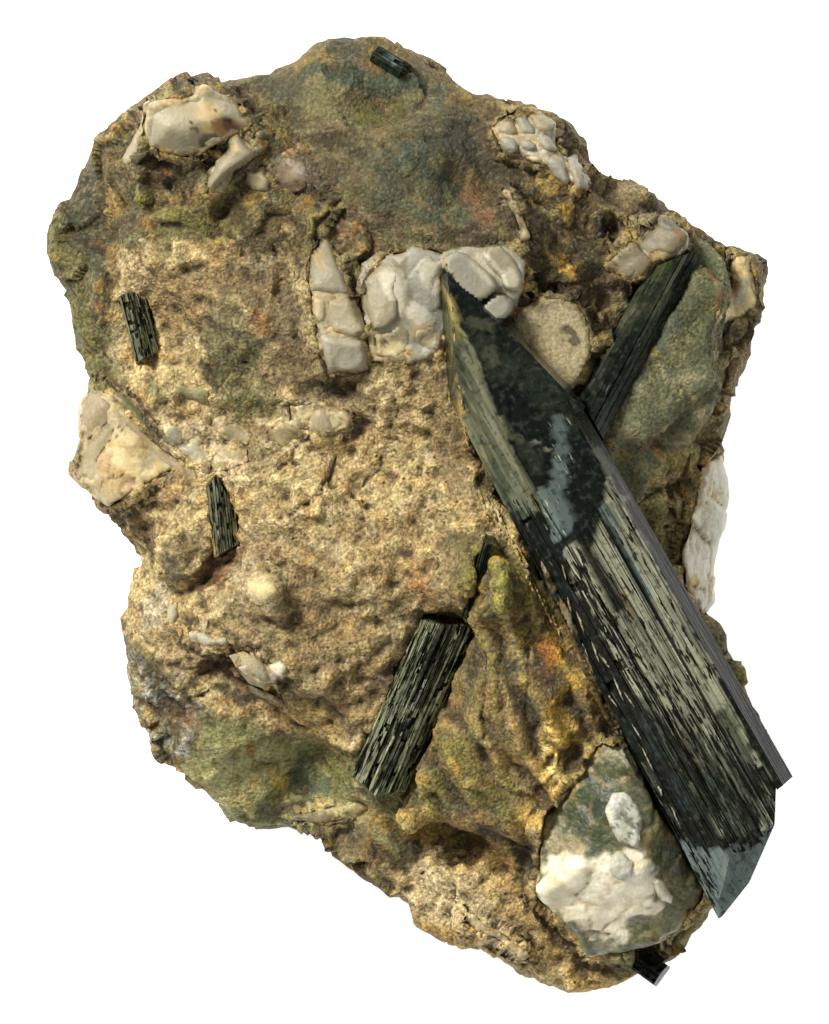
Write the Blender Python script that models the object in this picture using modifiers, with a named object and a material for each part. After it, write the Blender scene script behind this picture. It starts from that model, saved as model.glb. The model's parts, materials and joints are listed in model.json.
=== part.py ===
"""Aegirine crystals in a lump of weathered syenite, lying on its broken back.

The plan (X to the right, Y up the specimen) is given in millimetres from the middle
of its outline, and Z in millimetres above the flat back. The last step turns every
mesh to metres and puts the origin under the middle of the whole specimen.
"""

import math
import random

import bmesh
import bpy
from mathutils import Matrix, Vector, noise

# Driving dimensions, in millimetres
MM = 0.001
GAP = 0.3
LARGEST_MITRE = 2.5
CLEARANCE = 9.0
RIM_HEIGHT = 18.0
RIM_WAVE = 6.0
RIM_WAVES_ROUND = 3.1
BACK_DEPTH = 3.0
MIDDLE = Vector((-1.5, -0.5))
SKIN_SIZE = 0.8
ROCK_FACES = 5400

# How steeply the front and the back leave the rim: smaller is a blunter edge
FRONT_BLUNTNESS = 0.5
FRONT_SOFTNESS = 2.0

# How the rock broke, in millimetres: lumps and grain of its surface, and its flat breaks
LUMP_SIZE = 13.0
LUMP_RISE = 2.2
GRAIN_SIZE = 4.6
GRAIN_RISE = 1.1
BREAK_SIZE = 8.0
FRONT_LEAN = 0.35
SIDE_SIZE = 11.0
SIDE_BREAKS = 7.0
SIDE_LEAN = 0.5
CAVE_ROUGHNESS = 0.2

# Outline of the lump, clockwise from its left tip
OUTLINE = [
    (-37.0, 28.5), (-35.5, 31.0), (-33.5, 34.0), (-32.0, 38.0), (-28.0, 40.5),
    (-25.0, 43.5), (-20.5, 44.0), (-18.5, 43.0), (-14.0, 44.2), (-10.0, 47.0),
    (-7.5, 47.9), (-3.0, 47.8), (0.0, 46.5), (2.5, 45.0), (5.5, 42.0),
    (9.0, 41.3), (12.0, 40.8), (14.5, 40.0), (17.0, 37.0), (17.5, 34.5),
    (20.5, 33.0), (23.0, 33.0), (25.5, 30.0), (28.5, 28.5), (31.0, 26.4),
    (35.2, 26.5), (35.0, 21.0), (34.0, 17.0), (31.5, 12.5), (31.0, 6.0),
    (30.5, -1.0), (29.0, -5.5), (29.5, -9.0), (32.0, -15.5), (35.5, -22.5),
    (34.5, -30.0), (30.0, -39.0), (26.0, -44.4), (20.0, -47.0), (16.0, -48.0),
    (11.0, -46.1), (8.0, -43.9), (3.5, -43.1), (0.5, -41.6), (-1.5, -38.0),
    (-6.0, -36.0), (-9.5, -32.3), (-13.0, -31.2), (-17.5, -31.4), (-20.0, -28.6),
    (-25.5, -24.4), (-28.0, -19.0), (-29.4, -12.0), (-28.4, -6.5), (-27.1, -4.0),
    (-31.0, 0.5), (-34.4, 4.0), (-33.0, 8.0), (-33.4, 10.8), (-31.9, 13.6),
    (-34.0, 17.0), (-34.3, 22.0), (-37.1, 25.2),
]

# Where the widest line stands higher: direction in degrees, rise, and how narrow it is
SHOULDERS = [(-38.0, 10.0, 10), (38.0, 5.0, 8), (118.0, 3.0, 8)]

# Height of the rugged front at chosen places: x, y, z
FRONT_HEIGHTS = [
    (-8.5, 1.5, 29), (-26.5, 3.5, 26), (-11.5, -12.5, 31), (-21.5, -8.5, 29),
    (-35.5, 27.5, 19), (-31.5, 21.5, 23), (-22.5, 39.5, 32), (-18.5, 30.5, 31),
    (-26.5, 26.5, 28), (-6.5, 42.5, 29), (-1.5, 34.5, 36), (-8.5, 35.5, 35),
    (1.5, 28.5, 36), (12.5, 37.5, 31), (18.5, 30.5, 32), (10.5, 29.5, 35),
    (-1.5, 21.5, 33), (13.5, 17.5, 32), (23.5, 27.5, 30), (27.5, 18.5, 31),
    (23.5, 9.5, 31), (28.5, 6.5, 27), (27.5, -0.5, 24), (33.0, 23.5, 25),
    (14.5, 6.5, 33), (23.5, -8.5, 32), (31.5, -22.5, 28), (8.5, -8.5, 35),
    (14.5, -18.5, 36), (8.5, -18.5, 34), (18.5, -24.5, 35), (-0.5, -18.5, 29),
    (-21.5, -20.5, 24), (-13.5, -26.5, 24), (-26.5, -13.5, 25), (1.5, -33.5, 24),
    (6.5, -38.5, 27), (14.5, -44.5, 23), (2.5, -40.5, 24), (20.5, -33.5, 33),
    (27.5, -40.5, 27), (3.0, -27.5, 33), (10.0, -30.0, 33), (-3.5, -9.0, 30),
]

# Domes that stand on the front: x, y, radius, height
LUMPS = [
    (5.5, -6.5, 3.4, 2.4), (9.5, -7.5, 2.8, 2.6), (-15.0, -7.5, 3.2, 2.8),
    (-18.5, -11.0, 2.8, 1.8), (-24.0, -4.5, 2.8, 2.0), (-27.0, -11.5, 3.2, 1.8),
    (8.0, -16.0, 2.6, 1.8), (6.5, -22.0, 3.2, 1.8), (4.0, -40.0, 4.2, 2.6),
    (11.0, -42.0, 4.2, 1.8), (-3.0, -34.0, 3.2, 1.8), (-9.0, 44.5, 4.2, 2.6),
    (-2.0, 45.0, 3.2, 1.8), (-24.0, 42.5, 4.5, 3.0), (10.0, 40.0, 3.2, 1.8),
    (-34.0, 26.0, 4.2, 2.6), (-7.0, -2.5, 6.0, 1.2), (-27.5, 14.5, 4.5, 1.8),
]

# Hollows in the front: x, y, radius, depth
HOLLOWS = [
    (-24.3, 33.1, 1.7, 3.0), (-19.4, 29.9, 1.7, 3.0), (-20.3, 37.0, 2.0, 3.4),
    (-7.0, 12.8, 2.2, 2.6), (-20.0, -5.5, 2.6, 2.6), (7.0, -20.5, 1.6, 1.8),
    (-12.5, 22.0, 2.4, 1.8), (3.6, -17.5, 2.4, 3.2), (31.0, 18.0, 2.0, 2.4),
    (13.2, 24.0, 2.2, 2.4), (18.5, 22.5, 2.4, 2.4), (-8.7, -28.0, 3.0, 2.0),
]

# Caves cut into the front: centre and half lengths
CAVES = [
    ((2.6, -32.6, 25.5), (5.2, 2.4, 3.6)),
    ((19.4, 28.6, 32.0), (2.2, 2.0, 4.6)),
]

# Colour, roughness and metallic value of each kind of surface
FINISHES = {
    "crusted_syenite": ((0.30, 0.22, 0.12, 1.0), 0.9, 0.0),
    "aegirine": ((0.02, 0.03, 0.025, 1.0), 0.25, 0.0),
    "white_feldspar": ((0.62, 0.58, 0.50, 1.0), 0.5, 0.0),
    "clear_feldspar": ((0.40, 0.40, 0.33, 1.0), 0.3, 0.0),
    "tan_feldspar": ((0.48, 0.37, 0.20, 1.0), 0.7, 0.0),
    "green_cleavage": ((0.33, 0.38, 0.28, 1.0), 0.35, 0.0),
}


def clear_scene():
    for obj in list(bpy.data.objects):
        bpy.data.objects.remove(obj, do_unlink=True)


def new_collection(name):
    collection = bpy.data.collections.new(name)
    bpy.context.scene.collection.children.link(collection)
    return collection


clear_scene()
SPECIMEN = new_collection("aegirine_crystal")
CUTTERS = new_collection("cutters")
CUTTERS.hide_render = True


# Shape of the rock


def smooth_step(low, high, value):
    t = min(max((value - low) / (high - low), 0.0), 1.0)
    return t * t * (3.0 - 2.0 * t)


def rim_reach(angle):
    """Distance from the middle to the outline, in the direction of the angle."""
    ray = Vector((math.cos(angle), math.sin(angle)))
    reach = 0.0
    for start, end in zip(OUTLINE, OUTLINE[1:] + OUTLINE[:1]):
        start = Vector(start) - MIDDLE
        side = Vector(end) - MIDDLE - start
        across = ray.x * side.y - ray.y * side.x
        if abs(across) < 1e-9:
            continue
        along_ray = (start.x * side.y - start.y * side.x) / across
        along_side = (start.x * ray.y - start.y * ray.x) / across
        if along_ray > 0.0 and -1e-6 <= along_side <= 1.0 + 1e-6:
            reach = max(reach, along_ray)
    return reach


def front_height(x, y):
    """Height of the front above the back: chosen heights blended, lumps and hollows."""
    total = 0.0
    weights = 0.0
    for place_x, place_y, height in FRONT_HEIGHTS:
        weight = ((x - place_x) ** 2 + (y - place_y) ** 2 + FRONT_SOFTNESS) ** -2
        total += weight * height
        weights += weight
    height = total / weights
    for group, sign in ((LUMPS, 1.0), (HOLLOWS, -1.0)):
        for place_x, place_y, radius, rise in group:
            apart = ((x - place_x) ** 2 + (y - place_y) ** 2) / radius**2
            if apart < 1.0:
                height += sign * rise * (1.0 - apart)
    return height


def break_face(point, size):
    """Each cell of the rock breaks on a flat face of its own lean."""
    centre = noise.voronoi(point / size)[1][0]
    lean = [noise.noise(centre * 5.3 + Vector((0.0, 0.0, 17.0 * axis))) for axis in range(3)]
    return (point / size - centre).dot(Vector(lean)) * size


def rim_height(away):
    """Height of the lump's widest line in a direction."""
    height = RIM_HEIGHT + RIM_WAVE * noise.noise(away * RIM_WAVES_ROUND + Vector((0.0, 0.0, 0.4)))
    for angle, rise, spread in SHOULDERS:
        turn = math.radians(angle)
        facing = away.x * math.cos(turn) + away.y * math.sin(turn)
        height += rise * max(facing, 0.0) ** spread
    return height


def roughness(place):
    """How far the broken surface stands above or below its smooth form."""
    lumps = LUMP_RISE * noise.noise(place / LUMP_SIZE)
    grain = GRAIN_RISE * noise.noise(place / GRAIN_SIZE)
    return lumps + grain + FRONT_LEAN * break_face(place, BREAK_SIZE)


def surface_height(x, y):
    """Height of the rock's front at a place in plan, with its fall to the rim."""
    away = Vector((x - MIDDLE.x, y - MIDDLE.y, 0.0))
    share = min(away.length / rim_reach(math.atan2(away.y, away.x)), 0.999)
    rim = rim_height(away.normalized())
    z = rim + (front_height(x, y) - rim) * (1.0 - share**2) ** (FRONT_BLUNTNESS / 2.0)
    return z + roughness(Vector((x, y, z)))


def rock_point(ray):
    """Place on the rock for a direction: the outline at the rim, the front above it."""
    angle = math.atan2(ray.y, ray.x)
    away = Vector((math.cos(angle), math.sin(angle), 0.0))
    reach = rim_reach(angle) * math.hypot(ray.x, ray.y)
    x = MIDDLE.x + reach * away.x
    y = MIDDLE.y + reach * away.y
    rim = rim_height(away)
    level = front_height(x, y) if ray.z >= 0.0 else -BACK_DEPTH
    place = Vector((x, y, rim + (level - rim) * abs(ray.z) ** FRONT_BLUNTNESS))

    # The sides are broken inwards only, so that the outline stays
    side = smooth_step(0.02, 0.3, abs(ray.z)) * (1.0 - smooth_step(0.5, 0.9, abs(ray.z)))
    hollows = SIDE_BREAKS * abs(noise.noise(place / SIDE_SIZE))
    flats = SIDE_LEAN * abs(break_face(place, BREAK_SIZE))
    place.z += roughness(place)
    return place - away * side * (hollows + flats)


# Making and joining solids


def new_object(name, mesh, collection):
    obj = bpy.data.objects.new(name, mesh)
    collection.objects.link(obj)
    if collection is CUTTERS:
        obj.hide_render = True
        obj.display_type = "WIRE"
    return obj


def finish_mesh(bm, name, collection):
    bmesh.ops.recalc_face_normals(bm, faces=bm.faces[:])
    mesh = bpy.data.meshes.new(name)
    bm.to_mesh(mesh)
    bm.free()
    return new_object(name, mesh, collection)


def cut_with_plane(bm, place, normal):
    """Cleaves off what lies beyond the plane, and closes the face it leaves."""
    geometry = bm.verts[:] + bm.edges[:] + bm.faces[:]
    bmesh.ops.bisect_plane(
        bm, geom=geometry, dist=1e-5, plane_co=place, plane_no=normal, clear_outer=True
    )
    open_edges = [edge for edge in bm.edges if edge.is_boundary]
    if open_edges:
        bmesh.ops.holes_fill(bm, edges=open_edges, sides=0)


def bake_modifiers(obj):
    graph = bpy.context.evaluated_depsgraph_get()
    baked = bpy.data.meshes.new_from_object(obj.evaluated_get(graph))
    obj.modifiers.clear()
    old = obj.data
    obj.data = baked
    bpy.data.meshes.remove(old)


def combine(obj, tool, operation):
    """Boolean of the object with a tool, with its result made the object's own mesh."""
    modifier = obj.modifiers.new("combine", "BOOLEAN")
    modifier.operation = operation
    modifier.solver = "EXACT"
    modifier.object = tool
    bpy.context.view_layer.update()
    bake_modifiers(obj)


def bodies_of(bm):
    """The mesh's separate bodies, each a list of vertices."""
    bodies = []
    seen = set()
    for first in bm.verts:
        if first.index in seen:
            continue
        seen.add(first.index)
        body = [first]
        for vert in body:
            for edge in vert.link_edges:
                other = edge.other_vert(vert)
                if other.index not in seen:
                    seen.add(other.index)
                    body.append(other)
        bodies.append(body)
    return bodies


def tidy_solid(obj):
    """Triangles only, no slivers, and only the largest body."""
    bm = bmesh.new()
    bm.from_mesh(obj.data)
    bmesh.ops.dissolve_degenerate(bm, dist=0.01, edges=bm.edges[:])
    bmesh.ops.triangulate(bm, faces=bm.faces[:])
    bm.verts.index_update()
    for body in sorted(bodies_of(bm), key=len)[:-1]:
        bmesh.ops.delete(bm, geom=body, context="VERTS")
    bm.to_mesh(obj.data)
    bm.free()


# The pieces that sit in the rock


def wider_outline(outline, distance):
    """The outline moved outwards by the distance, with mitred corners."""
    points = [Vector(point) for point in outline]
    area = sum(a.x * b.y - a.y * b.x for a, b in zip(points, points[1:] + points[:1]))
    turn = 1.0 if area > 0.0 else -1.0
    wider = []
    for index, point in enumerate(points):
        before = (point - points[index - 1]).normalized()
        after = (points[(index + 1) % len(points)] - point).normalized()
        first = Vector((before.y, -before.x)) * turn
        second = Vector((after.y, -after.x)) * turn
        mitre = (first + second).normalized()
        wider.append(point + mitre * distance / max(mitre.dot(first), 0.5))
    return wider


def slab(name, outline, rise, depth, lean=(0.0, 0.0), chamfer=0.4, rounds=1, cuts=(), pocket=False):
    """A grain with a flat leaning top, `rise` above the rock at its middle.

    cuts are faces cleaved off the top: place (x, y, height above the rock) and normal.
    pocket makes the hole for it instead: wider by the gap, and open upwards.
    """
    grow = GAP if pocket else 0.0
    middle = sum((Vector(point) for point in outline), Vector((0.0, 0.0))) / len(outline)
    ground = surface_height(middle.x, middle.y)
    floor = ground + rise - depth - grow
    bm = bmesh.new()
    corners = []
    for point in wider_outline(outline, grow):
        slope = lean[0] * (point.x - middle.x) + lean[1] * (point.y - middle.y)
        top = ground + rise + slope + (CLEARANCE if pocket else 0.0)
        corners.append(bm.verts.new((point.x, point.y, top)))
    top_face = bm.faces.new(corners)
    below = bmesh.ops.extrude_face_region(bm, geom=[top_face])["geom"]
    for vert in below:
        if isinstance(vert, bmesh.types.BMVert):
            vert.co.z = floor
    bmesh.ops.recalc_face_normals(bm, faces=bm.faces[:])
    if not pocket:
        for place, normal in cuts:
            height = ground + place[2]
            cut_with_plane(bm, Vector((place[0], place[1], height)), Vector(normal))
        if chamfer > 0.0:
            above = floor + 0.1
            upper = [edge for edge in bm.edges if min(vert.co.z for vert in edge.verts) > above]
            bmesh.ops.bevel(
                bm, geom=upper, offset=chamfer, segments=rounds, profile=0.5,
                affect="EDGES", clamp_overlap=True, material=-1,
            )
    if pocket:
        return finish_mesh(bm, name + "_pocket", CUTTERS)
    return finish_mesh(bm, name, SPECIMEN)


def crystal_frame(start, end):
    """Matrix from the crystal's own axes (along, across, up) to the specimen's."""
    start = Vector(start)
    end = Vector(end)
    along = (end - start).normalized()
    across = Vector((0.0, 0.0, 1.0)).cross(along).normalized()
    up = along.cross(across)
    turn = Matrix((along, across, up)).transposed().to_4x4()
    return Matrix.Translation((start + end) / 2.0) @ turn


def next_ring(bm, face, ring):
    """Extrudes the end face once more, and gives the new ring in the old one's order."""
    grown = bmesh.ops.extrude_face_region(bm, geom=[face])["geom"]
    new_face = next(item for item in grown if isinstance(item, bmesh.types.BMFace))
    order = {vert: index for index, vert in enumerate(ring)}
    new_ring = [None] * len(ring)
    for vert in new_face.verts:
        behind = [edge.other_vert(vert) for edge in vert.link_edges]
        new_ring[next(order[other] for other in behind if other in order)] = vert
    return new_face, new_ring


def crystal(name, start, end, blades, depth, cuts, seed, steps=5, stagger=0.15):
    """A prism of parallel blades. Each blade is (left, right, height at its two sides).

    cuts are cleaved faces in the crystal's axes (along, across, up): place and normal.
    """
    chance = random.Random(seed)
    frame = crystal_frame(start, end)
    half = (Vector(end) - Vector(start)).length / 2.0
    bm = bmesh.new()
    heights = []
    ring = []
    for left, right, left_height, right_height in blades:
        ring.append(bm.verts.new((-half, left, left_height)))
        ring.append(bm.verts.new((-half, right, right_height)))
        heights += [left_height, right_height]
    ring.append(bm.verts.new((-half, blades[-1][1], -depth)))
    ring.append(bm.verts.new((-half, blades[0][0], -depth)))
    face = bm.faces.new(ring)
    for step in range(steps):
        old_face = face
        face, ring = next_ring(bm, face, ring)
        if step > 0:
            bmesh.ops.delete(bm, geom=[old_face], context="FACES_ONLY")
        shifts = [chance.uniform(-stagger, stagger) for _ in blades]
        for index, vert in enumerate(ring):
            vert.co.x += half * 2.0 / steps
            if index < len(heights):
                vert.co.z = heights[index] + shifts[index // 2]
    bmesh.ops.recalc_face_normals(bm, faces=bm.faces[:])
    for place, normal in cuts:
        cut_with_plane(bm, Vector(place), Vector(normal))
    bmesh.ops.transform(bm, matrix=frame, verts=bm.verts[:])
    return finish_mesh(bm, name, SPECIMEN)


def grounded(x, y, rise):
    """A place at a height above the rock's front."""
    return (x, y, surface_height(x, y) + rise)


def hull_pocket(obj):
    """The hole for a crystal: its hull, swept upwards and wider by the gap."""
    bm = bmesh.new()
    for vert in obj.data.vertices:
        bm.verts.new(vert.co)
        bm.verts.new(vert.co + Vector((0.0, 0.0, CLEARANCE)))
    hull = bmesh.ops.convex_hull(bm, input=bm.verts[:])
    inner = hull["geom_interior"] + hull["geom_unused"]
    loose = [vert for vert in bm.verts if vert in inner]
    bmesh.ops.delete(bm, geom=loose, context="VERTS")
    bmesh.ops.dissolve_limit(bm, angle_limit=0.01, verts=bm.verts[:], edges=bm.edges[:])
    bmesh.ops.recalc_face_normals(bm, faces=bm.faces[:])
    bm.normal_update()
    outwards = [vert.normal * GAP * min(vert.calc_shell_factor(), LARGEST_MITRE) for vert in bm.verts]
    for vert, step in zip(bm.verts, outwards):
        vert.co += step
    return finish_mesh(bm, obj.name + "_pocket", CUTTERS)


# The pieces, from the rock outwards


def build_rock():
    bm = bmesh.new()
    bmesh.ops.create_icosphere(bm, subdivisions=6, radius=1.0)
    for vert in bm.verts:
        vert.co = rock_point(vert.co.normalized())
    cut_with_plane(bm, Vector((0.0, 0.0, 0.0)), Vector((0.0, 0.0, -1.0)))
    rock = finish_mesh(bm, "matrix_rock", SPECIMEN)
    skin = rock.modifiers.new("even_skin", "REMESH")
    skin.mode = "VOXEL"
    skin.voxel_size = SKIN_SIZE
    bpy.context.view_layer.update()
    bake_modifiers(rock)
    fewer = rock.modifiers.new("fewer_faces", "DECIMATE")
    fewer.ratio = ROCK_FACES / (2.0 * len(rock.data.polygons))
    fewer.use_collapse_triangulate = True
    bpy.context.view_layer.update()
    bake_modifiers(rock)
    return rock


def rock_forms():
    """Flat-sided forms of the rock itself, fused to it."""
    return [
        slab(
            "wedge_face",
            [
                (27.5, 26.4), (29.4, 24.8), (30.8, 20.7), (29.8, 18.8), (30.4, 15.5),
                (30.0, 12.7), (27.2, 11.1), (24.5, 8.4), (22.6, 5.6), (20.6, 9.5),
                (21.8, 15.2), (24.6, 20.5),
            ],
            1.2, 7.0, lean=(-0.22, 0.06), chamfer=0.3,
        ),
        slab(
            "olive_block",
            [(5.9, -10.2), (8.9, -4.9), (10.7, -5.7), (10.3, -9.2), (8.7, -10.8)],
            0.8, 5.0, lean=(0.1, 0.12), chamfer=0.4,
        ),
        slab(
            "dark_block",
            [(-26.0, -3.0), (-23.0, -2.8), (-21.9, -5.2), (-23.3, -6.9), (-26.2, -6.2)],
            0.9, 5.0, lean=(0.08, -0.1), chamfer=0.5,
        ),
        slab(
            "overhang_ridge",
            [
                (-2.0, -29.2), (2.0, -27.6), (6.5, -28.2), (8.2, -30.4),
                (5.2, -31.2), (1.8, -30.4), (-1.0, -31.8),
            ],
            0.8, 5.0, lean=(0.02, 0.12), chamfer=0.4,
        ),
    ]


def cave(place, half_lengths):
    bm = bmesh.new()
    bmesh.ops.create_icosphere(bm, subdivisions=2, radius=1.0)
    for vert in bm.verts:
        rough = 1.0 + CAVE_ROUGHNESS * noise.noise(vert.co * 2.1 + Vector(place))
        vert.co = Vector(place) + Vector(a * b for a, b in zip(vert.co, half_lengths)) * rough
    return finish_mesh(bm, "cave", CUTTERS)


# Aegirine crystals: the long one first, because the others end against it

MAIN_TIP = (1.6, 23.1, 38.3)
MAIN_END = (35.8, -36.9, 35.2)
MAIN_DEPTH = 5.6
MAIN_BLADES = [
    (-7.2, -5.7, 0.2, 0.8), (-5.7, -4.2, 1.2, 2.4), (-4.2, -2.6, 2.6, 4.0),
    (-2.6, -1.3, 5.0, 5.2), (-1.3, 0.4, 4.7, 4.8), (0.4, 1.3, 5.1, 5.0),
    (1.3, 2.9, 4.5, 4.6), (2.9, 3.6, 4.1, 4.1), (3.6, 5.2, 4.5, 4.2),
]
TIP = (-34.5, 1.8, 0.0)
MAIN_CUTS = [
    (TIP, (-0.166, 0.122, 1.0)),
    (TIP, (-0.309, -0.73, 1.0)),
    (TIP, (-0.33, 1.0, 0.25)),
    (TIP, (-0.41, -0.91, 0.15)),
    ((0.0, -5.1, 0.0), (-0.04, -1.0, 0.0)),
    ((26.0, 4.8, 0.0), (0.53, 0.85, 0.0)),
    ((31.4, 1.4, 0.0), (0.92, 0.39, 0.0)),
    ((28.5, 0.0, 4.8), (0.6, 0.0, 0.8)),
]
EDGE_BLADES = [(4.9, 5.65, 4.1, 3.7), (5.65, 6.9, 3.5, -1.0)]
EDGE_CUTS = [
    (TIP, (-0.33, 1.0, 0.25)),
    ((-18.0, 5.6, 0.0), (-1.0, 0.0, 0.0)),
    ((26.0, 5.6, 0.0), (1.0, 0.1, 0.0)),
]


def main_crystal():
    """The long crystal and the blade grown together with it along its right edge."""
    body = crystal(
        "main_crystal", MAIN_TIP, MAIN_END, MAIN_BLADES, MAIN_DEPTH, MAIN_CUTS,
        seed=4, steps=6, stagger=0.3,
    )
    edge = crystal(
        "edge_blade", MAIN_TIP, MAIN_END, EDGE_BLADES, MAIN_DEPTH - 0.6, EDGE_CUTS,
        seed=5, steps=2, stagger=0.08,
    )
    combine(body, edge, "UNION")
    bpy.data.objects.remove(edge, do_unlink=True)
    return body


def aegirine_crystals():
    return [
        main_crystal(),
        crystal(
            "crossing_crystal", (26.6, 26.6, 28.6), (15.0, 5.0, 32.2),
            [(-2.0, -0.4, 0.4, 2.6), (-0.4, 0.8, 2.7, 2.2), (0.8, 2.1, 2.0, 0.4)], 3.4,
            [], seed=11, steps=3,
        ),
        crystal(
            "lower_crystal", (3.6, -10.2, 29.4), (-4.4, -28.4, 28.4),
            [
                (-2.8, -2.0, 0.4, 1.3), (-2.0, -1.2, 1.6, 2.0), (-1.2, -0.3, 1.7, 2.2),
                (-0.3, 0.5, 1.9, 2.1), (0.5, 1.4, 2.3, 1.8), (1.4, 2.2, 1.5, 1.2),
                (2.2, 2.8, 0.9, 0.2),
            ], 2.6,
            [
                ((-9.7, 0.0, 0.0), (-0.9, -0.35, 0.2)), ((8.4, 2.0, 0.0), (0.8, 0.55, 0.15)),
                ((9.4, 0.0, 0.0), (0.95, -0.3, 0.1)),
            ],
            seed=7, steps=6, stagger=0.35,
        ),
        crystal(
            "thin_blade", (7.3, -2.6, 36.3), (4.7, -11.6, 33.9),
            [(-0.5, 0.0, 0.9, 1.3), (0.0, 0.5, 1.2, 0.8)], 2.4, [], seed=3, steps=2, stagger=0.1,
        ),
        crystal(
            "left_crystal", grounded(-28.3, 22.0, -0.6), grounded(-26.6, 15.4, -0.6),
            [(-1.3, 0.1, 0.9, 1.9), (0.1, 1.3, 1.7, 0.7)], 1.8,
            [((-3.0, 1.0, 0.0), (-0.8, 0.6, 0.1)), ((2.9, 1.0, 0.0), (0.6, 0.8, 0.1))],
            seed=5, steps=2, stagger=0.1,
        ),
        crystal(
            "centre_crystal", grounded(-19.6, 4.0, -0.6), grounded(-18.8, -4.1, -0.6),
            [(-1.3, -0.4, 0.7, 1.6), (-0.4, 0.5, 1.7, 1.5), (0.5, 1.3, 1.3, 0.6)], 1.8,
            [
                ((-3.9, 0.0, 0.0), (-0.35, 0.9, 0.1)), ((-3.9, -0.6, 0.0), (-0.6, -0.8, 0.1)),
                ((3.7, 0.0, 0.0), (0.85, 0.4, 0.1)),
            ],
            seed=6, steps=2, stagger=0.1,
        ),
        crystal(
            "top_crystal", grounded(-3.9, 46.0, 0.0), grounded(-1.1, 44.3, -0.4),
            [(-0.9, 0.0, 0.6, 1.2), (0.0, 0.9, 1.1, 0.5)], 1.5, [], seed=8, steps=2, stagger=0.1,
        ),
        crystal(
            "bottom_crystal", grounded(22.4, -44.4, -0.2), grounded(24.6, -46.0, 0.4),
            [(-1.2, 0.1, 0.7, 1.4), (0.1, 1.2, 1.3, 0.6)], 1.6, [], seed=9, steps=2, stagger=0.1,
        ),
    ]


# Feldspar and cleavage pieces: plan outline, rise, depth and the form of the top

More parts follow.
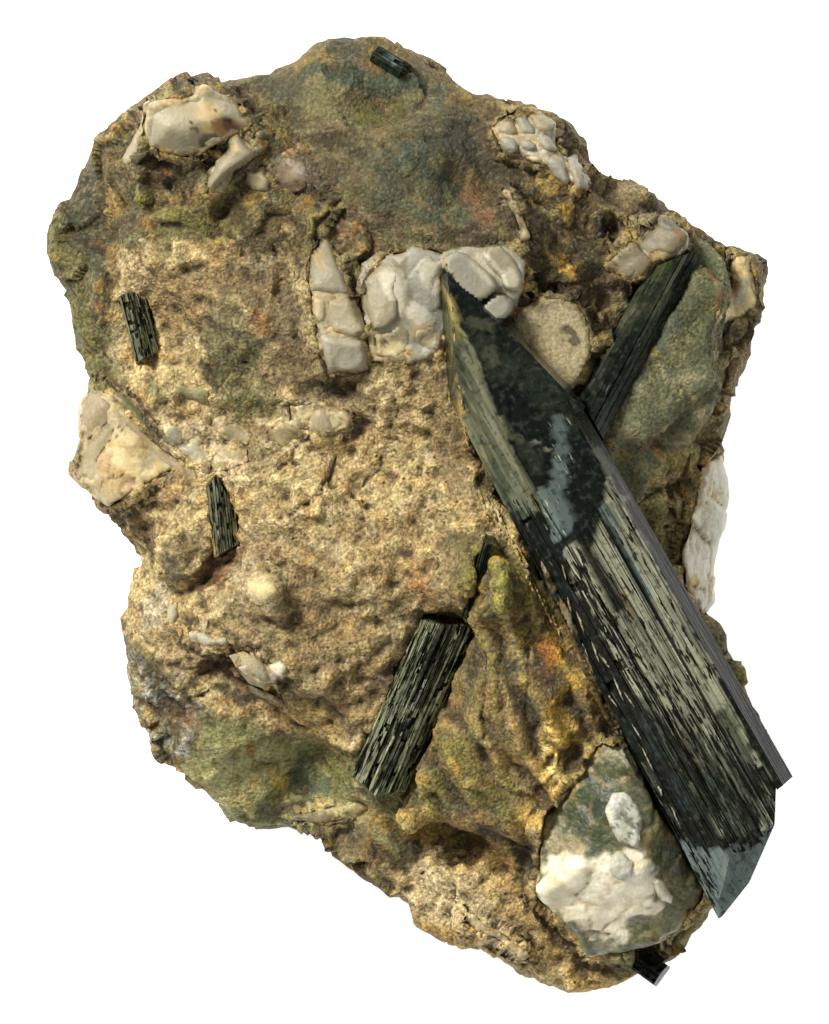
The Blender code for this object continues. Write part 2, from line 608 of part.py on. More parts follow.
GRAINS = {
    "clear_slab": dict(
        outline=[
            (24.4, 30.0), (27.2, 28.1), (27.0, 26.3), (24.0, 25.1), (21.5, 23.1), (19.0, 25.0),
            (21.2, 27.3),
        ],
        rise=1.9, depth=4.0, lean=(0.10, -0.16), chamfer=0.35, finish="clear_feldspar",
    ),
    "cleavage_block": dict(
        outline=[
            (18.6, -22.6), (21.5, -23.1), (22.9, -25.1), (25.1, -29.8), (27.2, -33.2),
            (28.9, -37.0), (28.7, -38.8), (25.7, -41.5), (20.8, -43.7), (17.3, -44.2),
            (15.7, -41.3), (12.2, -37.9), (12.7, -30.0), (15.6, -27.2), (16.9, -24.3),
        ],
        rise=4.6, depth=12.0, lean=(0.05, 0.14), chamfer=0.7,
        cuts=[
            ((16.5, -33.0, 4.0), (-0.55, 0.1, 0.83)), ((25.5, -36.0, 1.6), (0.62, -0.25, 0.74)),
            ((20.0, -40.5, 0.4), (-0.1, -0.62, 0.78)),
        ],
        finish="green_cleavage",
    ),
    "feldspar_knob": dict(
        outline=[
            (-26.8, 40.9), (-24.6, 41.4), (-21.9, 41.7), (-21.4, 42.9), (-20.3, 42.5),
            (-17.7, 40.9), (-16.1, 38.8), (-19.5, 37.2), (-21.4, 35.6), (-25.6, 35.9),
            (-26.7, 36.7),
        ],
        rise=1.8, depth=6.0, lean=(-0.05, 0.08), chamfer=1.1, rounds=2,
        cuts=[((-18.5, 39.0, 0.7), (0.45, 0.1, 0.88)), ((-22.5, 36.6, 0.9), (-0.1, -0.5, 0.86))],
        finish="white_feldspar",
    ),
    "feldspar_shard": dict(
        outline=[
            (-17.9, 38.0), (-15.4, 35.9), (-18.0, 33.7), (-19.0, 32.2), (-20.9, 31.9),
            (-20.6, 34.3), (-18.7, 35.9),
        ],
        rise=1.5, depth=4.0, lean=(0.08, 0.10), chamfer=0.35, finish="white_feldspar",
    ),
    "feldspar_column": dict(
        outline=[
            (-9.6, 27.7), (-8.3, 27.1), (-7.5, 24.8), (-6.4, 21.6), (-5.3, 18.9), (-4.5, 14.2),
            (-8.8, 13.8), (-9.6, 16.1), (-10.0, 19.0), (-10.6, 22.1), (-10.7, 25.3),
        ],
        rise=2.1, depth=6.0, lean=(0.12, 0.0), chamfer=0.5,
        cuts=[((-9.3, 24.5, 1.2), (-0.25, 0.5, 0.83)), ((-6.8, 15.6, 1.2), (0.1, -0.5, 0.86))],
        finish="white_feldspar",
    ),
    "feldspar_mass": dict(
        outline=[
            (-4.8, 23.7), (-2.9, 26.0), (1.9, 26.6), (3.4, 25.9), (3.5, 24.2), (2.6, 22.0),
            (2.6, 18.4), (1.0, 16.3), (-2.1, 16.2), (-3.6, 17.6), (-5.4, 20.6),
        ],
        rise=1.9, depth=6.0, lean=(0.02, 0.05), chamfer=0.9, rounds=2,
        cuts=[((0.5, 18.4, 1.0), (0.1, -0.5, 0.86)), ((-4.0, 21.5, 0.8), (-0.5, 0.1, 0.86))],
        finish="white_feldspar",
    ),
    "feldspar_ridge": dict(
        outline=[
            (4.0, 26.0), (6.2, 25.2), (7.7, 23.6), (8.0, 22.2), (9.7, 20.7), (9.1, 19.6),
            (6.3, 21.0), (4.9, 23.2),
        ],
        rise=2.0, depth=5.0, lean=(-0.10, 0.12), chamfer=0.5, finish="white_feldspar",
    ),
    "feldspar_chip": dict(
        outline=[
            (6.9, 26.0), (7.6, 26.7), (9.8, 26.0), (11.1, 23.7), (10.4, 22.0), (8.8, 22.9),
            (8.5, 24.2),
        ],
        rise=1.6, depth=4.5, lean=(0.06, 0.10), chamfer=0.35, finish="white_feldspar",
    ),
    "feldspar_blade": dict(
        outline=[(8.6, 32.4), (9.6, 32.3), (10.4, 30.2), (11.5, 27.6), (10.6, 27.3), (9.6, 29.4)],
        rise=1.3, depth=3.5, lean=(0.12, 0.05), chamfer=0.25, finish="white_feldspar",
    ),
    "feldspar_rim": dict(
        outline=[
            (7.5, 38.6), (9.4, 40.2), (12.7, 40.3), (14.2, 39.0), (14.0, 36.6), (17.2, 33.2),
            (16.0, 32.5), (13.3, 34.5), (10.5, 35.6), (8.4, 36.5),
        ],
        rise=1.6, depth=5.0, lean=(-0.04, -0.22), chamfer=0.4,
        cuts=[((11.0, 39.2, 0.6), (0.0, 0.62, 0.78))],
        finish="white_feldspar",
    ),
    "feldspar_corner": dict(
        outline=[
            (31.5, 26.0), (33.6, 25.8), (34.1, 23.6), (34.4, 21.2), (33.3, 19.8), (31.0, 19.3),
            (31.0, 21.3), (31.8, 23.9),
        ],
        rise=1.4, depth=5.0, lean=(-0.12, 0.05), chamfer=0.4, finish="white_feldspar",
    ),
    "tan_rhomb": dict(
        outline=[
            (12.5, 21.9), (14.8, 21.5), (16.3, 21.0), (17.3, 18.9), (17.2, 16.1), (16.2, 13.9),
            (15.4, 12.5), (13.1, 14.7), (9.8, 18.4), (11.3, 20.7),
        ],
        rise=3.0, depth=6.0, lean=(-0.08, 0.10), chamfer=0.35, finish="tan_feldspar",
    ),
    "feldspar_left_edge": dict(
        outline=[
            (-32.2, 13.4), (-29.9, 11.2), (-27.6, 8.8), (-25.5, 6.9), (-23.0, 5.0), (-26.4, 3.4),
            (-30.6, 0.7), (-34.9, 4.2), (-33.5, 7.9), (-34.0, 10.7),
        ],
        rise=1.2, depth=6.0, lean=(0.12, 0.06), chamfer=0.6,
        cuts=[((-31.8, 6.5, -0.6), (-0.66, 0.0, 0.75)), ((-26.0, 6.2, 0.9), (0.3, 0.3, 0.9))],
        finish="white_feldspar",
    ),
    "feldspar_band": dict(
        outline=[
            (-12.9, 11.2), (-9.6, 11.5), (-6.2, 10.2), (-6.2, 8.5), (-8.7, 8.0), (-12.3, 8.9),
        ],
        rise=0.9, depth=4.0, lean=(0.05, 0.10), chamfer=0.35, finish="white_feldspar",
    ),
    "feldspar_right_edge": dict(
        outline=[
            (30.9, 6.4), (31.5, 2.9), (31.1, -0.9), (29.9, -5.0), (30.1, -8.6), (28.6, -10.2),
            (26.9, -7.6), (26.7, -3.4), (28.0, 0.7), (28.5, 5.1),
        ],
        rise=2.2, depth=8.0, lean=(-0.6, 0.0), chamfer=0.45,
        cuts=[((29.6, 0.0, 0.0), (0.8, -0.05, 0.6))],
        finish="white_feldspar",
    ),
    "feldspar_lower_edge": dict(
        outline=[
            (-12.8, -30.3), (-9.2, -29.4), (-6.0, -28.7), (-4.2, -29.0), (-6.0, -30.5),
            (-9.1, -31.0),
        ],
        rise=1.3, depth=4.0, lean=(0.0, 0.15), chamfer=0.3, finish="white_feldspar",
    ),
    "flake_bright": dict(
        outline=[(-17.7, -15.2), (-15.3, -14.3), (-13.1, -15.4), (-13.9, -16.7), (-15.4, -16.9)],
        rise=0.9, depth=2.5, lean=(-0.12, 0.0), chamfer=0.2, finish="white_feldspar",
    ),
    "flake_pale": dict(
        outline=[
            (-22.6, -11.7), (-21.6, -11.4), (-19.6, -12.1), (-18.1, -12.5), (-18.9, -13.2),
            (-20.6, -13.1), (-22.2, -12.7),
        ],
        rise=0.9, depth=2.5, lean=(0.05, 0.10), chamfer=0.2, finish="white_feldspar",
    ),
    "strip_pale": dict(
        outline=[
            (3.9, -38.4), (5.2, -39.1), (7.2, -41.0), (8.6, -41.6), (11.5, -43.9), (10.9, -44.5),
            (8.2, -42.4), (6.2, -41.6), (4.4, -39.6),
        ],
        rise=1.0, depth=3.5, lean=(0.0, -0.12), chamfer=0.25, finish="white_feldspar",
    ),
}


def material(name):
    colour, gloss, metallic = FINISHES[name]
    made = bpy.data.materials.new(name)
    made.use_nodes = True
    shader = made.node_tree.nodes["Principled BSDF"]
    shader.inputs["Base Color"].default_value = colour
    shader.inputs["Roughness"].default_value = gloss
    shader.inputs["Metallic"].default_value = metallic
    return made


def boxes_meet(first, second):
    """Whether two objects' boxes overlap, to skip cuts that would do nothing."""
    for axis in range(3):
        a = [vert.co[axis] for vert in first.data.vertices]
        b = [vert.co[axis] for vert in second.data.vertices]
        if min(a) > max(b) or min(b) > max(a):
            return False
    return True


def build_specimen():
    rock = build_rock()
    for form in rock_forms():
        combine(rock, form, "UNION")
        bpy.data.objects.remove(form, do_unlink=True)
    for place, half_lengths in CAVES:
        combine(rock, cave(place, half_lengths), "DIFFERENCE")

    finishes = {name: material(name) for name in FINISHES}
    rock.data.materials.append(finishes["crusted_syenite"])
    placed = []
    crystals = aegirine_crystals()
    main = crystals[0]
    placed.append((main, hull_pocket(main), "aegirine"))
    for name, form in GRAINS.items():
        finish = form["finish"]
        shape = {key: value for key, value in form.items() if key != "finish"}
        placed.append((slab(name, **shape), slab(name, pocket=True, **shape), finish))
    for piece in crystals[1:]:
        placed.append((piece, hull_pocket(piece), "aegirine"))

    for index, (piece, pocket, finish) in enumerate(placed):
        for _, earlier, _ in placed[:index]:
            if boxes_meet(piece, earlier):
                combine(piece, earlier, "DIFFERENCE")
        if boxes_meet(rock, pocket):
            combine(rock, pocket, "DIFFERENCE")
        tidy_solid(piece)
        piece.data.materials.clear()
        piece.data.materials.append(finishes[finish])
    tidy_solid(rock)
    return [rock] + [piece for piece, _, _ in placed]


def to_metres(pieces):
    """Metres, with the origin under the middle of the whole specimen."""
    places = [vert.co for piece in pieces for vert in piece.data.vertices]
    low = Vector(min(place[axis] for place in places) for axis in range(3))
    high = Vector(max(place[axis] for place in places) for axis in range(3))
    origin = Vector(((low.x + high.x) / 2.0, (low.y + high.y) / 2.0, low.z))
    move = Matrix.Scale(MM, 4) @ Matrix.Translation(-origin)
    for obj in list(SPECIMEN.objects) + list(CUTTERS.objects):
        obj.data.transform(move)


to_metres(build_specimen())
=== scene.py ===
"""Looks of the aegirine specimen: crusted rock, feldspar, dark crystals, floor and light.

Places are in millimetres in the plan of the photograph: X to the right, Y up and Z out
of the specimen's front. TO_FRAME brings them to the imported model's own frame, in metres.
"""

import bisect
import json
import math
import random
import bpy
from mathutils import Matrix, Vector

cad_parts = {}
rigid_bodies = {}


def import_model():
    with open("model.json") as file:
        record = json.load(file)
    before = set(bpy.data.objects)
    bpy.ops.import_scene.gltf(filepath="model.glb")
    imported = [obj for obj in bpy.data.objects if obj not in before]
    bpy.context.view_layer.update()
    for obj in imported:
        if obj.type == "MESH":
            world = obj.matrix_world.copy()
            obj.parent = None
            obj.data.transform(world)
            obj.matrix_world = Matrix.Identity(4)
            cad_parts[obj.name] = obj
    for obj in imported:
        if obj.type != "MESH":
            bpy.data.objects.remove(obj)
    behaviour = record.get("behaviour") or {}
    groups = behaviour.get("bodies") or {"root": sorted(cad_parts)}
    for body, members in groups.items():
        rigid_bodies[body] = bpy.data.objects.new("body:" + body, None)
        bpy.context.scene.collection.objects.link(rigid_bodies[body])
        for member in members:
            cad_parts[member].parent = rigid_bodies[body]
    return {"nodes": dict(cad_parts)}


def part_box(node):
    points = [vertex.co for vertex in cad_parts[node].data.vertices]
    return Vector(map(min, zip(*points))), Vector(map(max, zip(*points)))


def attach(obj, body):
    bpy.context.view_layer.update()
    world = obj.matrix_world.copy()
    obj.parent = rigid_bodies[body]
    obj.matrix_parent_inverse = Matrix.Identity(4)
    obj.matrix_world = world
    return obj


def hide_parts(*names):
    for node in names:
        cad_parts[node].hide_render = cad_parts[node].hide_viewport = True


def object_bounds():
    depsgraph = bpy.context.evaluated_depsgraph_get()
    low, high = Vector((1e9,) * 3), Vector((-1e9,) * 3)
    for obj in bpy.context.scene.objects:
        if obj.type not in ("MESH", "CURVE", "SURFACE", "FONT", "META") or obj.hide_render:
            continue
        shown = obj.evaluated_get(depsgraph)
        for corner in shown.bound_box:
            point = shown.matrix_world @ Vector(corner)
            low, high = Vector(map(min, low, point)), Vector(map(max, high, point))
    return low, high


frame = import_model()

from types import SimpleNamespace

import bmesh
import bpy
import numpy as np
from mathutils import Matrix, Vector, noise
from mathutils.bvhtree import BVHTree

CAD_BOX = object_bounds()

MM = 0.001

# A distance past every piece, and a height above them all, in millimetres
FAR = 1e9
ABOVE = 60.0
UPWARDS = Vector((0.0, 0.0, 1.0))
DOWNWARDS = Vector((0.0, 0.0, -1.0))

# The knob's lowest corner in the plan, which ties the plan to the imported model
KNOB_CORNER = (-26.8, 35.6)
knob_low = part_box("feldspar_knob")[0]
SHIFT = Vector((knob_low.x / MM - KNOB_CORNER[0], knob_low.y / MM - KNOB_CORNER[1], 0.0))
TO_FRAME = Matrix.Scale(MM, 4) @ Matrix.Translation(SHIFT)
TO_PLAN = TO_FRAME.inverted()

# Colours, as linear values
PALETTE = {
    "sand": (0.70, 0.56, 0.275),
    "dim_sand": (0.46, 0.32, 0.14),
    "cream": (0.72, 0.60, 0.36),
    "snow": (0.96, 0.88, 0.66),
    "white": (0.50, 0.455, 0.33),
    "milk": (0.38, 0.335, 0.215),
    "ivory": (0.49, 0.40, 0.225),
    "tan": (0.46, 0.36, 0.195),
    "sage": (0.16, 0.175, 0.09),
    "band_green": (0.375, 0.37, 0.19),
    "dark_olive": (0.085, 0.088, 0.045),
    "leaf": (0.06, 0.085, 0.03),
    "fibre": (0.285, 0.30, 0.175),
    "end_face": (0.15, 0.19, 0.175),
    "chalk": (0.37, 0.35, 0.27),
    "buff": (0.43, 0.36, 0.195),
    "slab_grey": (0.21, 0.18, 0.105),
    "stone_grey": (0.52, 0.52, 0.45),
    "bone": (0.40, 0.34, 0.20),
    "ochre": (0.54, 0.375, 0.135),
    "gold": (0.58, 0.39, 0.12),
    "rust": (0.33, 0.14, 0.04),
    "dark_rust": (0.10, 0.04, 0.014),
    "brown": (0.20, 0.155, 0.075),
    "dark_brown": (0.05, 0.038, 0.018),
    "olive": (0.20, 0.185, 0.06),
    "green": (0.18, 0.18, 0.075),
    "moss": (0.10, 0.115, 0.045),
    "pale_green": (0.31, 0.29, 0.15),
    "teal": (0.062, 0.088, 0.058),
    "slate": (0.115, 0.105, 0.065),
    "dark_slate": (0.06, 0.056, 0.038),
    "mauve": (0.19, 0.135, 0.095),
    "black": (0.012, 0.012, 0.008),
    "jet": (0.007, 0.010, 0.008),
    "bright": (0.62, 0.63, 0.52),
    "cool_white": (0.66, 0.64, 0.52),
    "bottle": (0.022, 0.032, 0.020),
    "steel": (0.10, 0.115, 0.095),
    "silver": (0.30, 0.31, 0.25),
    "pearl": (0.34, 0.335, 0.25),
    "bronze": (0.135, 0.135, 0.08),
    "lath": (0.27, 0.275, 0.19),
    "strip": (0.018, 0.020, 0.015),
    "blue_grey": (0.15, 0.195, 0.178),
    "dust": (0.07, 0.072, 0.045),
    "end_grey": (0.020, 0.032, 0.032),
}


# Numbers over a whole surface


def smooth_step(low, high, value):
    t = np.clip((value - low) / (high - low), 0.0, 1.0)
    return t * t * (3.0 - 2.0 * t)


def noise_field(places, size, seed=0):
    """Smooth noise, about -1 to 1, with lumps of the size."""
    moved = places / size + np.array((seed * 7.3, seed * 3.1, seed * 5.7))
    return np.array([noise.noise(place) for place in moved.tolist()])


def cell_field(places, size, seed=0):
    """For cells of the size: nearness to the cell's border, its chance value, its middle."""
    moved = places / size + np.array((seed * 4.7, seed * 8.9, seed * 2.3))
    border = np.empty(len(places))
    chance = np.empty(len(places))
    offset = np.empty((len(places), 3))
    for index, place in enumerate(moved.tolist()):
        distances, middles = noise.voronoi(place)
        border[index] = distances[1] - distances[0]
        middle = middles[0]
        chance[index] = noise.cell(middle * 3.7)
        offset[index] = (place[0] - middle[0], place[1] - middle[1], place[2] - middle[2])
    return border, chance, offset * size


def paired(numbers):
    """Points from a run of X and Y values."""
    return list(zip(numbers[::2], numbers[1::2]))


def line_distance(x, y, points):
    """Distance of every place to a line through the points, or to a single point."""
    if len(points) == 1:
        return np.hypot(x - points[0][0], y - points[0][1])
    best = np.full(len(x), FAR)
    for (ax, ay), (bx, by) in zip(points, points[1:]):
        dx = bx - ax
        dy = by - ay
        t = np.clip(((x - ax) * dx + (y - ay) * dy) / (dx * dx + dy * dy), 0.0, 1.0)
        best = np.minimum(best, np.hypot(x - ax - t * dx, y - ay - t * dy))
    return best


def area_mask(x, y, outline, edge):
    """1 inside the closed outline, 0 outside it, with a soft edge."""
    ring = paired(outline + outline[:2])
    inside = np.zeros(len(x), bool)
    for (ax, ay), (bx, by) in zip(ring, ring[1:]):
        if ay != by:
            crosses = (ay > y) != (by > y)
            inside ^= crosses & (x < ax + (y - ay) * (bx - ax) / (by - ay))
    away = line_distance(x, y, ring)
    return smooth_step(-edge, edge, np.where(inside, away, -away))


def strongest(x, y, areas, edge, floor=0.0):
    """The highest strength of the areas at every place, as (strength, outline)."""
    share = np.full(len(x), floor)
    for strength, outline in areas:
        share = np.maximum(share, area_mask(x, y, outline, edge) * strength)
    return share


def mixed(colours, name, amount):
    """The colours with a palette colour laid over them."""
    target = np.array(PALETTE[name])
    return colours + (target - colours) * np.clip(amount, 0.0, 1.0)[:, None]


def dappled(mask, fleck, strength):
    """A mask broken up by noise, patchy inside and ragged at its edge."""
    broken = mask + fleck * 0.42 * smooth_step(0.0, 0.25, mask)
    return smooth_step(0.15, 0.75, broken) * strength


def stroked(colours, x, y, fleck, strokes):
    """The colours with strokes over them, each of a width in mm and broken up by the flecks."""
    for name, width, strength, *line in strokes:
        mask = smooth_step(width * 1.15, width * 0.45, line_distance(x, y, paired(line)))
        colours = mixed(colours, name, dappled(mask, fleck, strength))
    return colours


def painted(places, base, areas, strokes, ragged=1.0):
    """Colour of every place: a base, then soft areas, then strokes.

    The base is a palette name, or colours that are there already.
    """
    wide = np.stack([noise_field(places, 3.2, seed) for seed in (1, 2)], 1)
    fine = np.stack([noise_field(places, 0.9, seed) for seed in (3, 4)], 1)
    x = places[:, 0] + (wide[:, 0] * 1.2 + fine[:, 0] * 0.8) * ragged
    y = places[:, 1] + (wide[:, 1] * 1.2 + fine[:, 1] * 0.8) * ragged
    fleck = (noise_field(places, 0.7, 17) + noise_field(places, 1.6, 18)) * ragged
    if isinstance(base, str):
        base = np.tile(np.array(PALETTE[base]), (len(places), 1))
    colours = base
    for name, edge, strength, outline in areas:
        colours = mixed(colours, name, dappled(area_mask(x, y, outline, edge), fleck, strength))
    return stroked(colours, x, y, fleck, strokes)


# Meshes


def plan_copy(node):
    """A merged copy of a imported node's mesh, in the plan's millimetres."""
    bm = bmesh.new()
    bm.from_mesh(frame["nodes"][node].data)
    bmesh.ops.transform(bm, matrix=TO_PLAN, verts=bm.verts[:])
    bmesh.ops.remove_doubles(bm, verts=bm.verts[:], dist=0.001)
    return bm


def as_mesh(bm, name):
    mesh = bpy.data.meshes.new(name)
    bm.to_mesh(mesh)
    bm.free()
    return mesh


def even_skin(bm, size):
    """The same body with an even skin of small faces."""
    draft = bpy.data.objects.new("draft", as_mesh(bm, "draft"))
    bpy.context.scene.collection.objects.link(draft)
    skin = draft.modifiers.new("skin", "REMESH")
    skin.mode = "VOXEL"
    skin.voxel_size = size
    graph = bpy.context.evaluated_depsgraph_get()
    skinned = bpy.data.meshes.new_from_object(draft.evaluated_get(graph))
    bpy.data.objects.remove(draft)
    even = bmesh.new()
    even.from_mesh(skinned)
    bpy.data.meshes.remove(skinned)
    return even


def relax(bm, times):
    for _ in range(times):
        bmesh.ops.smooth_vert(
            bm, verts=bm.verts[:], factor=0.5, use_axis_x=True, use_axis_y=True, use_axis_z=True
        )


def triples(source, name, count):
    """The vectors that a mesh's layer holds, one for each of the count."""
    flat = np.empty(count * 3, np.float32)
    source.foreach_get(name, flat)
    return flat.reshape(-1, 3).astype(float)


def points_of(mesh):
    return triples(mesh.vertices, "co", len(mesh.vertices))


def set_points(mesh, places):
    mesh.vertices.foreach_set("co", places.astype(np.float32).ravel())
    mesh.update()


def normals_of(mesh):
    return triples(mesh.vertex_normals, "vector", len(mesh.vertices))


def stains_of(mesh):
    return triples(mesh.attributes["stain"].data, "vector", len(mesh.vertices))


def evened(mesh, values, times):
    """Values at the vertices, averaged with their neighbours' a number of times."""
    ends = np.empty(len(mesh.edges) * 2, np.int32)
    mesh.edges.foreach_get("vertices", ends)
    first, second = ends.reshape(-1, 2).T
    count = np.bincount(ends, minlength=len(values))
    for _ in range(times):
        total = np.empty_like(values)
        for axis in range(values.shape[1]):
            total[:, axis] = np.bincount(first, values[second, axis], len(values))
            total[:, axis] += np.bincount(second, values[first, axis], len(values))
        values = (values + total / count[:, None]) / 2.0
    return values


def hollowness(mesh, reach=6):
    """How far each vertex lies below its surroundings, in mm: above 0 in hollows."""
    places = points_of(mesh)
    return ((evened(mesh, places, reach) - places) * normals_of(mesh)).sum(1)


def values_of(mesh, name):
    values = np.empty(len(mesh.vertices), np.float32)
    mesh.attributes[name].data.foreach_get("value", values)
    return values.astype(float)


def first_of(item):
    return item[0]


def set_stains(mesh, colours):
    layer = mesh.attributes.get("stain") or mesh.attributes.new("stain", "FLOAT_VECTOR", "POINT")
    layer.data.foreach_set("vector", colours.astype(np.float32).ravel())


def set_values(mesh, name, values):
    layer = mesh.attributes.new(name, "FLOAT", "POINT")
    layer.data.foreach_set("value", values.astype(np.float32))


def add_piece(mesh, name, material, slot, node=None, smooth=True):
    """Brings a finished mesh to the frame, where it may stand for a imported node."""
    mesh.transform(TO_FRAME)
    mesh.materials.clear()
    mesh.materials.append(material)
    mesh.polygons.foreach_set("use_smooth", [smooth] * len(mesh.polygons))
    piece = bpy.data.objects.new(name, mesh)
    bpy.context.scene.collection.objects.link(piece)
    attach(piece, "root")
    if node:
        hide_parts(node)


# Materials

PIT_SHADE_COLOUR = (0.05, 0.03, 0.012, 1.0)
GLOW_COLOURS = (0.6, 0.5, 0.35)
GLOW_DEPTH = 0.002
# Dirt and painted shade in the crystals' hollows
CRYSTAL_DIRT_AND_SHADE = (0.006, 0.007, 0.005, 1.0)
CRYSTAL_ROUGHNESS = (0.12, 0.38)
CRYSTAL_IOR = 1.2
STRIAE_DEPTH = 0.00006


def add_node(tree, kind, inputs=(), **settings):
    """A node with its settings, and each input either linked or given a value."""
    made = tree.nodes.new(kind)
    for name, value in settings.items():
        setattr(made, name, value)
    for socket, value in dict(inputs).items():
        if isinstance(value, bpy.types.NodeSocket):
            tree.links.new(value, made.inputs[socket])
        else:
            made.inputs[socket].default_value = value
    return made


def new_group(name, inputs, outputs):
    """A shader node group with named sockets, and its two end nodes."""
    group = bpy.data.node_groups.new(name, "ShaderNodeTree")
    kinds = {"value": "NodeSocketFloat", "colour": "NodeSocketColor", "vector": "NodeSocketVector"}
    for label, kind in inputs:
        group.interface.new_socket(label, in_out="INPUT", socket_type=kinds[kind])
    for label, kind in outputs:
        group.interface.new_socket(label, in_out="OUTPUT", socket_type=kinds[kind])
    return group, group.nodes.new("NodeGroupInput"), group.nodes.new("NodeGroupOutput")


def maths(tree, operation, first, second=0.0, clamp=False):
    made = add_node(tree, "ShaderNodeMath", {0: first, 1: second}, operation=operation)
    made.use_clamp = clamp
    return made.outputs[0]


def times(tree, first, second, clamp=False):
    return maths(tree, "MULTIPLY", first, second, clamp)


def mix_colours(tree, amount, first, second, blend="MIX"):
    made = add_node(tree, "ShaderNodeMix", {0: amount, 6: first, 7: second}, data_type="RGBA")
    made.blend_type = blend
    return made.outputs[2]


def tinted(tree, colour, tint):
    """A colour multiplied by a tint."""
    return mix_colours(tree, 1.0, colour, (*tint, 1.0), "MULTIPLY")


def attribute(tree, name, output="Fac"):
    return add_node(tree, "ShaderNodeAttribute", attribute_name=name).outputs[output]


def noise_texture(tree, place, scale, detail=3.0, roughness=0.5, output="Fac"):
    inputs = {"Vector": place, "Scale": scale, "Detail": detail, "Roughness": roughness}
    return add_node(tree, "ShaderNodeTexNoise", inputs).outputs[output]


def cell_texture(tree, place, scale):
    return add_node(tree, "ShaderNodeTexVoronoi", {"Vector": place, "Scale": scale}).outputs


def between(tree, value, low, high):
    """0 at the low value and 1 at the high one, smooth in between."""
    made = add_node(
        tree, "ShaderNodeMapRange", {0: value, 1: low, 2: high}, interpolation_type="SMOOTHSTEP"
    )
    return made.outputs[0]


def grit_group():
    """Grain of broken rock: mottled colour, painted shade in creases and pits, painted shadows of single
    grains, odd grains and the height of all.
    """
    group, start, end = new_group(
        "grit",
        [("Colour", "colour"), ("Fineness", "value"), ("Mottle", "value"), ("Hue", "value"),
         ("Grains", "value"), ("Pits", "value"), ("Pit shade colour", "colour")],
        [("Colour", "colour"), ("Height", "value")],
    )
    place = add_node(group, "ShaderNodeTexCoord").outputs["Object"]
    stain, fineness, mottle, hue, grains, pits, pit_shade_colour = start.outputs[:7]
    fine = noise_texture(group, place, fineness, 5.0, 0.68)
    broad = noise_texture(group, place, times(group, fineness, 0.24))
    cells = cell_texture(group, place, times(group, fineness, 1.1))
    holes = cell_texture(group, place, times(group, fineness, 0.36))["Distance"]
    reach = times(group, pits, between(group, broad, 0.44, 0.62))
    inside = maths(group, "SUBTRACT", times(group, reach, 0.62), holes)
    depth = between(group, inside, -0.05, 0.2)
    dark = times(group, between(group, fine, 0.52, 0.36), mottle)
    light = times(group, between(group, fine, 0.52, 0.66), mottle)
    crease_shade = times(group, between(group, cells["Distance"], 0.35, 0.85), mottle)

    # Patches that are a little greener or redder
    tints = noise_texture(group, place, times(group, fineness, 0.42), 3.0, 0.7, "Color")
    tint = add_node(group, "ShaderNodeSeparateColor", {"Color": tints}).outputs
    greener = times(group, between(group, tint[0], 0.50, 0.62), hue)
    redder = times(group, between(group, tint[1], 0.52, 0.66), hue)
    base = mix_colours(group, greener, stain, tinted(group, stain, (0.74, 0.86, 0.70)))
    base = mix_colours(group, redder, base, tinted(group, base, (1.08, 0.82, 0.58)))

    # Mottle, then painted shade in the creases and painted shadows of single grains
    colour = mix_colours(group, dark, base, tinted(group, base, (0.36, 0.30, 0.23)))
    colour = mix_colours(group, light, colour, tinted(group, base, (1.62, 1.62, 1.56)))
    shaded_in_creases = tinted(group, colour, (0.45, 0.38, 0.30))
    colour = mix_colours(group, times(group, crease_shade, 0.7), colour, shaded_in_creases)
    odd = add_node(group, "ShaderNodeSeparateColor", {"Color": cells["Color"]}).outputs
    shadow = times(group, between(group, odd[2], 0.75, 0.0), mottle)
    colour = mix_colours(group, times(group, shadow, 0.45), colour, shaded_in_creases)

    # Pale and black grains, then painted shade in the pits
    pale = times(group, between(group, odd[0], 0.86, 0.9), grains)
    black = times(group, between(group, odd[1], 0.86, 0.9), grains)
    colour = mix_colours(group, pale, colour, mix_colours(group, 0.3, colour, (0.55, 0.48, 0.32, 1.0)))
    blackened = mix_colours(group, 0.75, colour, (0.02, 0.018, 0.01, 1.0))
    colour = mix_colours(group, black, colour, blackened)
    colour = mix_colours(group, depth, colour, pit_shade_colour)
    group.links.new(colour, end.inputs["Colour"])
    rounded = maths(group, "SUBTRACT", 1.0, cells["Distance"])
    height = maths(group, "ADD", maths(group, "ADD", fine, broad), times(group, rounded, 0.5))
    group.links.new(maths(group, "SUBTRACT", height, depth), end.inputs["Height"])
    return group


def recess_group():
    """Dirt and painted shade in a surface's hollows, painted light on its rises, from its hollow attribute
    in millimetres.
    """
    group, start, end = new_group(
        "recess_dirt_and_shade",
        [("Colour", "colour"), ("Dirt and shade", "colour"), ("Depth", "value")],
        [("Colour", "colour")],
    )
    stain, dirt_and_shade, depth = start.outputs[:3]
    share = maths(group, "DIVIDE", attribute(group, "hollow"), depth)
    down = between(group, share, 0.1, 1.0)
    up = between(group, share, -0.1, -1.0)
    # Painted shade darkens the hollows towards the dirt colour, and painted light brightens the raised
    # places
    colour = mix_colours(group, times(group, down, 0.8), stain, dirt_and_shade)
    raised = tinted(group, colour, (1.22, 1.2, 1.16))
    group.links.new(mix_colours(group, up, colour, raised), end.inputs["Colour"])
    return group


GRIT = grit_group()
RECESS = recess_group()


def place_group(tree, group, inputs):
    return add_node(tree, "ShaderNodeGroup", inputs, node_tree=group).outputs


def new_material(name):
    made = bpy.data.materials.new(name)
    made.use_nodes = True
    return made, made.node_tree, made.node_tree.nodes["Principled BSDF"]


def add_bump(tree, shader, height, distance):
    relief = add_node(tree, "ShaderNodeBump", {"Height": height, "Distance": distance, "Strength": 1.0})
    tree.links.new(relief.outputs["Normal"], shader.inputs["Normal"])


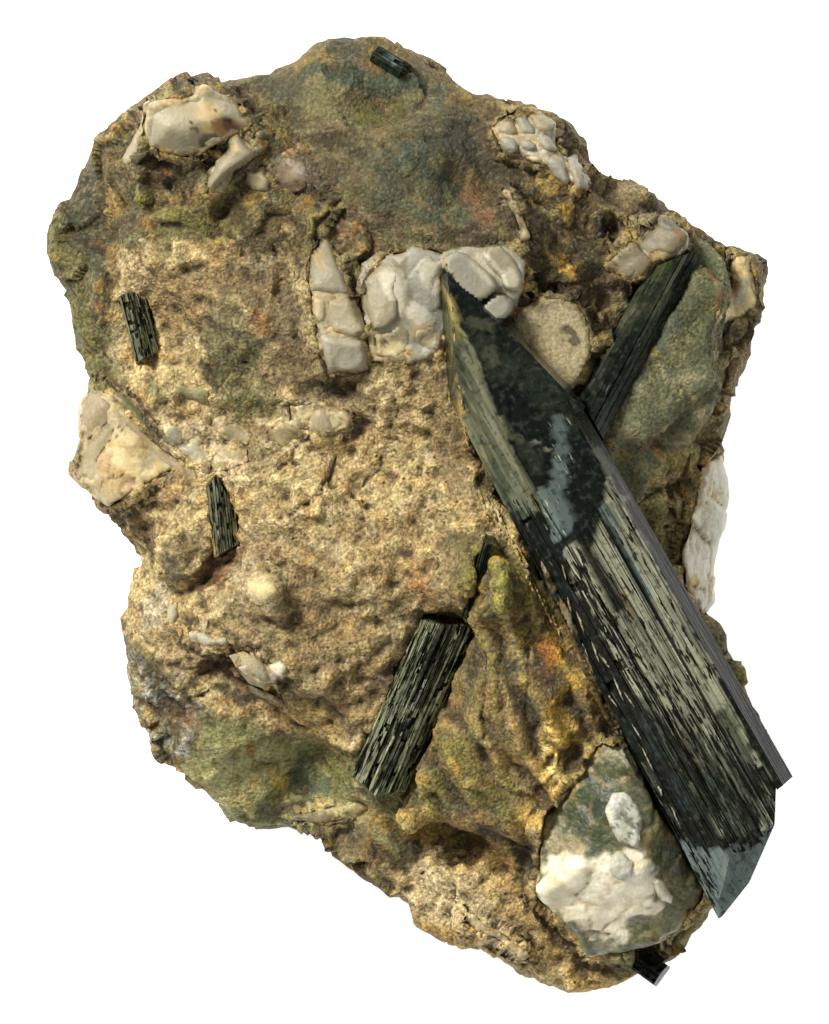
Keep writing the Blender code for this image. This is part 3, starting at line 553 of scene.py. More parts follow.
def stone_material(
    name, fineness=2600.0, mottle=0.8, hue=0.7, grains=0.5, pits=0.5, dirt_and_shade=(0.045, 0.03, 0.014, 1.0),
    dirt_and_shade_depth=0.12, bump=0.00022, rough=(0.7, 0.95), clear=0.0, glow=0.0, ior=1.5,
):
    """Stone with its painted stains, grain, pits, and the dirt and painted shade in its hollows."""
    made, tree, shader = new_material(name)
    stain = attribute(tree, "stain", "Color")
    pitted = attribute(tree, "pitted")
    plain = maths(tree, "SUBTRACT", 1.0, attribute(tree, "clean"), clamp=True)
    crusted = times(tree, attribute(tree, "crust"), 0.6)
    dirtied_and_shaded = place_group(tree, RECESS, {"Colour": stain, "Dirt and shade": dirt_and_shade, "Depth": dirt_and_shade_depth})["Colour"]
    grit = place_group(tree, GRIT, {
        "Colour": dirtied_and_shaded,
        "Fineness": fineness,
        "Mottle": maths(tree, "ADD", times(tree, plain, mottle), crusted, clamp=True),
        "Hue": times(tree, maths(tree, "SUBTRACT", 1.2, pitted), hue),
        "Grains": times(tree, plain, grains),
        "Pits": times(tree, times(tree, pitted, plain), pits),
        "Pit shade colour": PIT_SHADE_COLOUR,
    })
    tree.links.new(grit["Colour"], shader.inputs["Base Color"])
    add_bump(tree, shader, grit["Height"], bump)
    ends = {0: grit["Height"], 1: 0.8, 2: 1.6, 3: rough[1], 4: rough[0]}
    spread = add_node(tree, "ShaderNodeMapRange", ends)
    tree.links.new(spread.outputs[0], shader.inputs["Roughness"])
    shader.inputs["IOR"].default_value = ior
    shader.inputs["Transmission Weight"].default_value = clear
    shader.inputs["Subsurface Weight"].default_value = glow
    shader.inputs["Subsurface Radius"].default_value = GLOW_COLOURS
    shader.inputs["Subsurface Scale"].default_value = GLOW_DEPTH
    return made


def drawn_out(tree, vector, scale):
    return add_node(tree, "ShaderNodeMapping", {"Vector": vector, "Scale": scale}).outputs[0]


def aegirine_material(name, turn):
    """Dark glassy crystal, striated along the direction that the turn gives in the plan."""
    made, tree, shader = new_material(name)
    stain = attribute(tree, "stain", "Color")
    polish = attribute(tree, "polish")
    broken = attribute(tree, "broken")
    needles = attribute(tree, "needles")
    place = add_node(tree, "ShaderNodeTexCoord").outputs["Object"]
    turning = {"Vector": place, "Rotation": (0.0, 0.0, -turn)}
    turned = add_node(tree, "ShaderNodeMapping", turning).outputs[0]
    along = drawn_out(tree, turned, (0.05, 1.0, 0.3))
    lines = noise_texture(tree, along, 7000.0, 2.0)
    streaks = noise_texture(tree, along, 1800.0)
    specks = noise_texture(tree, place, 1500.0)
    dashes = noise_texture(tree, drawn_out(tree, turned, (0.14, 1.0, 0.4)), 3200.0, 3.0, 0.6)

    # Dark streaks, specks and dust
    worn = maths(tree, "SUBTRACT", 1.0, times(tree, polish, 0.8))
    streaked = times(tree, between(tree, streaks, 0.54, 0.42), worn)
    colour = mix_colours(tree, streaked, stain, tinted(tree, stain, (0.5, 0.52, 0.5)))
    ticks = tinted(tree, colour, (0.55, 0.56, 0.55))
    colour = mix_colours(tree, between(tree, specks, 0.46, 0.34), colour, ticks)
    dusty = times(tree, between(tree, specks, 0.52, 0.66), 0.2)
    colour = mix_colours(tree, dusty, colour, (0.10, 0.10, 0.068, 1.0))

    # Black gaps where the crystal is broken, and pale needles that are painted glints
    spread_out = maths(tree, "ADD", dashes, times(tree, broken, 0.12))
    present = times(tree, broken, 4.0, clamp=True)
    gaps = times(tree, between(tree, spread_out, 0.605, 0.645), present)
    colour = mix_colours(tree, gaps, colour, (0.008, 0.009, 0.006, 1.0))
    lit = times(tree, between(tree, dashes, 0.36, 0.30), needles)
    colour = mix_colours(tree, lit, colour, (0.40, 0.42, 0.33, 1.0))
    # Dirt and painted shade in the hollows, painted light on the raised places
    dirt_and_shade = {"Colour": colour, "Dirt and shade": CRYSTAL_DIRT_AND_SHADE, "Depth": 0.1}
    tree.links.new(place_group(tree, RECESS, dirt_and_shade)["Colour"], shader.inputs["Base Color"])
    add_bump(tree, shader, maths(tree, "ADD", lines, times(tree, streaks, 2.0)), STRIAE_DEPTH)
    smoothest, roughest = CRYSTAL_ROUGHNESS
    ends = {0: specks, 1: 0.35, 2: 0.65, 3: smoothest, 4: roughest}
    spread = add_node(tree, "ShaderNodeMapRange", ends)
    tree.links.new(times(tree, spread.outputs[0], worn), shader.inputs["Roughness"])
    shader.inputs["IOR"].default_value = CRYSTAL_IOR
    return made


# The rock: outlines and lines as runs of X and Y, in millimetres. A stroke is its colour,
# its width, its strength and its line.

SAND_AREA = [
    -30.7, 25.3, -26.5, 27.3, -22.5, 27.6, -19, 25.6, -15.3, 25.8, -11.3, 25.3, -10.6, 20.5, -9.7, 14.3,
    -7, 13, -1.5, 14.6, 3, 17, 3.7, 11.5, 4.7, 6.5, 6.5, 2.8, 8.6, 1, 11.5, -1, 9, -2.5, 5.5, -3.3, 4,
    -6, 3, -8.5, 1, -8.5, 0, -12.5, -2, -17.5, -5.5, -23, -7.5, -23.7, -11, -22, -14.5, -21, -19, -20.6,
    -22, -19, -25.5, -16.5, -28.5, -14, -29.5, -9.5, -28, -4.5, -28.3, -3, -30, 1, -33.9, 4.5, -32.5,
    7.5, -31.5, 12, -29.5, 13, -31, 16.5, -30, 21.5,
]
LOWER_SAND_AREA = [
    -2.5, -36, 0.5, -33.2, 5.5, -32.5, 8.5, -33.5, 12.5, -36, 13, -39.5, 16, -43.8, 21.5, -45, 20, -47.5,
    14.5, -48.5, 10.5, -46.5, 6.5, -44.5, 1.5, -43.5, -1, -40,
]
RIDGE_AREA = [
    6.5, -2.5, 10.5, -1, 13, -4.5, 14.5, -8.5, 17, -14.5, 20.5, -22, 16.5, -25.5, 13.5, -28.5, 13, -35.5,
    8.5, -33.5, 3.5, -32, -1.5, -33.5, -3, -33.5, -2.5, -28.5, 0.5, -25.5, 3.5, -17.5, 5.3, -12.5, 6.5,
    -8.5,
]
GREEN_BAND_AREA = [
    -21, -20.8, -11.5, -22.2, -7, -23.5, -6.5, -27, -1.5, -29.5, -2, -34.5, -4, -33, -8.5, -30.5, -13,
    -31.5, -17.5, -32, -22.5, -28.5, -24, -25.5, -22.5, -21.5,
]
GREY_AREA = [
    -29.6, -12.5, -26.5, -15.8, -23, -17.5, -20.6, -20, -22.5, -23, -25.5, -24.5, -29, -19,
]
LEFT_ROCK_AREA = [
    -38, 24, -34, 34, -29.5, 40, -28.5, 35.5, -26, 30, -30, 26, -31, 21, -30.5, 12.5, -35, 14, -35, 20,
]
TOP_ROCK_AREA = [
    -17, 43, -8, 49, 2, 47.5, 6, 42, 4, 38, -2, 39.5, -9, 38, -13, 39,
]
TOP_FACE_AREA = [
    -16, 44.5, -9, 48, 1, 47, 6, 42.5, 10.5, 39, 8, 36, 9.5, 32, 6.5, 27, -3.5, 28, -8, 32, -10, 36.5,
    -13, 39.5,
]
TEAL_AREA = [
    -3.5, 36, -1, 37.5, 3, 38, 5, 34, 5.5, 29.5, 2, 28.5, -3, 30, -7, 31.5, -6, 34,
]
CLIFF_AREA = [
    -12, 37.5, -7, 38, -5, 34, -6, 31.5, -2, 29.5, 5, 28, 6.5, 26.5, -4, 27, -7.5, 25, -9, 28.5, -12,
    27.5,
]
WEDGE_AREA = [
    27.5, 27, 29.8, 25.2, 31.2, 20.7, 30, 18.8, 30.6, 15.5, 30, 12.7, 28, 9, 25.5, 4.5, 22.6, 2.6, 19.4,
    9.5, 21.8, 15.2, 24.6, 20.5,
]
RIGHT_ROCK_AREA = [
    22, 5, 26, 6.5, 30.5, 12, 32, 8, 27.5, 3, 27, -6, 28, -10, 25, -5,
]

MOSS_AREA = [
    -22.1, 14.6, -20.9, 16.1, -19, 16.3, -16.9, 15.3, -15.7, 14.1, -16.9, 13.4, -19.1, 12.7, -20.9, 13.4,
]
LOWER_MOSS_AREA = [
    -19.7, 10.6, -18.3, 12, -16.2, 12.3, -13.5, 11.5, -12.4, 10.6, -13.8, 9.8, -16, 9.6, -18.1, 9.6,
]

ROCK_AREAS = [
    ("olive", 1.5, 0.75, TOP_ROCK_AREA), ("dark_olive", 1.5, 0.85, LEFT_ROCK_AREA),
    ("slate", 1.2, 0.85, TOP_FACE_AREA), ("teal", 1.2, 0.9, TEAL_AREA), ("brown", 1.0, 0.9, CLIFF_AREA),
    ("sand", 0.7, 1.0, SAND_AREA), ("sand", 0.7, 1.0, LOWER_SAND_AREA), ("ochre", 0.9, 0.85, RIDGE_AREA),
    ("band_green", 0.6, 1.0, GREEN_BAND_AREA), ("stone_grey", 0.6, 1.0, GREY_AREA),
    ("sage", 0.7, 1.0, WEDGE_AREA), ("moss", 0.5, 1.0, MOSS_AREA), ("green", 0.5, 0.75, LOWER_MOSS_AREA),
    ("brown", 0.8, 0.8, RIGHT_ROCK_AREA),
]

ROCK_STROKES = [
    # Top rim and the rock above the sand
    ("brown", 1.8, 0.8, -12, 44.5, -8, 46.5), ("gold", 1.0, 0.5, -12, 44, -10.5, 45.5, -9, 46),
    ("dark_slate", 1.0, 0.7, -7.5, 46.8, -7, 45), ("brown", 1.6, 0.9, -3, 47, 2, 46, 4.5, 42.8),
    ("rust", 0.9, 0.35, -5, 44.8, -3, 44.2), ("teal", 1.3, 0.8, -14, 42.5, -9, 44.2, -4, 43.5, 2, 42),
    ("pale_green", 2.2, 0.5, -10, 41.6, -7.6, 40.6), ("pale_green", 1.2, 0.5, -1, 41.5, 3.5, 41, 5, 42.5),
    ("olive", 1.6, 0.6, -5, 40.6, -2, 39.4), ("bone", 0.45, 0.8, -10.6, 38.7, -8.4, 38.6, -6.8, 39),
    ("mauve", 0.8, 0.7, -9.5, 38.6, -7.5, 38.7),
    ("dark_brown", 0.8, 0.7, -11.5, 37.6, -6.5, 37.4, -5, 36), ("gold", 0.7, 0.5, 4, 41.6, 5, 41.2),
    ("slate", 1.5, 0.7, -17.5, 41.5, -14.5, 42.4, -11, 43.2),
    ("dark_brown", 1.6, 0.6, -19, 42, -16.5, 41), ("mauve", 1.2, 0.6, -24, 43.3, -20, 43.6),
    ("dark_slate", 0.7, 0.8, -23.5, 42.6, -21.5, 42.9),
    ("brown", 1.6, 0.7, -31.5, 37, -29.5, 34, -31, 29),
    ("dark_slate", 2.6, 0.5, -33, 33, -33.5, 27, -34.5, 23),
    ("olive", 1.6, 0.55, -36, 27, -34, 24, -33, 19),
    ("green", 1.6, 0.6, -33.5, 20, -32.5, 15.5, -31, 13.5),
    ("dark_slate", 1.0, 0.6, -31.5, 29.5, -30, 27.5, -28.5, 28.8),
    # The dark brown strokes just below the knob are its painted shadow
    ("ochre", 0.9, 0.5, -31, 31.5, -30, 30), ("dark_brown", 0.8, 0.6, -27.5, 34.6, -26.6, 32),
    ("dark_brown", 1.6, 0.7, -25.5, 34.6, -23, 33.6, -21, 34.4),
    # The black strokes in the holes here are painted shade
    ("olive", 1.3, 0.6, -27, 30.6, -23.5, 30, -21, 30.8), ("black", 0.6, 1.0, -24.4, 33.2, -24.2, 32.8),
    ("rust", 0.5, 0.8, -24.6, 34.3, -24.2, 34), ("black", 0.8, 1.0, -19.6, 30.2, -19.2, 29.6),
    ("green", 1.4, 0.6, -24.5, 28.6, -25, 26, -26.5, 25),
    ("olive", 1.4, 0.7, -23, 28.8, -20, 28.2, -17, 30.4),
    ("dark_brown", 1.5, 0.75, -18, 31, -16.5, 29.4, -15.5, 27.6),
    ("gold", 0.6, 0.4, -17.5, 32, -15.5, 31), ("brown", 1.4, 0.8, -15, 29, -12.5, 30.5, -11.5, 33),
    ("mauve", 1.2, 0.6, -12.5, 36, -11, 33.5), ("dark_slate", 1.2, 0.6, -10.5, 34.5, -9, 31.5),
    ("slate", 1.0, 0.8, -9, 36, -7.5, 33.5), ("bone", 0.5, 0.55, -7.8, 31.4, -6.4, 30.8),
    ("mauve", 1.0, 0.6, -6.5, 29.3, -4.5, 29.6, -2, 29), ("cream", 0.8, 0.6, -5, 30, -4, 29.4),
    ("dark_rust", 0.8, 0.8, -3.4, 29.4, -1.6, 28.2), ("rust", 0.7, 0.4, -5.4, 28.2, -4.2, 27.2),
    ("dark_brown", 0.8, 0.7, -8.7, 27.4, -7.4, 29.6),
    ("dark_brown", 0.55, 0.8, -7, 25, -5.6, 21.4, -4.6, 18.6), ("slate", 1.8, 0.8, 4.5, 39, 7, 37.5),
    ("dark_slate", 2.0, 0.7, 4.5, 37.5, 7.5, 35.2, 10, 33.6), ("mauve", 1.6, 0.6, 6, 31, 7, 28.5),
    ("rust", 1.3, 0.3, 5, 33, 6.6, 30.2), ("dark_brown", 1.3, 0.8, 8.2, 26.8, 6, 27.4, 3.5, 27.6),
    ("brown", 1.4, 0.9, 7, 40.8, 5, 40.3), ("teal", 0.9, 0.7, 6.6, 39.8, 5.4, 39),
    # Upper right
    ("black", 0.8, 0.7, 10.8, 33, 11.4, 32.2), ("ochre", 1.2, 0.6, 13.5, 33.6, 15.5, 32.6),
    ("gold", 0.8, 0.5, 16.6, 32.2, 18.5, 31.6), ("brown", 2.2, 0.8, 19, 31.4, 22.5, 31),
    # The black stroke at X 19, Y 28.6 is painted shade in a hole
    ("bone", 0.8, 0.6, 19.5, 32.6, 22, 32.5), ("black", 1.5, 1.0, 19.2, 28.8, 19.6, 28.4),
    ("dark_slate", 1.0, 0.7, 23.5, 31, 23, 28.6), ("dark_brown", 1.5, 0.8, 14.5, 29, 17, 27, 19, 26.4),
    ("gold", 0.7, 0.85, 14.4, 30.2, 14.8, 28.8), ("gold", 0.8, 0.9, 13.6, 26, 14.4, 24.6),
    ("rust", 0.7, 0.7, 14.9, 24.6, 15.4, 22.6), ("dark_slate", 1.3, 0.7, 11.6, 28, 12.6, 26, 12, 24.2),
    ("dark_brown", 1.8, 0.8, 16.5, 24.6, 18.5, 23.4, 20.5, 21.6),
    ("dark_brown", 1.5, 0.8, 12.6, 23.2, 16.2, 22),
    ("pale_green", 0.7, 0.45, 17, 20.4, 19, 20.6, 21.5, 21), ("slate", 1.0, 0.6, 18.2, 19.4, 19.4, 18),
    ("bone", 0.9, 0.55, 17.2, 18.6, 16.2, 16.4),
    # Wedge face and the rock right of the long crystal
    ("olive", 0.35, 0.9, 24.2, 21.4, 22.4, 17.4, 20.6, 12.6, 19.4, 9.6),
    ("moss", 2.0, 0.6, 27.4, 22.5, 26.5, 19.5), ("pale_green", 1.5, 0.6, 25.5, 14.5, 27.5, 12),
    ("moss", 1.8, 0.5, 24, 12.5, 22, 9), ("pale_green", 1.3, 0.5, 22.5, 6.5, 24.5, 8.5),
    ("rust", 0.7, 0.45, 29.8, 24.2, 30.4, 22), ("brown", 1.1, 0.8, 29.4, 26.4, 30.6, 24.6),
    ("dark_brown", 1.5, 0.8, 34.2, 25.5, 34.6, 22, 33, 18.8),
    ("brown", 1.8, 0.9, 31.8, 18.2, 33.2, 16, 31.4, 13), ("black", 1.0, 0.7, 30.8, 18.4, 31.8, 17.8),
    ("bone", 0.8, 0.7, 29, 10.8, 28.6, 9), ("dark_brown", 1.4, 0.75, 27, 9.4, 30.2, 7.4),
    ("dark_rust", 0.8, 0.8, 23.4, 7, 24.6, 6.6), ("moss", 1.4, 0.6, 21.4, 3.6, 23.4, 0.6, 24.6, -3),
    ("pale_green", 1.4, 0.8, 22, 2.6, 24.4, 1.4, 24.8, -5.6), ("bone", 1.6, 0.6, 25.4, 3.4, 26.4, -0.4),
    ("dark_brown", 0.9, 0.7, 26.5, 4, 26.8, 0, 27.2, -3.4), ("mauve", 0.7, 0.6, 25.2, 3.6, 25.6, -1),
    # Sand: stains, patches of green, hollows and pale places
    ("cream", 2.6, 0.5, -14, 8.6, -11.5, 9.6), ("cream", 2.6, 0.6, -23.5, 8, -20, 6.5, -17.5, 4.8),
    ("dim_sand", 3.0, 0.6, -27.5, 24.5, -25, 20.5, -21, 21), ("dim_sand", 2.6, 0.5, -21, 25.5, -17, 23.8),
    ("cream", 1.6, 0.5, -28.8, 25.6, -27, 22.6), ("cream", 1.2, 0.5, -19.5, 19.5, -17.8, 17.8),
    ("green", 1.0, 0.5, -22.8, 24.4, -21.2, 23.8), ("black", 0.5, 0.6, -21.8, 24.5, -21.2, 24.3),
    ("brown", 2.0, 0.85, -12.2, 20, -12.6, 17, -11.6, 14.4),
    ("rust", 1.2, 0.45, -17.6, 23.4, -15.2, 22.6, -13.6, 23.8),
    ("dark_rust", 0.8, 0.75, -15, 24, -13.4, 24.2), ("rust", 0.9, 0.6, -14.2, 17.8, -12.6, 15.6),
    ("cream", 0.45, 0.9, -13.6, 20.6, -13.2, 19.4), ("white", 0.8, 0.7, -16.4, 25.3, -14.4, 25.2),
    ("dim_sand", 3.4, 0.45, -11, -9.4, -8.4, -12.6, -5.8, -17.4),
    ("dim_sand", 3.0, 0.4, -25.6, 22.4, -20.4, 20.4), ("green", 0.6, 0.8, -26.2, 13.2, -25.2, 11.6),
    ("pale_green", 1.0, 0.6, -30.4, 18.6, -30.2, 15.4, -29.6, 13.6),
    ("green", 0.6, 0.8, -29.2, 12.6, -27, 10.2, -25.2, 8.2),
    ("slate", 0.6, 0.7, -26.6, 9.8, -24.4, 7.6, -23.2, 6.8),
    ("black", 0.35, 0.7, -27.2, 11.4, -25.8, 9.6, -24.8, 8.8), ("rust", 0.4, 0.6, -23.4, 10.4, -23, 9.8),
    # The brown and black strokes along the hollow near X -8, Y 12.5 are painted shade in it
    ("rust", 0.5, 0.6, -16.2, 8.9, -15, 8.4), ("brown", 1.7, 0.85, -10.6, 12.6, -8.2, 12.2, -5.6, 12.4),
    ("black", 0.7, 0.8, -7.8, 12.7, -6.8, 12.5), ("dark_rust", 1.1, 0.65, -7.2, 10, -5.6, 8.8),
    ("ochre", 1.8, 0.5, -7.8, 7.6, -5.2, 7.4), ("dim_sand", 1.9, 0.55, 3.8, 6.6, 4, 10.6, 2.2, 13.6),
    ("brown", 1.1, 0.6, 2.8, 14.8, 0.6, 13.8, -2, 13.8), ("dark_rust", 0.8, 0.7, 3.8, 8.6, 4.4, 6.8),
    ("dim_sand", 1.4, 0.5, -17.8, 6.2, -15.6, 5.4),
    ("dim_sand", 2.2, 0.7, -31.2, 3.4, -29.2, 4.8, -27.2, 3.4), ("brown", 0.7, 0.6, -29.8, 8, -28.6, 4.8),
    ("dark_rust", 1.1, 0.7, -27.8, -1.2, -26.4, -2.6), ("slate", 1.3, 0.8, -24.8, -4.2, -23.8, -5.4),
    ("brown", 1.4, 0.7, -23.2, -3, -21.2, -4.2),
    ("dark_rust", 1.2, 0.9, -21.4, -6.6, -20.4, -6, -19.8, -4.6),
    ("rust", 1.0, 0.55, -19.2, -6.2, -17, -4.2),
    ("cream", 1.8, 0.75, -16.8, -6.2, -14, -7.4, -13.2, -8.6),
    ("dim_sand", 1.6, 0.7, -12.2, -8.6, -10.6, -6.4), ("rust", 0.8, 0.5, -11.6, -5.2, -10.6, -4.4),
    ("dim_sand", 2.2, 0.5, -12.4, -13, -8.4, -11.6), ("dim_sand", 2.4, 0.5, -3.2, -5.6, -0.4, -8),
    ("dim_sand", 2.0, 0.45, -6, -17, -4.6, -20.4), ("white", 0.9, 0.7, -25.6, -8, -26.2, -10.4),
    ("dim_sand", 1.4, 0.5, -23, -11, -24.2, -13.6), ("bone", 1.3, 0.7, -16.6, -14.4, -15.8, -16.6),
    ("dark_rust", 1.2, 0.75, -20.8, -15.4, -18.6, -15.6, -16.8, -17.2),
    ("brown", 1.2, 0.8, -25.4, -15, -22.6, -16.4), ("bone", 0.8, 0.7, -23.6, -15.6, -22.4, -16.4),
    ("black", 0.8, 0.8, -19.6, -17.8, -16.8, -18.2),
    ("ochre", 1.3, 0.7, -14.6, -18.2, -11.2, -19.6, -8, -21.2),
    ("rust", 0.8, 0.5, -14.6, -18.8, -13.4, -19.4), ("brown", 1.0, 0.8, -8, -19.6, -6.2, -21.6),
    ("rust", 1.2, 0.6, 1.8, -8.2, 0.4, -6.4, -0.2, -4.6),
    ("dark_brown", 1.0, 0.7, 0.6, -10, -1.6, -14.2, -3.8, -18.2),
    # Bottom left
    ("dark_slate", 1.4, 0.7, -28.4, -13.6, -25.4, -16.6),
    ("bone", 0.16, 0.9, -29.2, -15.9, -27.2, -16, -25.6, -16.9),
    ("mauve", 1.6, 0.5, -24.6, -19.4, -22.6, -21.2), ("ochre", 0.7, 0.6, -27.6, -18.6, -26.8, -19.4),
    ("pale_green", 2.0, 0.55, -18, -22.6, -13.5, -23, -11, -24.6),
    ("moss", 1.6, 0.5, -20.6, -21.2, -17.6, -21.6), ("ochre", 0.8, 0.6, -14, -26, -11.8, -27.6),
    ("rust", 0.5, 0.5, -16.4, -24, -16, -23.6), ("pale_green", 0.9, 0.5, -19.8, -25, -17.4, -26.8),
    ("dark_slate", 1.3, 0.7, -14.8, -29.6, -11.6, -29.4), ("moss", 1.2, 0.6, -17.4, -30.2, -14.4, -31.4),
    ("teal", 1.5, 0.9, -10.6, -25, -11.6, -27, -10, -27.4),
    ("bottle", 0.8, 0.7, -10.4, -24.8, -11.2, -26.6), ("olive", 1.2, 0.8, -8.4, -24.6, -7.4, -26),
    ("green", 1.2, 0.9, -3.6, -27.2, -2.4, -29.6, -1.8, -33.8),
    ("ochre", 0.9, 0.8, -4.8, -29.4, -3.2, -31.8), ("brown", 0.9, 0.8, -7.6, -31.6, -4.6, -33.8),
    ("bone", 0.8, 0.6, -6.4, -27.6, -4.6, -28),
    # Ridge beside the long crystal
    ("green", 1.5, 0.6, -1.6, -26.6, 1.4, -28.6, 4.6, -28), ("dark_brown", 1.2, 0.6, 1.4, -24, 2.6, -26),
    ("sand", 1.6, 0.8, 12, -22.6, 13.6, -24.6), ("dark_rust", 0.9, 0.5, 11.4, -10.6, 12.4, -13.6),
    ("olive", 1.5, 0.8, 3.8, -12.6, 3, -16.4), ("olive", 2.0, 0.9, 5, -3.4, 6.6, -5, 5.2, -6.8),
    ("olive", 1.8, 0.9, 8.4, -4.6, 9.6, -7, 8, -10.2),
    ("sand", 1.1, 0.8, 10.6, -1.4, 8.6, -2.4, 6.6, -2.2),
    ("brown", 1.3, 0.9, 11.4, -4.8, 12.6, -7.8, 13, -10.2),
    ("rust", 1.3, 0.9, 12.6, -12.4, 13.8, -14.4, 12.6, -16.6), ("gold", 0.9, 0.7, 15, -13, 14.6, -15.6),
    ("brown", 1.2, 0.8, 12.4, -17.6, 14, -18.6), ("gold", 1.1, 0.8, 16, -17.2, 13.6, -20, 14.4, -22.4),
    ("mauve", 1.4, 0.7, 17.4, -18.6, 18.8, -21.4), ("cream", 0.9, 0.6, 9.4, -10.6, 9.8, -12.6, 11, -13.8),
    ("dark_rust", 0.8, 0.8, 7.8, -11, 8.2, -12.2), ("cream", 0.7, 0.5, 9.4, -16, 9.6, -19.4, 9.2, -23.4),
    ("sand", 2.0, 0.95, 11.6, -21.6, 13.6, -24.2, 13, -26), ("gold", 1.0, 0.6, 12.6, -22, 13.8, -23.2),
    ("slate", 1.0, 0.6, 11.2, -20.6, 10.4, -24.2, 10.6, -27.4),
    ("dark_slate", 1.3, 0.85, 10.6, -31.8, 11.8, -34.4, 12.4, -36),
    # The dark brown stroke at X 7, Y -21 is painted shade in a hole
    ("dark_slate", 1.5, 0.6, 6, -27.4, 8.8, -28.6), ("dark_brown", 0.9, 0.85, 7, -20.4, 7.4, -21.6),
    ("gold", 0.8, 0.6, 5, -21.6, 5.6, -23.6, 4.6, -19.6), ("rust", 0.7, 0.5, 4.4, -18.4, 3.4, -20.2),
    ("green", 1.6, 0.7, 5.8, -18.2, 5.4, -25.8), ("olive", 1.4, 0.6, 3.6, -23.2, 1.6, -26.6),
    # The black strokes here are painted shade in holes
    ("black", 0.5, 0.9, 13.2, -24, 13.6, -24.2), ("black", 0.4, 0.9, 15.2, -18.4, 15.5, -18.6),
    ("ochre", 1.2, 0.7, 12.6, -25.6, 13.6, -27.8, 11.4, -30.4), ("mauve", 1.4, 0.6, 5.2, -30, 7.6, -31.4),
    ("rust", 0.8, 0.4, 10, -22.6, 9, -25),
    # Lower sand and the painted shadow under the overhang, then darker and lighter zones over all
    ("dark_brown", 1.5, 0.9, -0.8, -34, 2.6, -31.4, 6.4, -32.4),
    ("black", 1.1, 0.9, 0.2, -33.4, 2.4, -31.8, 4.2, -31.8),
    ("rust", 1.2, 0.5, 5.8, -33.6, 8.6, -34.6, 10.4, -37.4),
    ("ochre", 2.4, 0.7, 9.6, -39.6, 13, -43, 17, -45),
    ("cream", 3.4, 0.5, 1.6, -37.6, 6, -38.6, 10.4, -40.6),
    ("dark_rust", 0.9, 0.8, 0.6, -41.8, 4.4, -42.8),
    ("gold", 0.9, 0.6, -0.4, -40.6, 2.6, -42.6, 5.4, -42.2),
    ("ochre", 1.6, 0.8, 16.4, -46.4, 20, -46.6, 22, -45.4),
    ("brown", 1.6, 0.8, 20.6, -44.2, 25.6, -42.4, 27.6, -40.4),
    ("olive", 1.2, 0.7, 24.4, -43.4, 27.6, -41.6, 28.8, -39.6),
    ("moss", 1.2, 0.8, 19.4, -45.2, 21.6, -44.6),
    ("brown", 3.2, 0.7, -15, 23.4, -13.6, 19.4, -14.2, 15.4), ("brown", 1.6, 0.6, -18.6, 24, -17.2, 21.8),
    ("rust", 1.0, 0.6, -15.6, 20, -15.2, 18.6), ("moss", 2.6, 0.7, -19.4, 17.4, -17, 15.8),
    ("moss", 1.9, 0.6, -18.8, 20.4, -17.6, 18.6), ("moss", 1.8, 0.6, -17.8, 12.6, -15.6, 12.2),
    ("brown", 1.4, 0.6, -6.4, 12, -5, 9.6), ("brown", 2.2, 0.5, 2.6, 12, 3.6, 7, 5.4, 2.6),
    ("dark_brown", 1.6, 0.6, 11.9, -7.4, 12.3, -10), ("dark_slate", 1.5, 0.65, 12.3, -15.2, 12, -19),
    # The dark brown stroke at X 7.3, Y -20.5 is painted shade in a hole
    ("dark_brown", 1.3, 0.7, 7.1, -20, 7.6, -21), ("brown", 2.6, 0.45, 4.6, -15, 3, -21),
    ("slate", 3.0, 0.45, 7, -14, 9.4, -20), ("tan", 2.8, 0.45, 8.4, -23.4, 11, -27),
    ("black", 1.2, 0.9, 15, -9.6, 17.4, -14.6, 19.4, -18.6), ("brown", 2.0, 0.55, -17.4, 8.6, -14.4, 6),
    ("brown", 2.2, 0.55, 3.6, -3.4, 2.6, -8.6), ("brown", 2.6, 0.4, -17.4, -10.6, -14, -14.6),
    ("slate", 3.4, 0.5, -4.6, 34, -2, 29), ("dark_slate", 3.2, 0.5, 3, 40, 4.6, 37),
    ("dark_brown", 3.0, 0.45, 8.4, 33.8, 10.6, 30.6), ("moss", 2.8, 0.5, -10.8, -23.6, -7.6, -26.4),
    ("dark_brown", 2.6, 0.5, -4.4, -30, -1.6, -33), ("dark_slate", 2.6, 0.45, 8.6, -16.4, 10, -21.4),
    ("slate", 2.2, 0.4, 3.8, -16.4, 4.4, -21), ("dark_olive", 3.0, 0.45, -11, 45.6, -7.4, 46.4),
    ("gold", 2.6, 0.4, 8, -36, 11, -39.6), ("ochre", 2.4, 0.35, 1.6, -30.6, 5, -33.6),
]

# Flecks: colour, size, seed, threshold, and how strong they are on bare rock and on sand
ROCK_FLECKS = [
    ("dim_sand", 3.2, 44, 0.12, 0.15, 0.60),
    ("olive", 2.2, 42, 0.02, 0.60, 0.10),
    ("green", 3.4, 50, 0.04, 0.60, 0.0),
    ("teal", 2.2, 43, 0.20, 0.50, 0.0),
    ("dark_brown", 1.6, 47, 0.10, 0.75, 0.08),
    ("cream", 1.5, 45, 0.26, 0.18, 0.50),
    ("ochre", 1.8, 48, 0.20, 0.30, 0.55),
    ("rust", 1.3, 46, 0.28, 0.35, 0.35),
    ("black", 0.9, 41, 0.30, 0.85, 0.2),
    ("cream", 0.8, 49, 0.30, 0.15, 0.35),
]

# Faces of the rock that are smoother than the rest, and where it is sandy and pitted
CALM_AREAS = [(1.0, WEDGE_AREA), (1.0, TOP_FACE_AREA), (1.0, GREEN_BAND_AREA)]
SANDY_AREAS = [(1.0, SAND_AREA), (1.0, LOWER_SAND_AREA)]

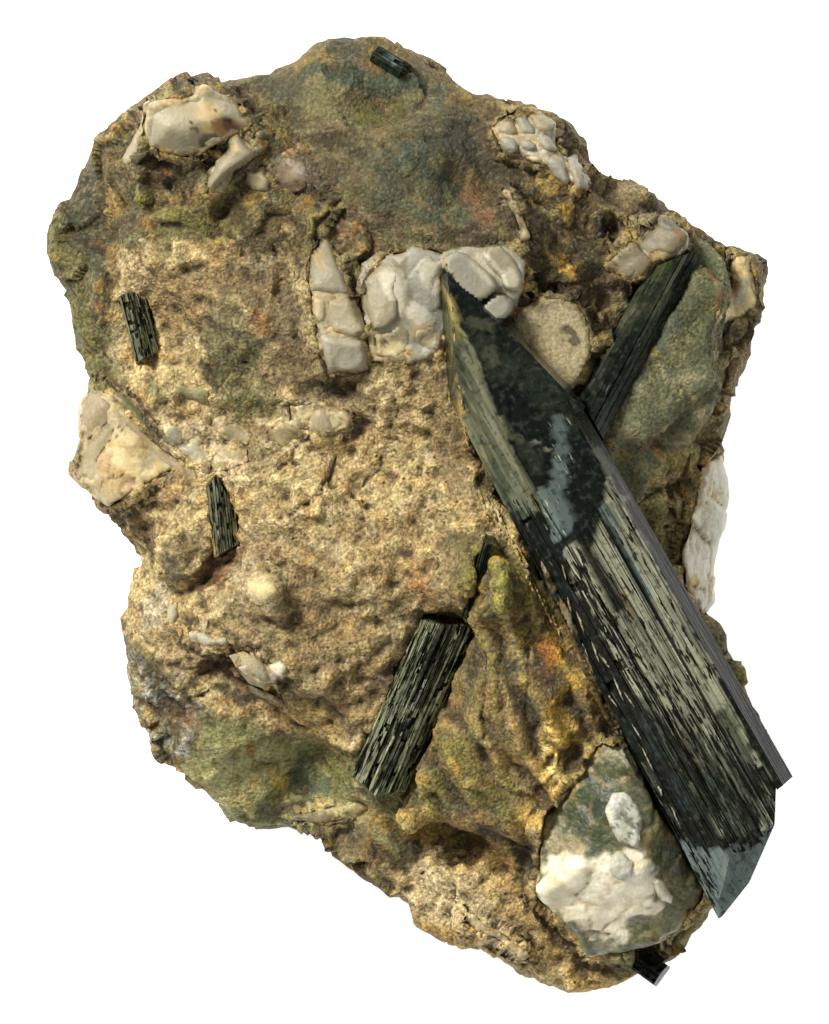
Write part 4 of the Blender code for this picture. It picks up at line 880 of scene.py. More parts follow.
# Sand that is lighter or darker than what lies around it; the ridge's sand is lightened where a shadow
# falls, as painted light
RIDGE_SAND_PAINTED_LIGHT_AREA = [10.8, -21.4, 14.4, -21.4, 14.4, -26.2, 10.8, -26.2]
UPPER_SAND_AREA = [-31, 25, -20, 25, -17, 18, -30, 16]
MIDDLE_SAND_AREA = [-13, -8, 0, -8, -3, -20, -14, -20]
LEDGE_SAND_AREA = [-19.5, -2.5, -6.5, -2.5, -9, -9, -19.5, -15.5]

# How much lighter or darker whole areas are; the ridge's sand and the rock right of the crystal are
# lightened where shade falls, as painted light
ROCK_SHADES = [
    (-0.12, TOP_FACE_AREA), (0.15, LOWER_SAND_AREA), (0.4, GREEN_BAND_AREA), (0.8, RIGHT_ROCK_AREA),
    (0.2, RIDGE_AREA), (1.0, RIDGE_SAND_PAINTED_LIGHT_AREA), (-0.2, UPPER_SAND_AREA), (-0.2, MIDDLE_SAND_AREA),
    (-0.25, LEDGE_SAND_AREA),
]

# Cracks and edges in the rock: width, depth and line
ROCK_CRACKS = [
    (0.35, 0.5, -7.7, 5.8, -8.7, 3.8, -9.3, 1.9, -11.1, 0.9, -13.5, -0.2),
    (0.3, 0.35, -4.6, 8.6, -3.4, 5.6, -5.2, 2.8), (0.3, 0.35, -9.4, 9.4, -12, 7, -13.6, 4.2),
    (0.4, 0.6, -21.8, -18, -19, -17.2, -16.4, -18.6), (0.4, 0.6, -24.6, -14.8, -21.6, -15.6, -19, -14.6),
    (0.3, 0.5, 0.6, -36, 1.6, -35, 2, -34.2), (0.5, 0.9, -9.8, 27.6, -9, 29.4, -7.8, 31.6),
    (0.4, 0.6, -7.2, 26, -5.8, 21.8, -4.6, 18.6), (0.4, 0.6, 27.2, 6, 26.4, 1, 27, -4),
    (0.3, 0.5, 25.8, 5, 25.2, 1), (0.35, 0.6, 6.8, -14, 7.2, -18, 6.6, -22.4),
    (0.35, 0.5, 10.8, -9.8, 11.4, -14, 10.8, -19, 11.4, -24),
    (0.35, 0.5, 8.8, -11.4, 8.4, -15.8, 8.6, -20.8), (0.4, 0.7, -28.6, 12.4, -26.4, 9.8, -23.6, 6.8),
    (0.4, 0.7, 30.2, 19.2, 31.2, 16, 30.4, 12.8),
]

# Lumps and hollows of the rock: width, height and line
ROCK_FORMS = [
    (2.6, 1.4, -15.1, -7.3, -14.2, -8), (1.4, -1.0, -12.7, -5.2, -10.2, -6.4),
    (1.5, -0.9, -20.4, -6.4, -19.2, -4.8), (1.8, 1.1, -24.7, -3.2, -23.6, -3.6),
    (1.3, -0.9, -23.6, -7.4, -22.4, -7), (1.4, -1.1, -27.2, -1.6, -26.4, -3.2),
    (1.3, -0.9, -30.6, 0.8, -29.8, -0.4), (1.4, 0.9, -20, -9.6, -17.6, -8),
    (2.2, 1.0, -25.2, -10, -24.6, -11.4), (1.5, -0.8, -21, -15.8, -17.6, -16.8),
    (1.2, 0.7, -17, -11.6, -13.2, -12.4), (1.4, -0.8, -12.2, 19, -12, 15),
    (2.0, 0.7, -19.4, 19.6, -17.4, 17.8), (1.6, 0.7, -29, 5.8, -28.6, 3.8),
    (1.2, -0.7, -28, 6.2, -27.2, 4.6), (1.6, -0.9, -10.4, 12.6, -6, 12.4),
    (1.8, -0.8, -20.9, 36.8, -19.6, 34.6), (0.9, -1.1, -24.3, 33.2, -24.1, 32.8),
    (1.0, -1.2, -19.6, 30.3, -19.3, 29.8), (0.9, -0.9, -27.3, 38.6, -27.2, 38),
    (1.0, -1.0, -16.6, 34.2, -15.6, 35), (1.3, -1.2, 19.3, 28.8, 19.8, 28.2),
    (2.0, 0.8, 6, -4.8, 5.4, -6.4), (1.8, 0.8, 8.8, -5.8, 8.2, -9), (1.5, 0.8, 13.2, -22.4, 14.2, -23.8),
    (0.8, -1.2, 13.5, -24.1), (0.9, -1.0, 7.2, -20.6), (0.8, -0.9, 15.3, -18.5),
    (1.0, 1.2, 12.3, -31.4, 12.9, -29.8, 14.4, -27.4, 16.6, -25.2, 18.8, -23.4, 20.4, -22.9),
]

# Where the sand is drawn out in streaks, and axes across and along them
STREAKED_AREA = [
    -14, 4, -6, 8, 2, 12, 5, 4, 8, 0, 3, -8, -1, -17, -6, -23, -14, -20, -15, -8,
]
STREAK_AXES = ((0.55, 0.30, 0.0), (-0.60, 0.28, 0.0), (0.0, 0.0, 0.5))
FLUTE_AXES = ((0.87, 0.09, 0.0), (0.50, -0.16, 0.0), (0.0, 0.0, 0.4))

# Face size of the rock's skin, and how far it reaches for the pieces and their rims
ROCK_SKIN = 0.68
ROCK_REACH = 1.0
BANK_REACH = 1.8
# Below this height the rock isn't banked up, and no bank is higher than the second value
BACK_HEIGHT = 10.0
HIGHEST_BANK = 4.0
# The front's finer faces lie above this height
FRONT_HEIGHT = 12.0
# No stain on the rock is darker than this
DARKEST = 0.004


def joined_tree(nodes, pieces=()):
    """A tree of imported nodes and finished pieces, in the plan, to find places on."""
    joined = bmesh.new()
    for mesh in [frame["nodes"][node].data for node in nodes] + [piece.data for piece in pieces]:
        joined.from_mesh(mesh)
    joined.transform(TO_PLAN)
    tree = BVHTree.FromBMesh(joined)
    joined.free()
    return tree


def beside_rock():
    """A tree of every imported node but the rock."""
    return joined_tree([node for node in frame["nodes"] if node != "matrix_rock"])


def touch_pieces(mesh, reach):
    """Draws the rock's skin in to the pieces that sit in it, so that no gap shows."""
    tree = beside_rock()
    places = points_of(mesh)
    for index, place in enumerate(places.tolist()):
        nearest, _, _, distance = tree.find_nearest(place, reach)
        if nearest is not None:
            pull = 1.12 * (1.0 - smooth_step(0.4 * reach, reach, distance))
            places[index] += (np.array(nearest) - places[index]) * pull
    set_points(mesh, places)


def bank_up(mesh, reach):
    """Raises the rock around the feldspar pieces, and a little over their rims.

    Returns how near each vertex is to such a piece: 1 inside its outline, 0 out of reach.
    """
    tree = joined_tree(PIECES)
    places = points_of(mesh)
    normals = normals_of(mesh)
    ragged = noise_field(places, 1.3, 31) + 0.6 * noise_field(places, 3.0, 32)
    near = np.zeros(len(places))
    turns = np.arange(8) * math.pi / 4.0
    rings = [(reach, 1.0), (reach * 0.45, 1.6)]
    around = []
    for radius, weight in rings:
        around += [(radius * math.cos(turn), radius * math.sin(turn), weight) for turn in turns]
    all_weights = len(turns) * sum(weight for _, weight in rings)
    for index, place in enumerate(places.tolist()):
        if place[2] < BACK_HEIGHT or normals[index, 2] < -0.1:
            continue
        if tree.find_nearest(place, reach * 1.8)[0] is None:
            continue
        heights = []
        share = 0.0
        for dx, dy, weight in around:
            hit = tree.ray_cast((place[0] + dx, place[1] + dy, ABOVE), DOWNWARDS)[0]
            if hit is not None:
                heights.append(hit.z)
                share += weight / all_weights
        if not heights:
            continue
        near[index] = share
        aim = sum(heights) / len(heights) - 0.22 + 0.45 * ragged[index]
        if share > 0.62:
            aim -= (share - 0.62) * 7.0
        lift = (aim - place[2]) * smooth_step(0.02, 0.36, share)
        if lift > 0.0:
            places[index, 2] += min(lift, HIGHEST_BANK)
    set_points(mesh, places)
    return near


def rock_mesh():
    """The rock's skin, with finer faces on its front where no piece covers it."""
    bm = even_skin(plan_copy("matrix_rock"), ROCK_SKIN)
    relax(bm, 2)
    bm.normal_update()
    cover = beside_rock()
    front = []
    for face in bm.faces:
        place = face.calc_center_median()
        if face.normal.z > 0.25 and place.z > FRONT_HEIGHT:
            if cover.ray_cast(place + UPWARDS * 0.4, UPWARDS)[0] is None:
                front.append(face)
    edges = list({edge for face in front for edge in face.edges})
    bmesh.ops.subdivide_edges(bm, edges=edges, cuts=1, use_grid_fill=True)
    relax(bm, 2)
    return as_mesh(bm, "matrix_skin")


def rock_fields(places, normals, near):
    """What the rock is like at every vertex: its shares, from 0 to 1, and its noise."""
    rock = SimpleNamespace(near=near)
    rock.x = places[:, 0] + noise_field(places, 2.0, 5) * 0.8
    rock.y = places[:, 1] + noise_field(places, 2.0, 6) * 0.8
    rock.front = smooth_step(-0.1, 0.4, normals[:, 2])
    rock.sandy = strongest(rock.x, rock.y, SANDY_AREAS, 1.0)
    for area in (MOSS_AREA, LOWER_MOSS_AREA):
        rock.sandy *= 1.0 - 0.8 * area_mask(rock.x, rock.y, area, 0.6)
    rock.sandy *= rock.front
    rock.calm = strongest(rock.x, rock.y, CALM_AREAS, 1.0) * rock.front
    rock.fluted = area_mask(rock.x, rock.y, RIDGE_AREA, 1.2) * rock.front
    rock.flutes = noise_field(places @ np.array(FLUTE_AXES), 1.5, 37)
    rock.lumps = noise_field(places, 4.5, 7) * 0.6 + noise_field(places, 1.9, 8) * 0.40
    rock.holes, rock.pit_chance, _ = cell_field(places, 1.3, 12)
    rock.pits = smooth_step(0.55, 0.9, rock.holes) * smooth_step(0.55, 0.95, rock.pit_chance)
    return rock


def rock_relief(places, normals, rock):
    """How far the skin is raised: broken lumps where it is bare, dunes where it is sandy."""
    _, chance, offset = cell_field(places, 3.4, 1)
    lean = np.stack([np.sin(chance * 40.0), np.cos(chance * 57.0), np.sin(chance * 23.0)], 1)
    flats = (offset * lean).sum(1) * 0.30 * (1.2 - 0.6 * rock.calm)
    knobs = smooth_step(0.0, 0.5, cell_field(places, 1.5, 2)[0]) - 0.6
    grit = noise_field(places, 0.95, 9) * 0.30 + np.abs(noise_field(places, 0.62, 36)) * 0.22
    bare = (rock.lumps * 0.9 + flats + knobs * 0.12 + grit * 0.5) * (1.0 - 0.35 * rock.calm)
    bare = bare * (1.0 - 0.6 * rock.fluted) + rock.flutes * rock.fluted * 1.3
    deep = smooth_step(0.45, 0.8, rock.holes) * smooth_step(0.75, 0.98, rock.pit_chance)
    bare -= deep * 0.8 * (1.0 - rock.calm)
    crests = 0.35 - np.abs(noise_field(places, 2.6, 10)) * 1.2
    dunes = crests * 0.5 + noise_field(places, 4.6, 19) * 0.55 + noise_field(places, 1.4, 11) * 0.36
    streaks = noise_field(places @ np.array(STREAK_AXES), 1.5, 35)
    streaks *= area_mask(rock.x, rock.y, STREAKED_AREA, 2.0)
    crust = dunes * 1.35 + streaks * 0.6 + grit * 1.1 - rock.pits * 0.6
    relief = bare * (1.0 - rock.sandy) + crust * rock.sandy
    steep = smooth_step(0.45, 0.0, normals[:, 2])
    relief = relief * (1.0 - 0.45 * steep) - 0.15 * steep
    return relief * (1.0 - 0.4 * smooth_step(0.1, 0.4, rock.near))


def formed_rock(places, normals, rock):
    """The skin's places with relief, forms and cracks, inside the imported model's box."""
    places = places + normals * rock_relief(places, normals, rock)[:, None]
    for width, height, *line in ROCK_FORMS:
        away = line_distance(rock.x, rock.y, paired(line))
        places[:, 2] += height * smooth_step(width, 0.15 * width, away) * rock.front
    for width, depth, *line in ROCK_CRACKS:
        away = line_distance(rock.x, rock.y, paired(line))
        places[:, 2] -= depth * smooth_step(width, 0.0, away) * rock.front
    places[:, 2] = np.maximum(places[:, 2], 0.0)
    low, high = [np.array(TO_PLAN @ corner) for corner in CAD_BOX]
    return np.clip(places, low, high)


def side_colours(places):
    """Colours of the rock's sides and back, in broad patches."""
    colours = np.tile(np.array(PALETTE["brown"]), (len(places), 1))
    patch = noise_field(places, 7.0, 15)
    colours = mixed(colours, "dim_sand", smooth_step(0.05, 0.35, patch) * 0.8)
    colours = mixed(colours, "green", smooth_step(-0.05, -0.35, patch) * 0.8)
    return mixed(colours, "dark_slate", smooth_step(0.2, 0.5, noise_field(places, 4.0, 16)) * 0.7)


def rock_colours(mesh, places, normals, rock):
    """Stains of the rock: its areas, flecks and strokes, then painted shade in its hollows and pits,
    painted light on its rises, its flutes and its shades.
    """
    colours = painted(places, "brown", ROCK_AREAS, [])
    side = side_colours(places)
    colours = side + (colours - side) * smooth_step(-0.25, 0.1, normals[:, 2])[:, None]
    tint = noise_field(places, 5.5, 13)[:, None] * 0.10 + noise_field(places, 2.0, 14)[:, None] * 0.12
    colours = colours * (1.0 + tint)
    # Painted shade in the rock's pits
    colours = mixed(colours, "dark_brown", rock.pits * (1.0 - rock.calm) * 0.55)
    for name, size, seed, low, bare_share, sand_share in ROCK_FLECKS:
        flecks = smooth_step(low, low + 0.11, noise_field(places, size, seed))
        strength = (bare_share + (sand_share - bare_share) * rock.sandy) * (1.0 - 0.55 * rock.calm)
        colours = mixed(colours, name, flecks * strength * rock.front)
    colours = painted(places, colours, [], ROCK_STROKES)
    # Painted shade in broad hollows, and painted light on the rises
    broad = hollowness(mesh, 24)
    hollow_shade = smooth_step(0.06, 0.40, broad) * rock.front * (1.0 - rock.fluted)
    colours = mixed(colours, "brown", hollow_shade * 0.55)
    colours *= 1.0 + 0.28 * (smooth_step(-0.05, -0.40, broad) * rock.front)[:, None]
    crests = smooth_step(0.0, 0.22, rock.flutes) * rock.fluted
    colours = mixed(colours, "gold", crests * smooth_step(-0.2, 0.2, rock.lumps) * 0.25)
    colours = mixed(colours, "olive", crests * smooth_step(0.1, -0.3, rock.lumps) * 0.6)
    colours = mixed(colours, "dark_brown", smooth_step(-0.1, -0.35, rock.flutes) * rock.fluted * 0.7)
    halo = smooth_step(0.04, 0.4, rock.near) * smooth_step(-0.5, 0.3, noise_field(places, 1.5, 33))
    colours = mixed(colours, "bone", halo * 0.6)
    colours = mixed(colours, "ochre", halo * smooth_step(0.0, 0.4, noise_field(places, 1.1, 34)) * 0.5)
    for strength, area in ROCK_SHADES:
        colours *= 1.0 + strength * (area_mask(rock.x, rock.y, area, 2.0) * rock.front)[:, None]
    grey = colours.mean(1)[:, None]
    return np.maximum(grey + (colours - grey) * (1.2 - 0.15 * rock.sandy[:, None]), DARKEST)


def build_rock():
    mesh = rock_mesh()
    touch_pieces(mesh, ROCK_REACH)
    near = bank_up(mesh, BANK_REACH)
    places = points_of(mesh)
    normals = normals_of(mesh)
    rock = rock_fields(places, normals, near)
    places = formed_rock(places, normals, rock)
    set_points(mesh, places)
    set_stains(mesh, rock_colours(mesh, places, normals, rock))
    set_values(mesh, "pitted", 0.35 + 0.65 * rock.sandy)
    set_values(mesh, "clean", rock.calm * 0.3)
    set_values(mesh, "hollow", hollowness(mesh))
    stone = stone_material(
        "crusted_syenite", fineness=2700.0, bump=0.0003, mottle=0.75, pits=0.35,
        dirt_and_shade=(0.09, 0.06, 0.028, 1.0), dirt_and_shade_depth=0.2,
    )
    add_piece(mesh, "matrix_skin", stone, "syenite", "matrix_rock")


# Feldspar and cleavage pieces: the sizes of their faces and cells, how deep their grooves
# and swells are, and their stains. A piece without a look is plain white feldspar.

PLAIN_LOOK = "white_feldspar"
CELL_LEAN = 0.07

PIECES = {
    "feldspar_knob": dict(size=0.3, cell=5.0, groove=0.25, swell=0.5, base="milk", strokes=[
        ("bone", 1.6, 0.6, -25.6, 37, -24.2, 38.6), ("ochre", 1.6, 0.6, -19.6, 39.4, -17.4, 38.6),
        ("brown", 1.0, 0.6, -19.8, 38.2, -17.8, 38), ("dark_brown", 0.8, 0.6, -26.4, 40.2, -24.6, 41),
        ("bone", 1.4, 0.6, -21, 38.2, -20.6, 40.6), ("dark_brown", 0.18, 0.9, -22, 38.9, -21.8, 38.7),
        ("dark_brown", 0.16, 0.9, -21.4, 38.3), ("dark_brown", 0.16, 0.9, -22.9, 36.6),
        ("dark_brown", 0.16, 0.9, -18.9, 39.6), ("dark_brown", 0.2, 0.9, -18.6, 39.2, -18, 39),
    ]),
    "feldspar_shard": dict(size=0.25, cell=3.0, groove=0.2, swell=0.25, base="milk", strokes=[
        ("ochre", 0.5, 0.6, -18, 36.8, -17.4, 36.2), ("dark_brown", 0.35, 0.7, -19.4, 32.7, -19, 32.4),
        ("bone", 0.8, 0.5, -19.6, 34, -20.4, 33),
    ]),
    "feldspar_column": dict(size=0.28, cell=3.4, groove=0.4, swell=0.3, base="milk", strokes=[
        ("cream", 1.4, 0.6, -9.4, 27, -9.8, 24.6), ("bone", 1.5, 0.7, -6.6, 22, -5.4, 19.2),
        ("ochre", 0.22, 0.9, -10.2, 22.3, -8.6, 22, -6.6, 22.2),
        ("ochre", 0.2, 0.8, -9.8, 18.2, -8.2, 18.4, -5.2, 17.8),
        ("rust", 0.18, 0.8, -8.7, 22, -8.9, 18.6), ("ochre", 0.3, 0.8, -10.3, 21, -9.9, 17),
    ]),
    "feldspar_mass": dict(size=0.3, cell=3.2, groove=0.45, swell=0.5, base="milk", strokes=[
        ("bone", 1.8, 0.7, -3.8, 23.6, -2, 21.6, -3.4, 18.6), ("cream", 1.4, 0.7, -1.4, 17.6, 1, 17.2),
        ("ochre", 0.6, 0.6, -0.6, 19.4, 1.2, 18.6), ("bone", 1.0, 0.5, 1.4, 24.6, 2.6, 23),
    ]),
    "feldspar_ridge": dict(
        size=0.25, cell=3.2, groove=0.35, swell=0.35, base="milk",
        strokes=[("ochre", 0.35, 0.9, 4.8, 23.2, 6.8, 21.2, 9.2, 19.8)],
    ),
    "feldspar_chip": dict(size=0.22, cell=3.4, groove=0.3, swell=0.4, base="milk", strokes=[
        ("ochre", 0.4, 0.9, 7, 25.8, 8.6, 24, 8.8, 23), ("dark_brown", 0.16, 0.9, 8.6, 24.2),
        ("bone", 0.8, 0.6, 10.2, 22.8, 10.6, 23.8),
    ]),
    "feldspar_blade": dict(size=0.18, cell=2.6, groove=0.3, swell=0.15, base="bone", strokes=[
        ("ochre", 0.35, 0.7, 9, 31.8, 10.2, 29.6), ("brown", 0.3, 0.7, 10.8, 28.6, 11, 27.6),
    ]),
    "feldspar_rim": dict(size=0.26, cell=2.2, groove=0.45, swell=0.25, base="white", strokes=[
        ("slate", 1.5, 0.85, 13.2, 39.6, 14.2, 38, 14, 36.2), ("brown", 0.8, 0.8, 8.6, 39.8, 12.6, 40.6),
        ("bone", 0.8, 0.7, 8, 37.6, 10, 36), ("ochre", 0.25, 0.7, 8.6, 37.6, 12.4, 37.4),
    ]),
    "feldspar_corner": dict(size=0.22, cell=2.4, groove=0.35, swell=0.25, base="cream", strokes=[
        ("rust", 0.8, 0.8, 31.2, 25, 31.4, 22.4, 31.4, 20), ("ochre", 0.9, 0.6, 32.4, 22.6, 33.4, 20.4),
        ("dark_brown", 0.6, 0.9, 34, 25.4, 34.2, 21.4), ("white", 0.8, 0.5, 33.2, 24.6, 33, 23),
    ]),
    "feldspar_left_edge": dict(size=0.32, cell=4.2, groove=0.3, swell=0.4, base="ivory", strokes=[
        ("white", 1.8, 0.6, -32, 11.6, -33.2, 9.4),
        ("dim_sand", 1.9, 0.9, -30.4, 5.6, -28.2, 4.4, -29.6, 3), ("sand", 2.0, 0.8, -28.6, 6.8, -26, 5),
        ("dark_brown", 0.25, 0.9, -30.2, 8.3, -29.8, 8), ("dark_brown", 0.2, 0.9, -28.6, 8.4),
        ("white", 1.2, 0.7, -25.4, 6, -23.8, 5.2),
    ]),
    "feldspar_band": dict(size=0.2, cell=1.8, groove=0.35, swell=0.2, base="ivory", strokes=[
        ("sand", 0.9, 0.8, -12.4, 9.4, -9.4, 8.2), ("rust", 0.3, 0.7, -9.6, 10.6, -9, 9.8),
    ]),
    "feldspar_right_edge": dict(
        size=0.28, cell=4.4, groove=0.3, swell=0.35, base="cool_white", shade=0.3, flush=0.1,
        strokes=[
            ("rust", 0.8, 0.8, 28.4, 5.4, 28.6, 3.8), ("gold", 0.6, 0.9, 28.2, -6.6, 28.4, -8.6),
            ("ochre", 0.2, 0.6, 28.8, 2.6, 30.8, 2.4), ("bone", 1.0, 0.5, 29.4, 0.4, 29, -3),
        ],
    ),
    "feldspar_lower_edge": dict(size=0.22, cell=3.2, groove=0.25, swell=0.25, base="slab_grey", strokes=[
        ("ochre", 0.5, 0.7, -6.4, -30.2, -4.4, -29.4), ("slate", 0.6, 0.5, -12.2, -30.2, -10.8, -29.8),
    ]),
    "flake_bright": dict(
        size=0.15, cell=1.6, groove=0.15, swell=0.1, base="white",
        strokes=[("bone", 1.0, 0.9, -17, -15.6, -15.6, -16.6)],
    ),
    "flake_pale": dict(size=0.15, cell=1.6, groove=0.2, swell=0.12, base="white"),
    "strip_pale": dict(size=0.18, cell=1.8, groove=0.25, swell=0.15, base="bone"),
    "tan_rhomb": dict(
        size=0.3, cell=6.0, groove=0.15, swell=0.12, base="bone", look="tan_feldspar",
        strokes=[
            ("sand", 2.2, 0.5, 12.4, 19.4, 14.6, 16.6), ("brown", 0.4, 0.85, 15.4, 18.2, 15.8, 17.4),
            ("ochre", 0.4, 0.6, 12, 21.4, 15, 21), ("slate", 0.5, 0.6, 10.6, 19.8, 11.4, 20.6),
        ],
    ),
    "clear_slab": dict(
        size=0.24, cell=4.0, groove=0.2, swell=0.15, base="bone", look="clear_feldspar",
        strokes=[
            ("slate", 1.5, 0.5, 25.6, 29.6, 24.4, 28), ("white", 0.5, 0.7, 24.6, 29.9, 27, 28.2),
            ("slate", 1.3, 0.6, 20, 25.6, 21.6, 23.6), ("rust", 0.3, 0.8, 23, 25.4, 24.6, 25.8),
            ("brown", 0.9, 0.6, 26.6, 27.4, 25, 25.9),
        ],
    ),
    "cleavage_block": dict(
        size=0.36, cell=4.2, groove=0.2, swell=0.5, base="moss", look="green_cleavage", shade=0.12,
        flush=0.06, crust=0.7,
        strokes=[
            ("leaf", 3.0, 0.9, 19.6, -24.4, 17.6, -27.4, 16.6, -31.6),
            ("leaf", 2.2, 0.85, 21, -25, 23.4, -28.6, 24.6, -32),
            ("bottle", 0.9, 0.6, 19.8, -25.6, 18, -28.6, 17.4, -31.4),
            ("bottle", 0.8, 0.6, 22, -26.2, 23.4, -29.6),
            ("pale_green", 1.2, 0.7, 19.4, -23.2, 21.4, -23.8),
            ("pale_green", 1.7, 0.8, 13.8, -30.4, 13.8, -32.8, 15.4, -32.4),
            ("olive", 0.9, 0.6, 23.8, -30.4, 24.2, -32.4),
            ("snow", 2.2, 0.9, 14.6, -35.4, 16.4, -35, 19.4, -35.6),
            ("snow", 3.4, 1.0, 15, -37, 18.4, -38.6, 22, -37.6),
            ("snow", 2.2, 1.0, 21.6, -34.8, 22.8, -36.4),
            ("snow", 1.8, 0.95, 17.4, -40.8, 19.6, -41.4, 20.2, -42),
            ("cream", 0.7, 0.6, 13.4, -36.4, 14.4, -38.6, 16.2, -40.6),
            ("cream", 0.5, 0.6, 18.6, -38.4, 19.2, -36.6),
            ("slate", 0.5, 0.7, 16.8, -41.4, 18.4, -42.2, 19.6, -42.8),
            ("pearl", 1.0, 0.7, 18.6, -43.2, 20, -43),
            ("green", 1.7, 0.9, 26.4, -34.4, 27.8, -37.6, 26.2, -40.2, 22.8, -41),
            ("steel", 1.0, 0.7, 26, -32.8, 27.4, -35.6),
            ("pale_green", 0.8, 0.7, 28.4, -37.4, 28.2, -39.4),
            ("dark_rust", 0.45, 0.8, 24, -35.6, 25.6, -36.6),
        ],
    ),
}

# Looks: the slot, and the values of the stone material
LOOKS = {
    "dark_splinters": ("aegirine", dict(
        hue=0.0, fineness=2000.0, mottle=0.2, grains=0.0, pits=0.0,
        dirt_and_shade=(0.006, 0.007, 0.005, 1.0), dirt_and_shade_depth=0.2, bump=0.00005, rough=(0.2, 0.4), ior=1.3,
    )),
    "green_face": ("syenite", dict(
        hue=0.6, fineness=2600.0, mottle=0.55, grains=0.1, pits=0.2,
        dirt_and_shade=(0.05, 0.045, 0.02, 1.0), dirt_and_shade_depth=0.2, bump=0.0002, rough=(0.6, 0.9),
    )),
    "white_feldspar": ("white_feldspar", dict(
        hue=0.2, fineness=2000.0, mottle=0.28, grains=0.15, pits=0.15,
        dirt_and_shade=(0.20, 0.13, 0.06, 1.0), dirt_and_shade_depth=0.14, bump=0.00008, rough=(0.35, 0.6), glow=0.2,
    )),
    "tan_feldspar": ("tan_feldspar", dict(
        hue=0.4, fineness=2800.0, mottle=0.3, grains=0.3, pits=0.3,
        dirt_and_shade=(0.2, 0.13, 0.06, 1.0), dirt_and_shade_depth=0.2, bump=0.00012, rough=(0.6, 0.9),
    )),
    "clear_feldspar": ("clear_feldspar", dict(
        hue=0.3, fineness=1800.0, mottle=0.3, grains=0.2, pits=0.1,
        dirt_and_shade=(0.16, 0.11, 0.05, 1.0), dirt_and_shade_depth=0.2, bump=0.00006, rough=(0.4, 0.6), clear=0.15, ior=1.45,
    )),
    "green_cleavage": ("green_cleavage", dict(
        hue=0.5, fineness=1800.0, mottle=0.5, grains=0.3, pits=0.15,
        dirt_and_shade=(0.09, 0.10, 0.045, 1.0), dirt_and_shade_depth=0.2, bump=0.00014, rough=(0.2, 0.5), glow=0.15, ior=1.55,
    )),
}


def piece_materials():
    """Each look's material and its slot."""
    made = {}
    for look, (slot, settings) in LOOKS.items():
        made[look] = (stone_material(look, **settings), slot)
    return made


class RockSkin:
    """The finished rock's skin: how near it is to a place, and its colour there."""

    def __init__(self):
        rock = bpy.data.objects["matrix_skin"]
        self.tree = joined_tree([], [rock])
        self.faces = [face.vertices[0] for face in rock.data.polygons]
        self.colours = stains_of(rock.data)

    def crusted(self, places, colours, reach, seed):
        """Colours with the rock's own laid over them near the rock, and how much of it."""
        ragged = noise_field(places, 1.1, seed) * 0.55 + noise_field(places, 0.5, seed + 1) * 0.25
        distances = np.full(len(places), FAR)
        around = colours.copy()
        for index, place in enumerate(places.tolist()):
            nearest, _, face, distance = self.tree.find_nearest(place, reach * 2.0)
            if nearest is not None:
                distances[index] = distance
                around[index] = self.colours[self.faces[face]]
        crust = smooth_step(reach, reach * 0.25, distances + ragged * reach)
        return colours + (around - colours) * crust[:, None] * 0.92, crust


def broken_skin(places, form, seed):
    """How far a piece's skin is raised, and how deep it lies in a groove between its cells."""
    warp = np.stack([noise_field(places, 1.8, seed + index) for index in (4, 5, 6)], 1) * 0.7
    border, chance, offset = cell_field(places + warp, form["cell"], seed)
    lean = np.stack([np.sin(chance * 40.0), np.cos(chance * 57.0), 0.0 * chance], 1)
    worn = smooth_step(-0.2, 0.3, noise_field(places, 2.6, seed + 7))
    groove = smooth_step(0.14, 0.0, border) * (0.25 + 0.75 * worn)
    relief = noise_field(places, 3.4, seed) * form["swell"]
    relief += (offset * lean).sum(1) * CELL_LEAN
    relief += noise_field(places, 1.1, seed + 1) * 0.10
    relief -= groove * form["groove"] * 0.6
    relief += noise_field(places, 0.5, seed + 2) * 0.07
    return relief, groove


def piece_colours(places, groove, form, seed):
    colours = painted(places, form["base"], [], form.get("strokes", []))
    shaded = smooth_step(0.0, 0.5, noise_field(places, 2.2, seed + 8))
    colours = mixed(colours, "bone", shaded * form.get("shade", 0.75))
    colours = mixed(colours, "ochre", groove * 0.55)
    flushed = smooth_step(0.15, 0.5, noise_field(places, 1.9, seed + 9))
    colours = mixed(colours, "ochre", flushed * form.get("flush", 0.3))
    return colours * (1.0 + noise_field(places, 1.2, seed + 3)[:, None] * 0.16)


def build_pieces(materials):
    rock = RockSkin()
    for seed, (node, form) in enumerate(PIECES.items(), start=20):
        bm = even_skin(plan_copy(node), form["size"])
        relax(bm, 3)
        mesh = as_mesh(bm, node + "_skin")
        places = points_of(mesh)
        relief, groove = broken_skin(places, form, seed)
        places += normals_of(mesh) * relief[:, None]
        set_points(mesh, places)
        colours = piece_colours(places, groove, form, seed)
        clean = smooth_step(0.45, 0.7, colours[:, 0]) * 0.9
        colours, crust = rock.crusted(places, colours, form.get("crust", 0.55), seed + 50)
        set_stains(mesh, colours)
        set_values(mesh, "crust", crust)
        set_values(mesh, "pitted", np.full(len(places), 0.6))
        set_values(mesh, "clean", clean * (1.0 - crust))
        set_values(mesh, "hollow", hollowness(mesh))
        material, slot = materials[form.get("look", PLAIN_LOOK)]
        add_piece(mesh, node + "_skin", material, slot, node)


# Broken blocks and flakes that lie in the crust: colour, rise, rounding and outline. Where
# the rise is three numbers, they are the top's height and its slopes along X and Y.
# A sliver is its colour, rise, width and two ends.

